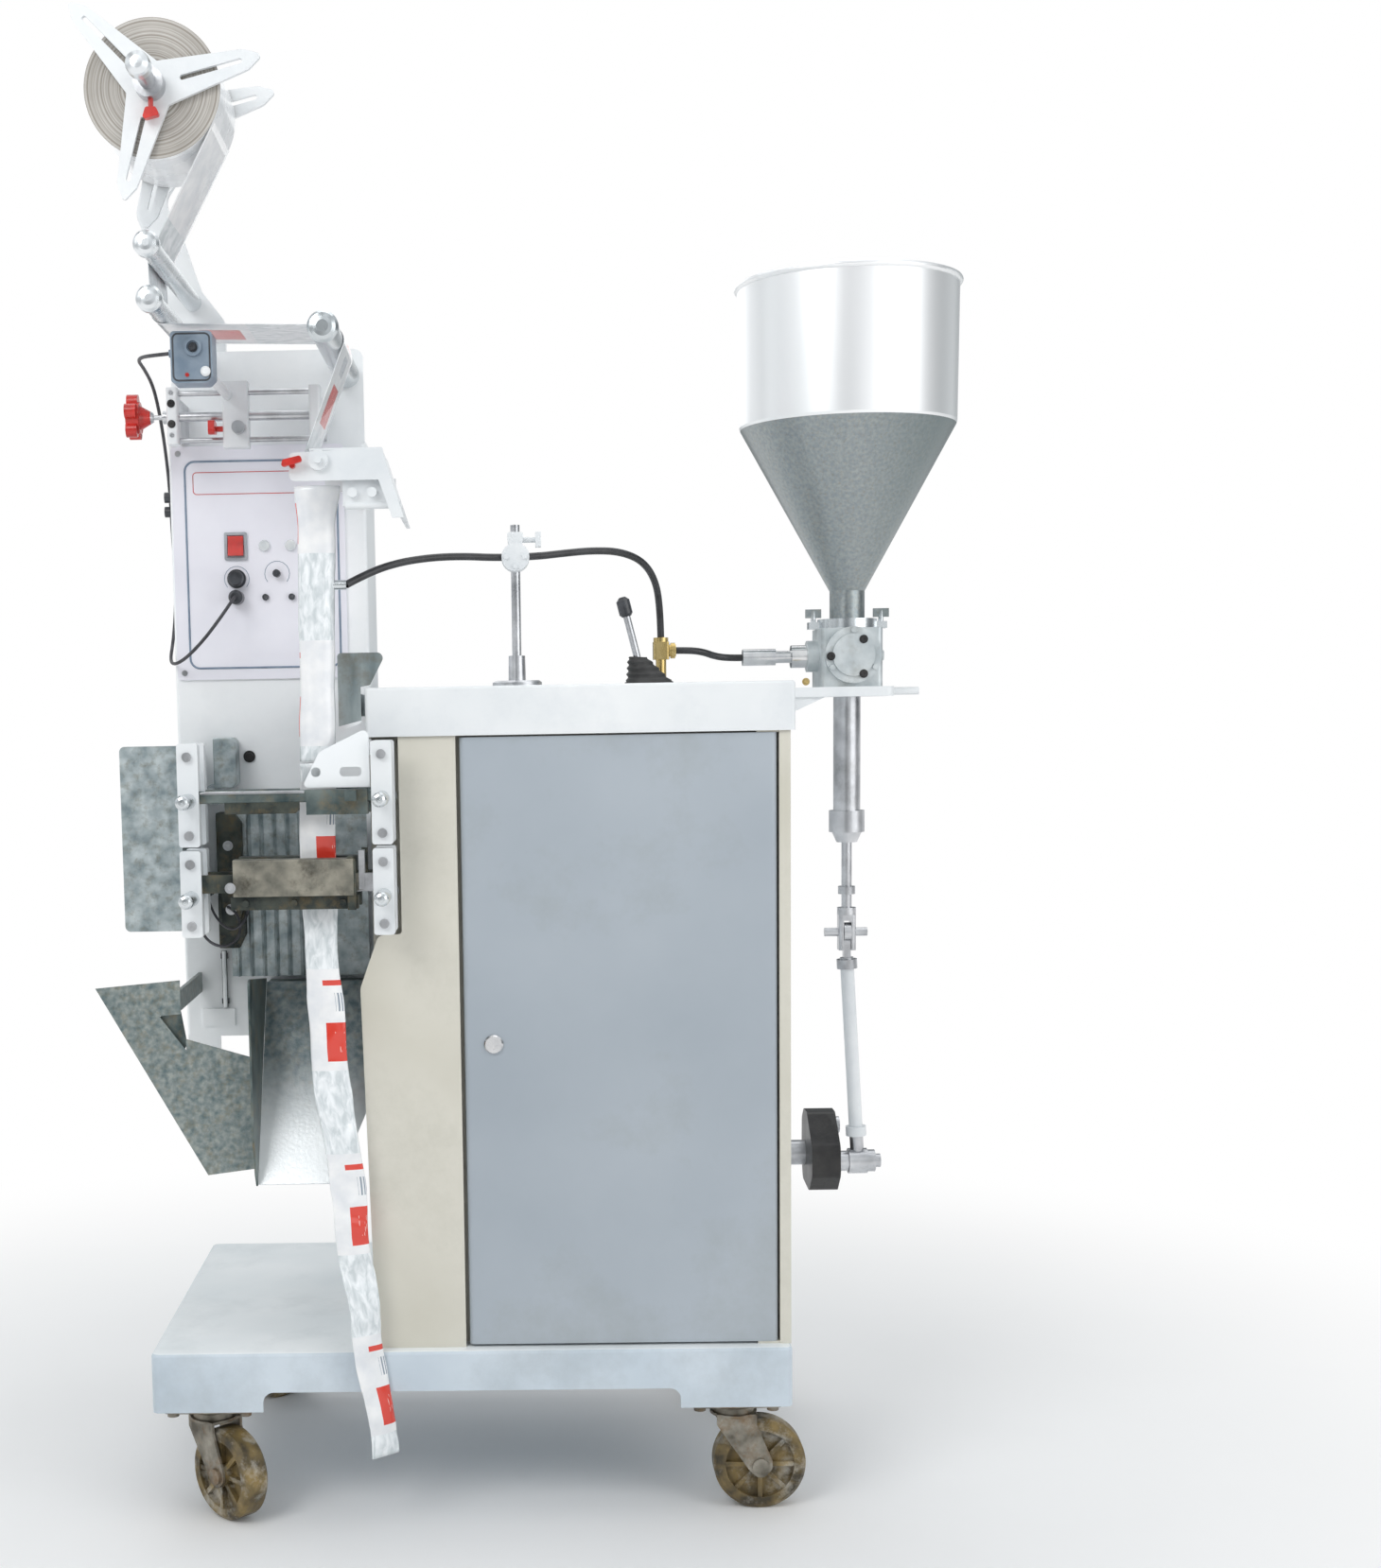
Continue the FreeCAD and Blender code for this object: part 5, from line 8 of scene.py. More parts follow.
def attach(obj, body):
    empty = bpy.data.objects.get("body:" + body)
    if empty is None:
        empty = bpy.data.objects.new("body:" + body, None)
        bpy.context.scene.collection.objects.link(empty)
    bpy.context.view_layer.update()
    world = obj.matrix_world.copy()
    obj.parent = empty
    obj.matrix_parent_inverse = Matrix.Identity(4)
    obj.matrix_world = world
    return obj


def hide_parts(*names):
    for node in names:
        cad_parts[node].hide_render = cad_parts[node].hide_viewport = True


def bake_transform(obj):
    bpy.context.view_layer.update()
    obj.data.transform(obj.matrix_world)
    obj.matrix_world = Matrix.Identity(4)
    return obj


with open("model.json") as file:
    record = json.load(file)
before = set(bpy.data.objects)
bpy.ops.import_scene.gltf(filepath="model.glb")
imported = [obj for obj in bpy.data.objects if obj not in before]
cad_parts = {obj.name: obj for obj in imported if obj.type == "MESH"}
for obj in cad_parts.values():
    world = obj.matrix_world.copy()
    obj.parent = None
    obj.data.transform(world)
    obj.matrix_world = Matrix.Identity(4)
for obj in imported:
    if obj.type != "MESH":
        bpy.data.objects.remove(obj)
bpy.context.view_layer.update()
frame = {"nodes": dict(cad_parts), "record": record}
NODES = frame["nodes"]
MM = 0.001


def point(x, y, z):
    """A place given in millimetres, in the frame's metres."""
    return Vector((x * MM, y * MM, z * MM))


def add_object(name, data, look=None):
    """Object in the scene that shows this data, with a finish from LOOKS."""
    obj = bpy.data.objects.new(name, data)
    bpy.context.scene.collection.objects.link(obj)
    if look is not None:
        obj.data.materials.append(LOOKS[look])
    return obj


def mixed_in(nodes, links, factor, before, tint):
    """Colour socket that passes from one colour to a tint as the factor rises."""
    mix = nodes.new("ShaderNodeMix")
    mix.data_type = "RGBA"
    mix.inputs["B"].default_value = (*tint, 1)
    links.new(factor, mix.inputs["Factor"])
    links.new(before, mix.inputs["A"])
    return mix.outputs["Result"]


def tone_ramp(nodes, low, dark, high, light):
    """Colour ramp from a dark tone at one place to a light tone at another."""
    tones = nodes.new("ShaderNodeValToRGB")
    for end, place, tone in zip(tones.color_ramp.elements, (low, high), (dark, light)):
        end.position = place
        end.color = (*tone, 1)
    return tones


# ---------------------------------------------------------------- materials
def surface(name, dark, light, rough=(0.35, 0.55), metal=0.0, scale=14.0, stretch=(1, 1, 1),
            grain=0.02, grain_scale=240.0, coat=0.0, stain=None, stain_amount=0.0,
            stain_scale=5.0):
    """Painted, plastic or metal surface: two cloudy tones, an uneven gloss and a fine grain."""
    material = bpy.data.materials.new(name)
    material.use_nodes = True
    nodes, links = material.node_tree.nodes, material.node_tree.links
    shader = nodes["Principled BSDF"]
    shader.inputs["Metallic"].default_value = metal
    shader.inputs["Coat Weight"].default_value = coat
    place = nodes.new("ShaderNodeTexCoord")
    mapping = nodes.new("ShaderNodeMapping")
    mapping.inputs["Scale"].default_value = stretch
    links.new(place.outputs["Object"], mapping.inputs["Vector"])
    clouds = nodes.new("ShaderNodeTexNoise")
    clouds.inputs["Scale"].default_value = scale
    clouds.inputs["Detail"].default_value = 6.0
    links.new(mapping.outputs["Vector"], clouds.inputs["Vector"])
    tones = tone_ramp(nodes, 0.32, dark, 0.68, light)
    links.new(clouds.outputs["Fac"], tones.inputs["Fac"])
    colour = tones.outputs["Color"]
    if stain is not None:
        blots = nodes.new("ShaderNodeTexNoise")
        blots.inputs["Scale"].default_value = stain_scale
        blots.inputs["Detail"].default_value = 9.0
        blots.inputs["Roughness"].default_value = 0.7
        links.new(place.outputs["Object"], blots.inputs["Vector"])
        spread = nodes.new("ShaderNodeMapRange")
        spread.inputs["From Min"].default_value = 0.5
        spread.inputs["From Max"].default_value = 0.72
        spread.inputs["To Max"].default_value = stain_amount
        links.new(blots.outputs["Fac"], spread.inputs["Value"])
        colour = mixed_in(nodes, links, spread.outputs["Result"], colour, stain)
    links.new(colour, shader.inputs["Base Color"])
    gloss = nodes.new("ShaderNodeMapRange")
    gloss.inputs["To Min"].default_value = rough[0]
    gloss.inputs["To Max"].default_value = rough[1]
    links.new(clouds.outputs["Fac"], gloss.inputs["Value"])
    links.new(gloss.outputs["Result"], shader.inputs["Roughness"])
    fine = nodes.new("ShaderNodeTexNoise")
    fine.inputs["Scale"].default_value = grain_scale
    fine.inputs["Detail"].default_value = 3.0
    links.new(mapping.outputs["Vector"], fine.inputs["Vector"])
    bump = nodes.new("ShaderNodeBump")
    bump.inputs["Strength"].default_value = grain
    bump.inputs["Distance"].default_value = 0.002
    links.new(fine.outputs["Fac"], bump.inputs["Height"])
    links.new(bump.outputs["Normal"], shader.inputs["Normal"])
    return material


STRAW = (0.36, 0.3, 0.16)
GREASE = (0.05, 0.045, 0.035)
LOOKS = {
    "platform_paint": surface("platform_paint", (0.50, 0.58, 0.65), (0.63, 0.70, 0.76), (0.28, 0.5),
                              scale=7, coat=0.15, stain=(0.34, 0.38, 0.4), stain_amount=0.5),
    "zinc": surface("zinc", (0.10, 0.09, 0.07), (0.40, 0.37, 0.31), (0.3, 0.6), 0.6, 44,
                    stain=(0.2, 0.10, 0.025), stain_amount=0.95, stain_scale=34, grain=0.15),
    "wheel": surface("wheel", (0.045, 0.035, 0.018), (0.27, 0.19, 0.07), (0.4, 0.7), 0, 46,
                     stain=(0.66, 0.64, 0.58), stain_amount=0.7, stain_scale=30, grain=0.15),
    "white_paint": surface("white_paint", (0.72, 0.75, 0.77), (0.82, 0.84, 0.85), (0.3, 0.5),
                           scale=6, coat=0.1, stain=(0.5, 0.55, 0.6), stain_amount=0.35),
    "cream_paint": surface("cream_paint", (0.58, 0.56, 0.48), (0.70, 0.68, 0.61), (0.32, 0.5),
                           scale=5, coat=0.1, stain=(0.42, 0.41, 0.33), stain_amount=0.5),
    "lilac_paint": surface("lilac_paint", (0.34, 0.385, 0.43), (0.43, 0.475, 0.52), (0.32, 0.48),
                           scale=2.6, coat=0.12, stain=(0.27, 0.29, 0.27), stain_amount=0.6,
                           stain_scale=2.4),
    "lock": surface("lock", (0.55, 0.56, 0.58), (0.8, 0.8, 0.8), (0.12, 0.25), 1.0, 40),
    "panel_plate": surface("panel_plate", (0.79, 0.79, 0.86), (0.88, 0.88, 0.94), (0.3, 0.42),
                           scale=9, coat=0.2),
    "red_plastic": surface("red_plastic", (0.45, 0.015, 0.012), (0.66, 0.03, 0.02), (0.25, 0.45),
                           scale=60, coat=0.3, stain=(0.3, 0.03, 0.02), stain_amount=0.6,
                           stain_scale=70),
    "dark_plastic": surface("dark_plastic", (0.02, 0.022, 0.026), (0.06, 0.065, 0.075),
                            (0.25, 0.45), scale=70, coat=0.2),
    "cable": surface("cable", (0.03, 0.03, 0.035), (0.08, 0.08, 0.09), (0.4, 0.6), scale=90),
    "steel": surface("steel", (0.42, 0.43, 0.45), (0.72, 0.73, 0.75), (0.2, 0.42), 0.95, 28,
                     stain=GREASE, stain_amount=0.35, stain_scale=25, grain=0.05),
    "polished": surface("polished", (0.56, 0.60, 0.62), (0.82, 0.85, 0.87), (0.22, 0.31), 0.95, 9,
                        stretch=(1, 1, 0.12), grain=0.012),
    "guard": surface("guard", (0.24, 0.30, 0.32), (0.56, 0.62, 0.63), (0.3, 0.52), 0.5, 60,
                     stain=(0.18, 0.16, 0.1), stain_amount=0.7, stain_scale=90, grain=0.1,
                     grain_scale=120),
    "works": surface("works", (0.012, 0.02, 0.022), (0.10, 0.11, 0.09), (0.3, 0.6), 0.5, 40,
                     stain=(0.16, 0.12, 0.06), stain_amount=0.8, stain_scale=60, grain=0.2),
    "funnel": surface("funnel", (0.08, 0.13, 0.15), (0.52, 0.58, 0.58), (0.25, 0.45), 0.6, 26,
                      stretch=(1, 1, 0.25), stain=(0.2, 0.16, 0.1), stain_amount=0.6,
                      stain_scale=30, grain=0.1),
    # Vertical streaks in the bowl's base colour: painted reflection bands.
    "mirror": surface("mirror", (0.86, 0.88, 0.89), (0.97, 0.97, 0.98), (0.3, 0.4), 0.62, 9,
                      stretch=(1, 1, 0.12), grain=0.012),
    "roll_wrap": surface("roll_wrap", (0.70, 0.72, 0.74), (0.86, 0.87, 0.88), (0.2, 0.35), scale=26,
                         coat=0.4, grain=0.1, grain_scale=60),
    # Lighter copy of the white paint for the column and a film guide plate: painted light.
    "column_paint_with_painted_light": surface("column_paint_with_painted_light", (0.83, 0.86, 0.88), (0.92, 0.94, 0.95), (0.3, 0.5),
                            scale=6, coat=0.15, stain=(0.62, 0.67, 0.7), stain_amount=0.3),
    # Lighter copy of the platform paint for its top: painted light.
    "platform_top_painted_light": surface("platform_top_painted_light", (0.80, 0.85, 0.87), (0.90, 0.93, 0.94), (0.28, 0.5),
                            scale=7, coat=0.15, stain=(0.5, 0.55, 0.57), stain_amount=0.4),
    "wing_sheet": surface("wing_sheet", (0.12, 0.17, 0.18), (0.34, 0.37, 0.35), (0.3, 0.5), 0.4,
                          150, stain=(0.22, 0.18, 0.1), stain_amount=0.6, stain_scale=110,
                          grain=0.1),
    # Dark base of the chute sheet, lightened towards its bottom further down: painted light and
    # shade.
    "chute_sheet": surface("chute_sheet", (0.12, 0.17, 0.19), (0.32, 0.36, 0.36), (0.25, 0.4), 0.4,
                           120, stain=(0.24, 0.20, 0.13), stain_amount=0.5, stain_scale=90,
                           grain=0.1),
    "dark_sheet": surface("dark_sheet", (0.03, 0.055, 0.06), (0.20, 0.24, 0.23), (0.3, 0.55), 0.6,
                          30, stain=(0.24, 0.19, 0.11), stain_amount=0.8, stain_scale=40,
                          grain=0.12),
    "cone_steel": surface("cone_steel", (0.27, 0.31, 0.33), (0.37, 0.40, 0.40), (0.28, 0.42), 0.8,
                          260, stain=(0.28, 0.23, 0.15), stain_amount=0.5, stain_scale=330,
                          grain=0.05),
    "satin": surface("satin", (0.44, 0.49, 0.51), (0.68, 0.72, 0.73), (0.34, 0.55), 0.55, 34,
                     stain=(0.3, 0.3, 0.27), stain_amount=0.6, stain_scale=30, grain=0.1),
    "sensor": surface("sensor", (0.18, 0.24, 0.31), (0.32, 0.38, 0.45), (0.3, 0.5), 0.4, 40),
    "hose": surface("hose", (0.012, 0.012, 0.014), (0.035, 0.036, 0.04), (0.3, 0.5), scale=60,
                    coat=0.2),
    "brass": surface("brass", (0.5, 0.36, 0.13), (0.72, 0.56, 0.26), (0.18, 0.35), 1.0, 40),
    "boot": surface("boot", (0.02, 0.02, 0.02), (0.05, 0.05, 0.05), (0.5, 0.7), scale=60),
    "black_iron": surface("black_iron", (0.008, 0.008, 0.009), (0.04, 0.038, 0.036), (0.3, 0.6),
                          0.2, 30, grain=0.15, coat=0.2),
    "motor": surface("motor", (0.09, 0.13, 0.17), (0.17, 0.22, 0.27), (0.3, 0.5), 0.1, 12,
                     grain=0.08),
    "cast": surface("cast", (0.12, 0.12, 0.12), (0.26, 0.26, 0.27), (0.4, 0.6), 0.8, 20,
                    grain=0.15),
    "belt": surface("belt", (0.015, 0.015, 0.015), (0.04, 0.04, 0.04), (0.6, 0.8), scale=50),
    "white_plastic": surface("white_plastic", (0.72, 0.73, 0.74), (0.85, 0.85, 0.85), (0.25, 0.4),
                             scale=50, coat=0.3),
    "lamp": surface("lamp", (0.62, 0.66, 0.68), (0.8, 0.82, 0.82), (0.15, 0.3), scale=90,
                    coat=0.5),
    "bezel": surface("bezel", (0.3, 0.32, 0.35), (0.42, 0.44, 0.47), (0.25, 0.4), scale=60),
    "line": surface("line", (0.16, 0.22, 0.3), (0.24, 0.31, 0.4), (0.4, 0.5), scale=60),
    "grimy": surface("grimy", (0.13, 0.13, 0.11), (0.36, 0.34, 0.28), (0.35, 0.6), 0.55, 45,
                     stain=(0.04, 0.035, 0.025), stain_amount=0.9, stain_scale=34, grain=0.18),
    "film": surface("film", (0.62, 0.61, 0.58), (0.80, 0.79, 0.76), (0.2, 0.35), scale=30,
                    coat=0.3, grain=0.06, grain_scale=60),
}


def shade_across(look, begin, end, tint, amount, axis="X"):
    """Paints light and shade into a finish: it passes into a tint along an axis, between two places
    in metres.
    """
    nodes, links = look.node_tree.nodes, look.node_tree.links
    shader = nodes["Principled BSDF"]
    before = shader.inputs["Base Color"].links[0].from_socket
    place = nodes.new("ShaderNodeTexCoord")
    split = nodes.new("ShaderNodeSeparateXYZ")
    links.new(place.outputs["Object"], split.inputs["Vector"])
    reach = nodes.new("ShaderNodeMapRange")
    reach.inputs["From Min"].default_value = begin
    reach.inputs["From Max"].default_value = end
    reach.inputs["To Max"].default_value = amount
    links.new(split.outputs[axis], reach.inputs["Value"])
    links.new(mixed_in(nodes, links, reach.outputs["Result"], before, tint),
              shader.inputs["Base Color"])


def wound_look():
    """Ends of the roll: layers of wound film seen as fine rings round its axis."""
    look = surface("wound_film", (0.44, 0.42, 0.39), (0.57, 0.55, 0.52), (0.35, 0.5), scale=20)
    nodes, links = look.node_tree.nodes, look.node_tree.links
    shader = nodes["Principled BSDF"]
    before = shader.inputs["Base Color"].links[0].from_socket
    place = nodes.new("ShaderNodeTexCoord")
    centre = nodes.new("ShaderNodeVectorMath")
    centre.operation = "SUBTRACT"
    centre.inputs[1].default_value = (-0.292, 0.0, 1.508)
    links.new(place.outputs["Object"], centre.inputs[0])
    plane = nodes.new("ShaderNodeVectorMath")
    plane.operation = "MULTIPLY"
    plane.inputs[1].default_value = (1.0, 0.0, 1.0)
    links.new(centre.outputs["Vector"], plane.inputs[0])
    reach = nodes.new("ShaderNodeVectorMath")
    reach.operation = "LENGTH"
    links.new(plane.outputs["Vector"], reach.inputs[0])
    layers = nodes.new("ShaderNodeTexNoise")
    layers.noise_dimensions = "1D"
    layers.inputs["Scale"].default_value = 520.0
    layers.inputs["Detail"].default_value = 3.0
    links.new(reach.outputs["Value"], layers.inputs["W"])
    tones = tone_ramp(nodes, 0.35, (0.55, 0.52, 0.48), 0.65, (1.0, 1.0, 1.0))
    links.new(layers.outputs["Fac"], tones.inputs["Fac"])
    mix = nodes.new("ShaderNodeMix")
    mix.data_type = "RGBA"
    mix.blend_type = "MULTIPLY"
    mix.inputs["Factor"].default_value = 1.0
    links.new(before, mix.inputs["A"])
    links.new(tones.outputs["Color"], mix.inputs["B"])
    links.new(mix.outputs["Result"], shader.inputs["Base Color"])
    return look


LOOKS["wound_film"] = wound_look()
# Painted shade: the hopper cone darker towards its right side.
shade_across(LOOKS["cone_steel"], 0.44, 0.56, (0.10, 0.14, 0.145), 0.8)
# Painted shade: the hopper bowl darker towards its right side.
shade_across(LOOKS["mirror"], 0.49, 0.57, (0.62, 0.65, 0.66), 0.6)
# Painted light and shade: the chute sheet dark at its top, passing to near white towards its
# bottom.
shade_across(LOOKS["chute_sheet"], 0.51, 0.43, (0.80, 0.83, 0.84), 1.0, "Z")

SLOT_OF = {entry["node"]: entry["material_slot"] for entry in frame["record"]["subparts"]}
for node, obj in NODES.items():
    obj.data.materials.clear()
    obj.data.materials.append(LOOKS[SLOT_OF[node]])


# ---------------------------------------------------------------- cords
def round_line(name, path, radius, look, kind="NURBS", sides=3, steps=12):
    """Round line through points in millimetres: a smooth NURBS curve or straight POLY parts."""
    curve = bpy.data.curves.new(name, "CURVE")
    curve.dimensions = "3D"
    curve.bevel_depth = radius * MM
    curve.bevel_resolution = sides
    curve.resolution_u = steps
    spline = curve.splines.new(kind)
    spline.points.add(len(path) - 1)
    for control, place in zip(spline.points, path):
        control.co = (*point(*place), 1)
    if kind == "NURBS":
        spline.order_u = 3
        spline.use_endpoint_u = True
    return add_object(name, curve, look)


def hose(name, route, radius, look, replaced):
    """Round cord along the same points as its solid, with its real length in metres."""
    obj = round_line(name, route, radius, look, sides=5, steps=10)
    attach(obj, "machine")
    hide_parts(replaced)


CABLE_ROUTE = [
    (-251, -98, 1019), (-251.5, -122, 1013), (-262, -132, 996), (-282, -127, 972),
    (-304, -112, 953), (-321, -94, 945), (-331, -68, 950), (-331.5, -38, 974), (-330, -22, 1012),
    (-330.5, -16, 1058), (-332, -18, 1104), (-332, -26, 1150), (-331.5, -51, 1191),
    (-331, -85, 1225), (-331, -120, 1248), (-333, -162, 1259), (-331, -206, 1259.5),
    (-320, -247, 1256),
    (-302, -276, 1252.5), (-285, -286, 1252)]
FILL_ROUTE = [
    (228, -22, 967), (227, -28, 1000), (221, -48, 1031), (205, -72, 1052), (178, -96, 1061),
    (146, -116, 1061), (114, -136, 1057), (84, -151, 1053), (40, -159, 1052), (6, -174, 1053),
    (-28, -192, 1051), (-62, -210, 1045), (-92, -228, 1034), (-115, -240, 1021)]
FEED_ROUTE = [(245, -22, 953), (262, -22, 953), (278, -16.3, 950.7), (291, -5.7, 946.3),
              (307, 0, 944), (324, 0, 944)]
hose("filling_hose", FILL_ROUTE, 4.0, "hose", "fill_hose")
hose("pump_feed_hose", FEED_ROUTE, 4.0, "hose", "feed_hose")
hose("sensor_lead", CABLE_ROUTE, 1.9, "cable", "sensor_cable")

# ---------------------------------------------------------------- details
# Film: the web over the rollers, the sleeve round the filling tube and the chain of pouches
FILM_Y, FILM_HALF = -240.0, 55.0
SLEEVE_TOP, SLEEVE_END, SLEEVE_DEPTH = 1122.0, 838.0, 12.5
STRIP_TOP, SEAM_TOP, SEAM_BOTTOM, TURN_START = 836.0, 812, 780, 540.0
ROW_STEP, COLUMNS = 4.0, 32
RED_PRINT, PALE_PRINT, RULE_PRINT = (0.70, 0.05, 0.03), (0.9, 0.7, 0.66), (0.25, 0.3, 0.36)
SEAL_TOP, SEAL_BOTTOM, STRIP_END = 737.0, 682.0, 84.0
SEAL_PITCH = (SEAL_BOTTOM - STRIP_END) / 6
PRINT_PITCH = 2 * SEAL_PITCH * MM


def film_look():
    """White film: red blocks with pale discs, fine rules and half-clear lengths between, these
    mottled grey and white as painted reflection off the crumpled film.
    """
    material = surface("printed_film", (0.74, 0.76, 0.79), (0.9, 0.9, 0.9), (0.12, 0.3), scale=40,
                       coat=0.5, grain=0.22, grain_scale=55)
    nodes, links = material.node_tree.nodes, material.node_tree.links
    shader = nodes["Principled BSDF"]
    base = shader.inputs["Base Color"].links[0].from_socket
    uv = nodes.new("ShaderNodeUVMap")
    split = nodes.new("ShaderNodeSeparateXYZ")
    links.new(uv.outputs["UV"], split.inputs["Vector"])

    def math_node(kind, first, second):
        node = nodes.new("ShaderNodeMath")
        node.operation = kind
        for socket, value in zip(node.inputs, (first, second)):
            if hasattr(value, "links"):
                links.new(value, socket)
            else:
                socket.default_value = value
        return node.outputs["Value"]

    def between(value, low_end, high_end):
        return math_node("MULTIPLY", math_node("GREATER_THAN", value, low_end),
                         math_node("LESS_THAN", value, high_end))

    along = split.outputs["Y"]
    across = math_node("FRACT", split.outputs["X"], 0.0)
    step = math_node("FRACT", math_node("DIVIDE", along, PRINT_PITCH), 0.0)
    face = between(across, 0.5, 0.98)
    block = math_node("MULTIPLY", between(step, 0.26, 0.47), face)
    disc = nodes.new("ShaderNodeTexVoronoi")
    disc.inputs["Scale"].default_value = 70.0
    links.new(uv.outputs["UV"], disc.inputs["Vector"])
    dots = math_node("MULTIPLY", between(step, 0.31, 0.42),
                     math_node("LESS_THAN", disc.outputs["Distance"], 0.22))
    dots = math_node("MULTIPLY", dots, between(across, 0.58, 0.92))
    waves = math_node("SINE", math_node("MULTIPLY", across, 130.0), 0.0)
    rules = math_node("MULTIPLY", between(step, 0.1, 0.2), between(across, 0.6, 0.92))
    rules = math_node("MULTIPLY", rules, math_node("GREATER_THAN", waves, 0.1))
    stripe = math_node("MULTIPLY", between(step, 0.03, 0.06), face)
    # Clear lengths mottled grey and white: painted reflection off the crumpled film.
    crease_sheen = nodes.new("ShaderNodeTexNoise")
    crease_sheen.inputs["Scale"].default_value = 62.0
    crease_sheen.inputs["Detail"].default_value = 4.0
    crease_sheen.inputs["Distortion"].default_value = 0.6
    even = nodes.new("ShaderNodeMapping")
    even.inputs["Scale"].default_value = (0.26, 1.0, 1.0)
    links.new(uv.outputs["UV"], even.inputs["Vector"])
    links.new(even.outputs["Vector"], crease_sheen.inputs["Vector"])
    crease_sheen_tones = tone_ramp(nodes, 0.36, (0.60, 0.65, 0.67), 0.64, (0.88, 0.91, 0.93))
    links.new(crease_sheen.outputs["Fac"], crease_sheen_tones.inputs["Fac"])
    clear = nodes.new("ShaderNodeMix")
    clear.data_type = "RGBA"
    links.new(between(step, 0.52, 0.97), clear.inputs["Factor"])
    links.new(base, clear.inputs["A"])
    links.new(crease_sheen_tones.outputs["Color"], clear.inputs["B"])
    colour = clear.outputs["Result"]
    for mask, tint in ((rules, RULE_PRINT), (block, RED_PRINT), (stripe, RED_PRINT),
                       (dots, PALE_PRINT)):
        colour = mixed_in(nodes, links, mask, colour, tint)
    links.new(colour, shader.inputs["Base Color"])
    return material


LOOKS["printed_film"] = film_look()


def ribbon(name, rows, lengths, shift, bare=0):
    """Printed film over rows of points; shift turns the print across the width, 1 being the width.

    The first rows, as many as bare says, show the film's plain side.
    """
    wide = len(rows[0])
    faces = [(r * wide + c, r * wide + c + 1, (r + 1) * wide + c + 1, (r + 1) * wide + c)
             for r in range(len(rows) - 1) for c in range(wide - 1)]
    mesh = bpy.data.meshes.new(name)
    mesh.from_pydata([point(*p) for row in rows for p in row], [], faces)
    layer = mesh.uv_layers.new(name="UVMap")
    for loop in mesh.loops:
        row, column = divmod(loop.vertex_index, wide)
        across = 0.02 + 0.4 * column / (wide - 1) if row < bare else column / (wide - 1) + shift
        layer.data[loop.index].uv = (across, lengths[row])
    for polygon in mesh.polygons:
        polygon.use_smooth = True
    obj = add_object(name, mesh, "printed_film")
    thick = obj.modifiers.new("thickness", "SOLIDIFY")
    thick.thickness = 0.3 * MM
    thick.offset = 0.0
    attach(obj, "machine")
    return obj


def crumple(x, y, z, scale, amount):
    """Smooth unevenness of the film at a place, at most the amount to each side."""
    return amount * noise.noise(Vector((x * scale, y * scale, z * scale)))


def web_path():
    """Points of the web's middle from the roll, round the three rollers, down to the former."""
    wraps = [(-292.0, 1508.0, 68.7, -1), (-291.0, 1343.0, 10.7, 1), (-290.0, 1291.0, 10.7, 1),
             (-122.0, 1261.0, 14.7, -1), (-150.0, 1150.0, 0.01, 1)]
    lines = []
    for (ax, az, ar, sa), (bx, bz, br, sb) in zip(wraps, wraps[1:]):
        heading = math.atan2(bz - az, bx - ax) - math.asin(
            (sb * br - sa * ar) / math.hypot(bx - ax, bz - az))
        nx, nz = -math.sin(heading), math.cos(heading)
        lines.append(((ax - sa * ar * nx, az - sa * ar * nz),
                      (bx - sb * br * nx, bz - sb * br * nz)))
    path = []
    for index, (begin, end) in enumerate(lines):
        steps = max(2, int(math.dist(begin, end) / 12))
        path += [(begin[0] + (end[0] - begin[0]) * i / steps,
                  begin[1] + (end[1] - begin[1]) * i / steps) for i in range(steps + 1)]
        if index + 1 < len(lines):
            x, z, r, side = wraps[index + 1]
            a0 = math.atan2(end[1] - z, end[0] - x)
            after = lines[index + 1][0]
            a1 = math.atan2(after[1] - z, after[0] - x)
            sweep = (a1 - a0) % (2 * math.pi) if side > 0 else -((a0 - a1) % (2 * math.pi))
            arcs = max(3, int(abs(sweep) / 0.2))
            path += [(x + r * math.cos(a0 + sweep * i / arcs),
                      z + r * math.sin(a0 + sweep * i / arcs)) for i in range(1, arcs)]
    return path


def film_web():
    """Flat film from the roll to the folding former."""
    path = web_path()
    lengths, rows = [0.0], []
    for before, after in zip(path, path[1:]):
        lengths.append(lengths[-1] + math.dist(before, after) * MM)
    for (x, z), run in zip(path, lengths):
        rows.append([(x + crumple(0, i, run / MM, 0.05, 0.5), FILM_Y - FILM_HALF + 5.5 * i, z)
                     for i in range(21)])
    plain = sum(1 for x, z in path if z > 1357.0)
    return ribbon("web_ribbon", rows, lengths, 0.2, plain)


COURSE = [(SLEEVE_TOP, -143.0, 24.0), (1078.0, -145.0, 19.5), (942.0, -147.5, 18.5),
          (STRIP_TOP, -149.5, 19.0), (753.0, -152.0, 19.0), (642.0, -151.0, 18.5),
          (540.0, -146.0, 20.5), (344.0, -126.0, 19.5), (229.0, -112.0, 18.5),
          (STRIP_END, -94.0, 18.0)]


def course(z):
    """Middle and half-width of the sleeve or strip at a height."""
    for (z0, x0, h0), (z1, x1, h1) in zip(COURSE, COURSE[1:]):
        if z >= z1:
            part = min(1.0, max(0.0, (z0 - z) / (z0 - z1)))
            part = part * part * (3 - 2 * part)
            return x0 + (x1 - x0) * part, h0 + (h1 - h0) * part
    return COURSE[-1][1], COURSE[-1][2]


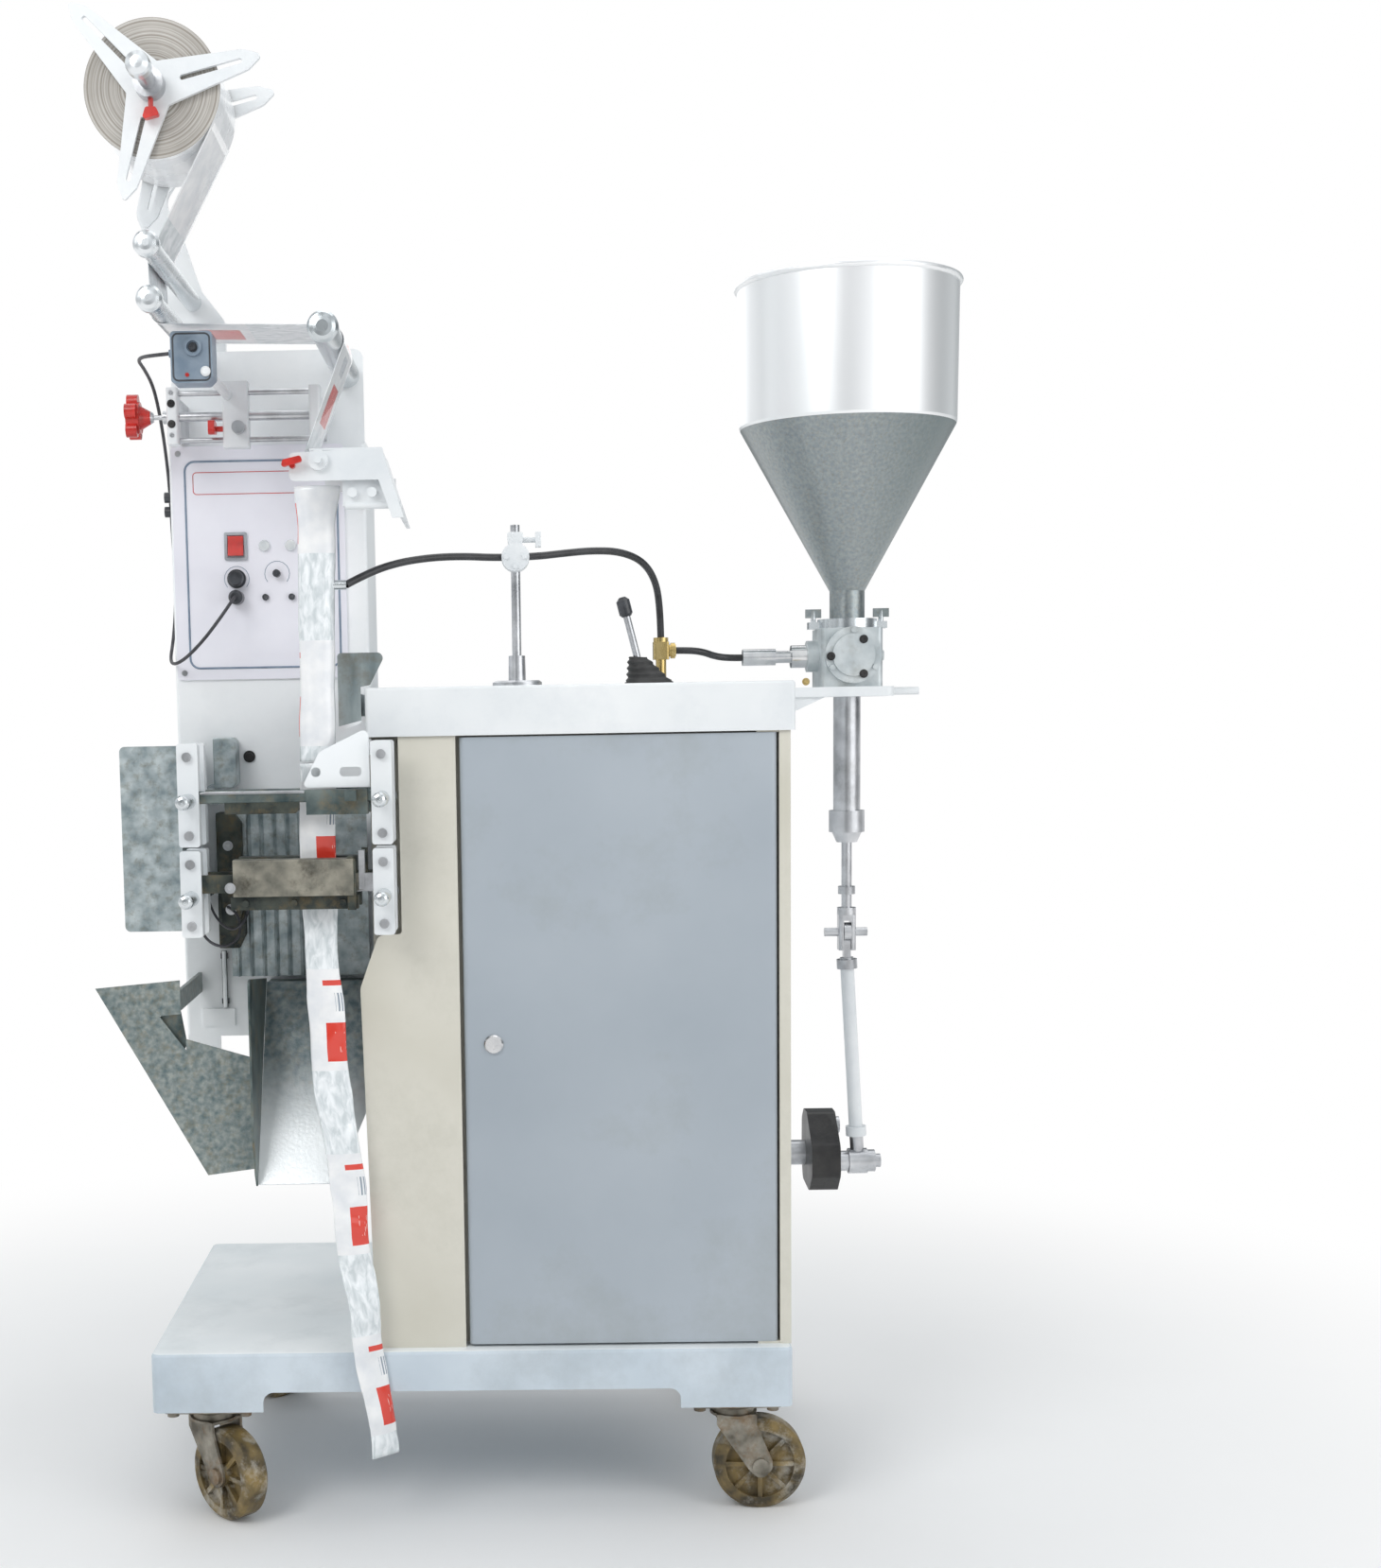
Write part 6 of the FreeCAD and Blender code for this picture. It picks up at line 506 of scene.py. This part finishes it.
def film_sleeve():
    """Sleeve folded round the tube, its two edges meeting on the right."""
    rows, lengths = [], []
    z = SLEEVE_TOP
    while z >= SLEEVE_END:
        middle, half = course(z)
        row = []
        for i in range(COLUMNS + 1):
            angle = math.radians(7 + 346 * i / COLUMNS)
            c, s = math.cos(angle), math.sin(angle)
            x = middle + half * c
            y = FILM_Y + SLEEVE_DEPTH * math.copysign(abs(s) ** 0.8, s)
            row.append((x + crumple(x, y, z, 0.03, 0.9), y + crumple(y, z, x, 0.04, 0.9), z))
        rows.append(row)
        lengths.append((SLEEVE_TOP - z) * MM + 0.035)
        z -= ROW_STEP
    ribbon("sleeve_ribbon", rows, lengths, 0.42)


def pouch_strip():
    """Chain of filled pouches: flat across each seal, plump and creased between."""
    rows, lengths = [], []
    z = STRIP_TOP
    while z >= STRIP_END:
        middle, half = course(z)
        if z > SEAL_BOTTOM:
            swell = 0.0
            if SEAL_TOP <= z <= SEAM_BOTTOM:
                swell = math.sin(math.pi * (z - SEAL_TOP) / 43)
            depth = 0.35 + 3.4 * swell + 11.4 * max(0.0, (z - SEAM_TOP) / 24)
        else:
            phase = ((SEAL_BOTTOM - z) / SEAL_PITCH) % 1.0
            swell = 0.0
            if 0.06 < phase < 0.94:
                swell = max(0.0, math.sin(math.pi * (phase - 0.06) / 0.88)) ** 0.6
            depth, half = 0.7 + 3.6 * swell, half - 1.4 * swell
        fall = max(0.0, (TURN_START - z) / (TURN_START - STRIP_END))
        turn = math.radians(40 * fall)
        row = []
        for i in range(COLUMNS + 1):
            angle = 2 * math.pi * i / COLUMNS
            a, b = half * math.cos(angle), depth * math.sin(angle)
            b += crumple(a, z, 3 * math.copysign(1, b), 0.07, 1.6) * min(1.0, depth / 3)
            b += crumple(a, z, 9, 0.025, 2.0) * min(1.0, fall * 4)
            front = FILM_Y - 9 * min(1.0, 2 * fall)
            row.append((middle + a * math.cos(turn) - b * math.sin(turn),
                        front + a * math.sin(turn) + b * math.cos(turn), z))
        rows.append(row)
        lengths.append((785.0 - z) * MM + 2.13 * PRINT_PITCH)
        z -= ROW_STEP
    ribbon("pouch_strip", rows, lengths, 0.76)


web = film_web()
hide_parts("film_web")
film_sleeve()
pouch_strip()

LEVER_X, LEVER_Y, LEVER_FOOT, BOOT_HEIGHT = 209.0, -100.0, 914.0, 30.0


def ring_faces(rings, around):
    """Faces between rings of points that follow each other, with so many points around."""
    return [(row * around + i, row * around + (i + 1) % around,
             (row + 1) * around + (i + 1) % around, (row + 1) * around + i)
            for row in range(rings - 1) for i in range(around)]


def bellows_boot():
    """Rubber bellows that leans with the lever, its foot held on the cover."""
    profile = [(0.0, 27.0), (2.6, 27.0), (3.0, 25.6)]
    profile += [(3.0 + 27.0 * i / 24, 25.0 - 14.6 * i / 24 + 1.1 * math.sin(i * math.pi / 3))
                for i in range(1, 25)]
    around = 32
    corners = []
    for height, radius in profile:
        lean = 12.5 * max(0.0, height - 3.0) / 27.0
        corners += [point(LEVER_X - lean + radius * math.cos(2 * math.pi * i / around),
                          LEVER_Y + radius * math.sin(2 * math.pi * i / around),
                          LEVER_FOOT + height)
                    for i in range(around)]
    mesh = bpy.data.meshes.new("bellows_boot")
    mesh.from_pydata(corners, [], ring_faces(len(profile), around))
    for polygon in mesh.polygons:
        polygon.use_smooth = True
    boot = add_object("bellows_boot", mesh, "boot")
    wall = boot.modifiers.new("wall", "SOLIDIFY")
    wall.thickness = 1.6 * MM
    wall.offset = -1.0
    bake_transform(boot)
    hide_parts("lever_boot")


bellows_boot()


def paint_region(node, look, begin, end):
    """Gives the faces of a node whose middles lie in a box (millimetres) another finish."""
    obj = NODES[node]
    if LOOKS[look].name not in [m.name for m in obj.data.materials]:
        obj.data.materials.append(LOOKS[look])
    index = [m.name for m in obj.data.materials].index(LOOKS[look].name)
    for polygon in obj.data.polygons:
        middle = polygon.center / MM
        if all(a <= v <= b for a, v, b in zip(begin, middle, end)):
            polygon.material_index = index


FAR = 5000.0
paint_region("film_former", "white_paint", (-FAR, -FAR, 1000), (FAR, FAR, FAR))
paint_region("film_former", "dark_sheet", (-FAR, -FAR, -FAR), (FAR, FAR, 1000))
paint_region("hopper", "cone_steel", (-FAR, -FAR, 990), (FAR, FAR, 1202))
paint_region("hopper", "mirror", (-FAR, -FAR, 1202.5), (FAR, FAR, FAR))
paint_region("film_roll", "roll_wrap", (-FAR, -FAR, -FAR), (FAR, FAR, FAR))
paint_region("film_roll", "wound_film", (-FAR, -FAR, -FAR), (FAR, -294, FAR))
paint_region("film_roll", "wound_film", (-FAR, -186, -FAR), (FAR, FAR, FAR))
paint_region("film_guides", "funnel", (-FAR, -FAR, 872), (FAR, FAR, FAR))
paint_region("discharge_chute", "wing_sheet", (-FAR, -FAR, -FAR), (-229, FAR, FAR))
paint_region("discharge_chute", "chute_sheet", (-229, -FAR, -FAR), (FAR, FAR, FAR))
# Painted light: the platform's top gets a lighter copy of its paint.
paint_region("base_platform", "platform_top_painted_light", (-FAR, -FAR, 194.5), (FAR, FAR, FAR))
# Painted light: the column gets the lighter copy of the white paint.
paint_region("column_body", "column_paint_with_painted_light", (-FAR, -FAR, -FAR), (FAR, FAR, FAR))
# Painted shade: the chute's left wall gets the dark sheet finish.
paint_region("discharge_chute", "dark_sheet", (-229, -FAR, -FAR), (-225.5, FAR, FAR))
paint_region("film_former", "red_plastic", (-175, -318, 1131), (-148, -310.5, 1146))
paint_region("film_former", "red_plastic", (-164.5, -314, 1131), (-157, -305, 1140))
paint_region("film_spindle", "white_paint", (-FAR, -303, -FAR), (FAR, -296, FAR))
paint_region("film_spindle", "white_paint", (-FAR, -184, -FAR), (FAR, -177, FAR))
paint_region("film_spindle", "red_plastic", (-FAR, -FAR, 1470), (FAR, -307, 1492))
paint_region("film_spindle", "polished", (-FAR, -FAR, -FAR), (FAR, -358, FAR))
paint_region("sensor_carriage", "red_plastic", (-270, -170, 1185), (-251, -144, 1206))
paint_region("sensor_carriage", "white_paint", (-FAR, -FAR, 1222), (FAR, -149.5, 1240))
paint_region("sensor_carriage", "white_paint", (-252.6, -149.2, -FAR), (-223.4, -130.8, FAR))
paint_region("sensor_slide", "white_paint", (-312.2, -153.2, 1179), (-299.8, -129.8, 1241))
paint_region("sensor_slide", "white_paint", (-158.2, -153.2, 1179), (-145.8, -129.8, 1241))
paint_region("adjust_screw", "steel", (-331, -FAR, -FAR), (FAR, FAR, FAR))
paint_region("control_panel", "lamp", (-227, -84, 1066), (-181, -78.1, 1086))
paint_region("control_panel", "dark_plastic", (-262, -FAR, 1010), (-240, -78.1, 1028))
paint_region("control_panel", "dark_plastic", (-227, -FAR, 1014), (-184, -78.1, 1026))
paint_region("control_panel", "bezel", (-265, -FAR, 1059), (-237, -78.1, 1093))
paint_region("control_panel", "steel", (-FAR, -FAR, 928), (-309, -78.1, 942))
paint_region("control_panel", "steel", (-FAR, -FAR, 1173), (-309, -78.1, 1187))
paint_region("column_body", "dark_plastic", (-340, -FAR, 1105), (-324.5, FAR, 1145))
paint_region("column_body", "steel", (-FAR, -FAR, 1240), (FAR, -76, 1285))
paint_region("column_body", "dark_plastic", (-284, -82, 553), (-270, -76, 622))
paint_region("clutch_lever", "dark_plastic", (-FAR, -FAR, 986), (FAR, FAR, FAR))
paint_region("hose_stand", "white_paint", (-FAR, -FAR, 1035), (FAR, -136, 1082))
paint_region("rocker_arm", "steel", (-FAR, -FAR, -FAR), (401, FAR, FAR))
paint_region("rocker_arm", "steel", (436.5, -FAR, -FAR), (FAR, FAR, FAR))
paint_region("con_rod", "white_paint", (-FAR, -FAR, 380), (FAR, FAR, 560))
for jaw in ("jaw_front", "jaw_rear"):
    paint_region(jaw, "grimy", (-244, -FAR, 697.5), (-106, FAR, 738))
for yoke in ("jaw_front", "jaw_rear", "seam_bar_front", "seam_bar_rear"):
    paint_region(yoke, "white_paint", (-FAR, -FAR, -FAR), (-271, FAR, FAR))
    paint_region(yoke, "white_paint", (-93, -FAR, -FAR), (FAR, FAR, FAR))
# Painted light: this part of the film guides gets the lighter copy of the white paint.
paint_region("film_guides", "column_paint_with_painted_light", (-FAR, -263, 800), (FAR, -197, 880))
paint_region("cabinet_body", "white_paint", (-FAR, -197.5, -FAR), (FAR, FAR, FAR))
paint_region("valve_body", "satin", (395, -FAR, -FAR), (FAR, FAR, FAR))
paint_region("valve_body", "lock", (-FAR, -FAR, -FAR), (395, FAR, FAR))
for yoke in ("jaw_front", "seam_bar_front"):
    paint_region(yoke, "steel", (-93, -FAR, -FAR), (FAR, -270.6, FAR))
    paint_region(yoke, "steel", (-FAR, -FAR, -FAR), (-271.5, -270.6, FAR))
paint_region("seam_bar_front", "dark_sheet", (-271.5, -FAR, -FAR), (-92.5, FAR, FAR))
paint_region("jaw_front", "works", (-271.5, -FAR, -FAR), (-238.5, FAR, FAR))
paint_region("jaw_front", "works", (-244, -FAR, -FAR), (-106, FAR, 698.5))
paint_region("seam_bar_rear", "dark_sheet", (-270.5, -FAR, -FAR), (-93.5, FAR, FAR))
paint_region("jaw_rear", "works", (-270.5, -FAR, -FAR), (-93.5, FAR, FAR))


# Small pieces that the solids leave out
def rounded_strip(name, path, width, body, look, closed=True):
    """Low bead that follows a path given in millimetres."""
    obj = round_line(name, path, width / 2, look, "POLY")
    obj.data.splines[0].use_cyclic_u = closed
    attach(obj, body)


def rounded_rectangle(x0, x1, z0, z1, y, radius):
    """Points round a rectangle with rounded corners, in a plane seen from the front."""
    corners = [(x1 - radius, z1 - radius, 0), (x0 + radius, z1 - radius, 90),
               (x0 + radius, z0 + radius, 180), (x1 - radius, z0 + radius, 270)]
    return [(cx + radius * math.cos(math.radians(start + 15 * i)), y,
             cz + radius * math.sin(math.radians(start + 15 * i)))
            for cx, cz, start in corners for i in range(7)]


FACE_Y = -78.0
rounded_strip("panel_line", rounded_rectangle(-306, -136, 941, 1170, FACE_Y, 11), 2.4,
              "machine", "line")
rounded_strip("panel_fine_line", rounded_rectangle(-297, -145, 1134, 1158, FACE_Y, 4), 0.9,
              "machine", "red_plastic")
for index, (x, z) in enumerate(((-205.5, 1045), (-251, 1040))):
    rounded_strip("dial_ring_%d" % index, [
        (x + 14 * math.cos(math.radians(a)), FACE_Y, z + 14 * math.sin(math.radians(a)))
        for a in range(-40, 221, 20)], 0.7, "machine", "line", closed=False)


def wire(name, path, radius):
    """Heater lead beside the jaws."""
    obj = round_line(name, path, radius, "cable")
    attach(obj, "machine")


wire("heater_lead_1", [(-300, -77, 700), (-300, -110, 690), (-296, -150, 664), (-284, -175, 642),
                       (-262, -180, 634), (-246, -170, 646), (-250, -150, 668), (-268, -120, 676),
                       (-280, -77, 672)], 1.6)
wire("heater_lead_2", [(-296, -77, 716), (-292, -120, 700), (-276, -165, 668), (-254, -185, 652),
                       (-238, -178, 664), (-236, -150, 690), (-240, -110, 700), (-244, -77, 704)],
     1.4)


def mesh_piece(name, corners, faces, body, look, bevel=0.0):
    """Piece made of corners in millimetres, its edges rounded where a bevel is given."""
    mesh = bpy.data.meshes.new(name)
    mesh.from_pydata([point(*c) for c in corners], [], faces)
    mesh.update()
    obj = add_object(name, mesh, look)
    if bevel:
        soften = obj.modifiers.new("edges", "BEVEL")
        soften.width = bevel * MM
        soften.segments = 2
        soften.limit_method = "ANGLE"
    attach(obj, body)


def cut_plate(name, outline, front, back, body, look, bevel=0.8):
    """Plate with a given outline of x and z, from its front to its back."""
    count = len(outline)
    corners = [(x, front, z) for x, z in outline] + [(x, back, z) for x, z in outline]
    faces = [tuple(range(count)), tuple(reversed(range(count, 2 * count)))]
    faces += [(i, i + count, (i + 1) % count + count, (i + 1) % count) for i in range(count)]
    mesh_piece(name, corners, faces, body, look, bevel)


def stud(name, place, radius, body, look, rise=3.5, sides=6):
    """Bolt head seen from the front: washer, then a head with chamfered edge and a dimple."""
    x, y, z = place
    rings = [(1.35 * radius, 0.0, 20), (1.35 * radius, 0.9, 20), (radius, 0.9, sides),
             (radius, rise - 0.6, sides), (0.86 * radius, rise, sides), (0.5 * radius, rise, sides),
             (0.42 * radius, rise - 0.7, sides)]
    corners = []
    around = 20 if sides == 20 else 4 * sides
    for reach, height, edges in rings:
        for i in range(around):
            a = 2 * math.pi * i / around
            part = a % (2 * math.pi / edges) - math.pi / edges
            r = reach * (math.cos(math.pi / edges) / math.cos(part) if edges == 6 else 1.0)
            corners.append((x + r * math.cos(a), y - height, z + r * math.sin(a)))
    faces = ring_faces(len(rings), around)
    faces.append(tuple(reversed(range(around))))
    faces.append(tuple(range((len(rings) - 1) * around, len(rings) * around)))
    mesh_piece(name, corners, faces, body, look)


# Dark strip below the seam bar's upper edge: painted shade under the bar.
cut_plate("painted_shade_under_bar", [(-246, 784.5), (-172, 784.5), (-168, 788), (-168, 797.5), (-246, 797.5)],
          -266, -256, "seam_front", "works", 1.0)
cut_plate("bar_edge", [(-271, 805.6), (-162, 805.6), (-162, 808.4), (-266, 808.4), (-271, 807.4)],
          -268.6, -262, "seam_front", "steel", 0.5)
cut_plate("slide_block", [(-279, 807), (-258, 807), (-254, 812), (-254, 858), (-258, 863),
                          (-279, 863)], -112, -76, "machine", "guard", 1.2)
cut_plate("link_plate", [(-279, 626), (-256, 626), (-248, 642), (-248, 700), (-256, 716),
                         (-250, 730), (-250, 768), (-258, 779), (-279, 779)],
          -108, -76, "machine", "works", 1.2)
cut_plate("link_plate_lower", [(-274, 652), (-256, 652), (-250, 668), (-250, 690), (-274, 690)],
          -118, -110, "machine", "works", 1.0)
# Dark plate behind the wing's notch: painted shade where the floor would show through.
cut_plate("notch_painted_shade", [(-330, 530), (-303, 530), (-300, 536), (-306, 572), (-330, 566)],
          -226, -221, "machine", "dark_sheet", 0.8)
cut_plate("jaw_end_cap", [(-119, 683), (-110, 683), (-110, 735), (-114, 739), (-119, 739)],
          -274, -255, "seal_front", "works", 0.8)
stud("slide_bolt", (-243, -76, 841), 5.0, "machine", "black_iron")
stud("link_bolt_1", (-266, -108, 742), 4.2, "machine", "steel")
stud("link_bolt_2", (-263, -118, 671), 4.6, "machine", "steel")
stud("jaw_bolt", (-241, -276, 708), 4.2, "seal_front", "steel", 3.0)
for index, (x, z) in enumerate(((455.8, 961.4), (418.8, 942.7), (455.9, 922.4))):
    stud("valve_screw_%d" % index, (x, -50, z), 3.6, "machine", "black_iron", 2.4, 20)
for index, (z, radius) in enumerate(((1234.4, 1.9), (1222.8, 3.2), (1201.2, 3.2), (1189.5, 1.9))):
    stud("slide_screw_%d" % index, (-306.5, -152.8, z), radius, "machine",
         "black_iron" if radius > 2 else "steel", 2.0, 20)
stud("sensor_lens", (-258.3, -303, 1255), 3.4, "carriage", "dark_plastic", 4.2, 20)
stud("sensor_lamp", (-264.7, -303, 1228), 1.5, "carriage", "red_plastic", 1.2, 20)
rounded_strip("sensor_rim", rounded_rectangle(-278.5, -241.5, 1222.5, 1268.5, -303, 5), 1.8,
              "carriage", "dark_plastic")
stud("bleed_fitting", (390.8, -47, 914.5), 3.2, "machine", "brass", 5.0)

# ---------------------------------------------------------------- camera
PHOTO_WIDTH, PHOTO_HEIGHT = 1460.0, 1658.0
FOCAL, SENSOR_WIDTH = 2146.2, 36.0
CENTRE_X, CENTRE_Y = 505.6, 983.3
EYE = point(57.7, -2382.3, 884.5)
YAW, PITCH, ROLL = -0.0193, 0.1060, -0.0176
ahead = Vector((math.sin(YAW) * math.cos(PITCH), math.cos(YAW) * math.cos(PITCH),
                -math.sin(PITCH)))
level = Vector((math.cos(YAW), -math.sin(YAW), 0))
above = level.cross(ahead)
right = level * math.cos(ROLL) + above * math.sin(ROLL)
up = above * math.cos(ROLL) - level * math.sin(ROLL)
camera_data = bpy.data.cameras.new("camera")
camera = add_object("camera", camera_data)
camera.matrix_world = Matrix((
    (right.x, up.x, -ahead.x, EYE.x), (right.y, up.y, -ahead.y, EYE.y),
    (right.z, up.z, -ahead.z, EYE.z), (0, 0, 0, 1)))
camera_data.sensor_width = SENSOR_WIDTH
camera_data.lens = FOCAL * SENSOR_WIDTH / PHOTO_HEIGHT
camera_data.shift_x = (PHOTO_WIDTH / 2 - CENTRE_X) / PHOTO_HEIGHT
camera_data.shift_y = (CENTRE_Y - PHOTO_HEIGHT / 2) / PHOTO_HEIGHT
camera_data.clip_end = 60.0
bpy.context.scene.camera = camera


# ---------------------------------------------------------------- floor, backdrop and light
def stage_sheet(name, corners):
    """Pale sheet under the machine that fades into plain white."""
    mesh = bpy.data.meshes.new(name)
    mesh.from_pydata([point(*c) for c in corners], [], [(0, 1, 2, 3)])
    obj = add_object(name, mesh)
    look = surface(name, (0.84, 0.84, 0.84), (0.88, 0.88, 0.88), (0.7, 0.9), scale=1.2, grain=0.0)
    obj.data.materials.append(look)
    nodes, links = look.node_tree.nodes, look.node_tree.links
    place = nodes.new("ShaderNodeTexCoord")
    reach = nodes.new("ShaderNodeVectorMath")
    reach.operation = "LENGTH"
    links.new(place.outputs["Object"], reach.inputs[0])
    fade = nodes.new("ShaderNodeMapRange")
    fade.interpolation_type = "SMOOTHSTEP"
    fade.inputs["From Min"].default_value = 0.55
    fade.inputs["From Max"].default_value = 1.7
    links.new(reach.outputs["Value"], fade.inputs["Value"])
    glow = nodes.new("ShaderNodeEmission")
    glow.inputs["Color"].default_value = (1, 1, 1, 1)
    join = nodes.new("ShaderNodeMixShader")
    links.new(fade.outputs["Result"], join.inputs["Fac"])
    links.new(nodes["Principled BSDF"].outputs["BSDF"], join.inputs[1])
    links.new(glow.outputs["Emission"], join.inputs[2])
    links.new(join.outputs["Shader"], nodes["Material Output"].inputs["Surface"])


stage_sheet("floor", [(-9000, -6000, 0), (9000, -6000, 0), (9000, 9000, 0), (-9000, 9000, 0)])


def area_light(name, place, target, size, power):
    """Rectangular lamp at a place that points at a target."""
    data = bpy.data.lights.new(name, "AREA")
    data.shape = "RECTANGLE"
    data.size, data.size_y = size
    data.energy = power
    obj = add_object(name, data)
    obj.location = point(*place)
    obj.rotation_euler = (point(*target) - obj.location).to_track_quat("-Z", "Y").to_euler()


area_light("key", (-1500, -2400, 2700), (0, 0, 800), (1.6, 1.6), 41)
area_light("fill", (2300, -1900, 1500), (100, 0, 800), (2.2, 1.8), 21)
area_light("top", (0, 300, 3600), (0, 0, 0), (3.0, 3.0), 27)
area_light("back", (-700, 2600, 2200), (0, 0, 900), (2.4, 1.6), 14)

world = bpy.data.worlds.new("world")
world.use_nodes = True
bpy.context.scene.world = world
nodes, links = world.node_tree.nodes, world.node_tree.links
soft = nodes["Background"]
soft.inputs["Strength"].default_value = 0.8
way = nodes.new("ShaderNodeTexCoord")
tall = nodes.new("ShaderNodeMapping")
tall.inputs["Scale"].default_value = (1.0, 1.0, 0.22)
links.new(way.outputs["Generated"], tall.inputs["Vector"])
panels = nodes.new("ShaderNodeTexNoise")
panels.inputs["Scale"].default_value = 2.3
panels.inputs["Detail"].default_value = 1.0
links.new(tall.outputs["Vector"], panels.inputs["Vector"])
room = tone_ramp(nodes, 0.40, (0.13, 0.15, 0.16), 0.60, (1.15, 1.18, 1.2))
links.new(panels.outputs["Fac"], room.inputs["Fac"])
links.new(room.outputs["Color"], soft.inputs["Color"])
white = nodes.new("ShaderNodeBackground")
white.inputs["Color"].default_value = (1, 1, 1, 1)
white.inputs["Strength"].default_value = 1.0
path = nodes.new("ShaderNodeLightPath")
mix = nodes.new("ShaderNodeMixShader")
links.new(path.outputs["Is Camera Ray"], mix.inputs["Fac"])
links.new(soft.outputs["Background"], mix.inputs[1])
links.new(white.outputs["Background"], mix.inputs[2])
links.new(mix.outputs["Shader"], nodes["World Output"].inputs["Surface"])
bpy.context.scene.view_settings.view_transform = "Standard"
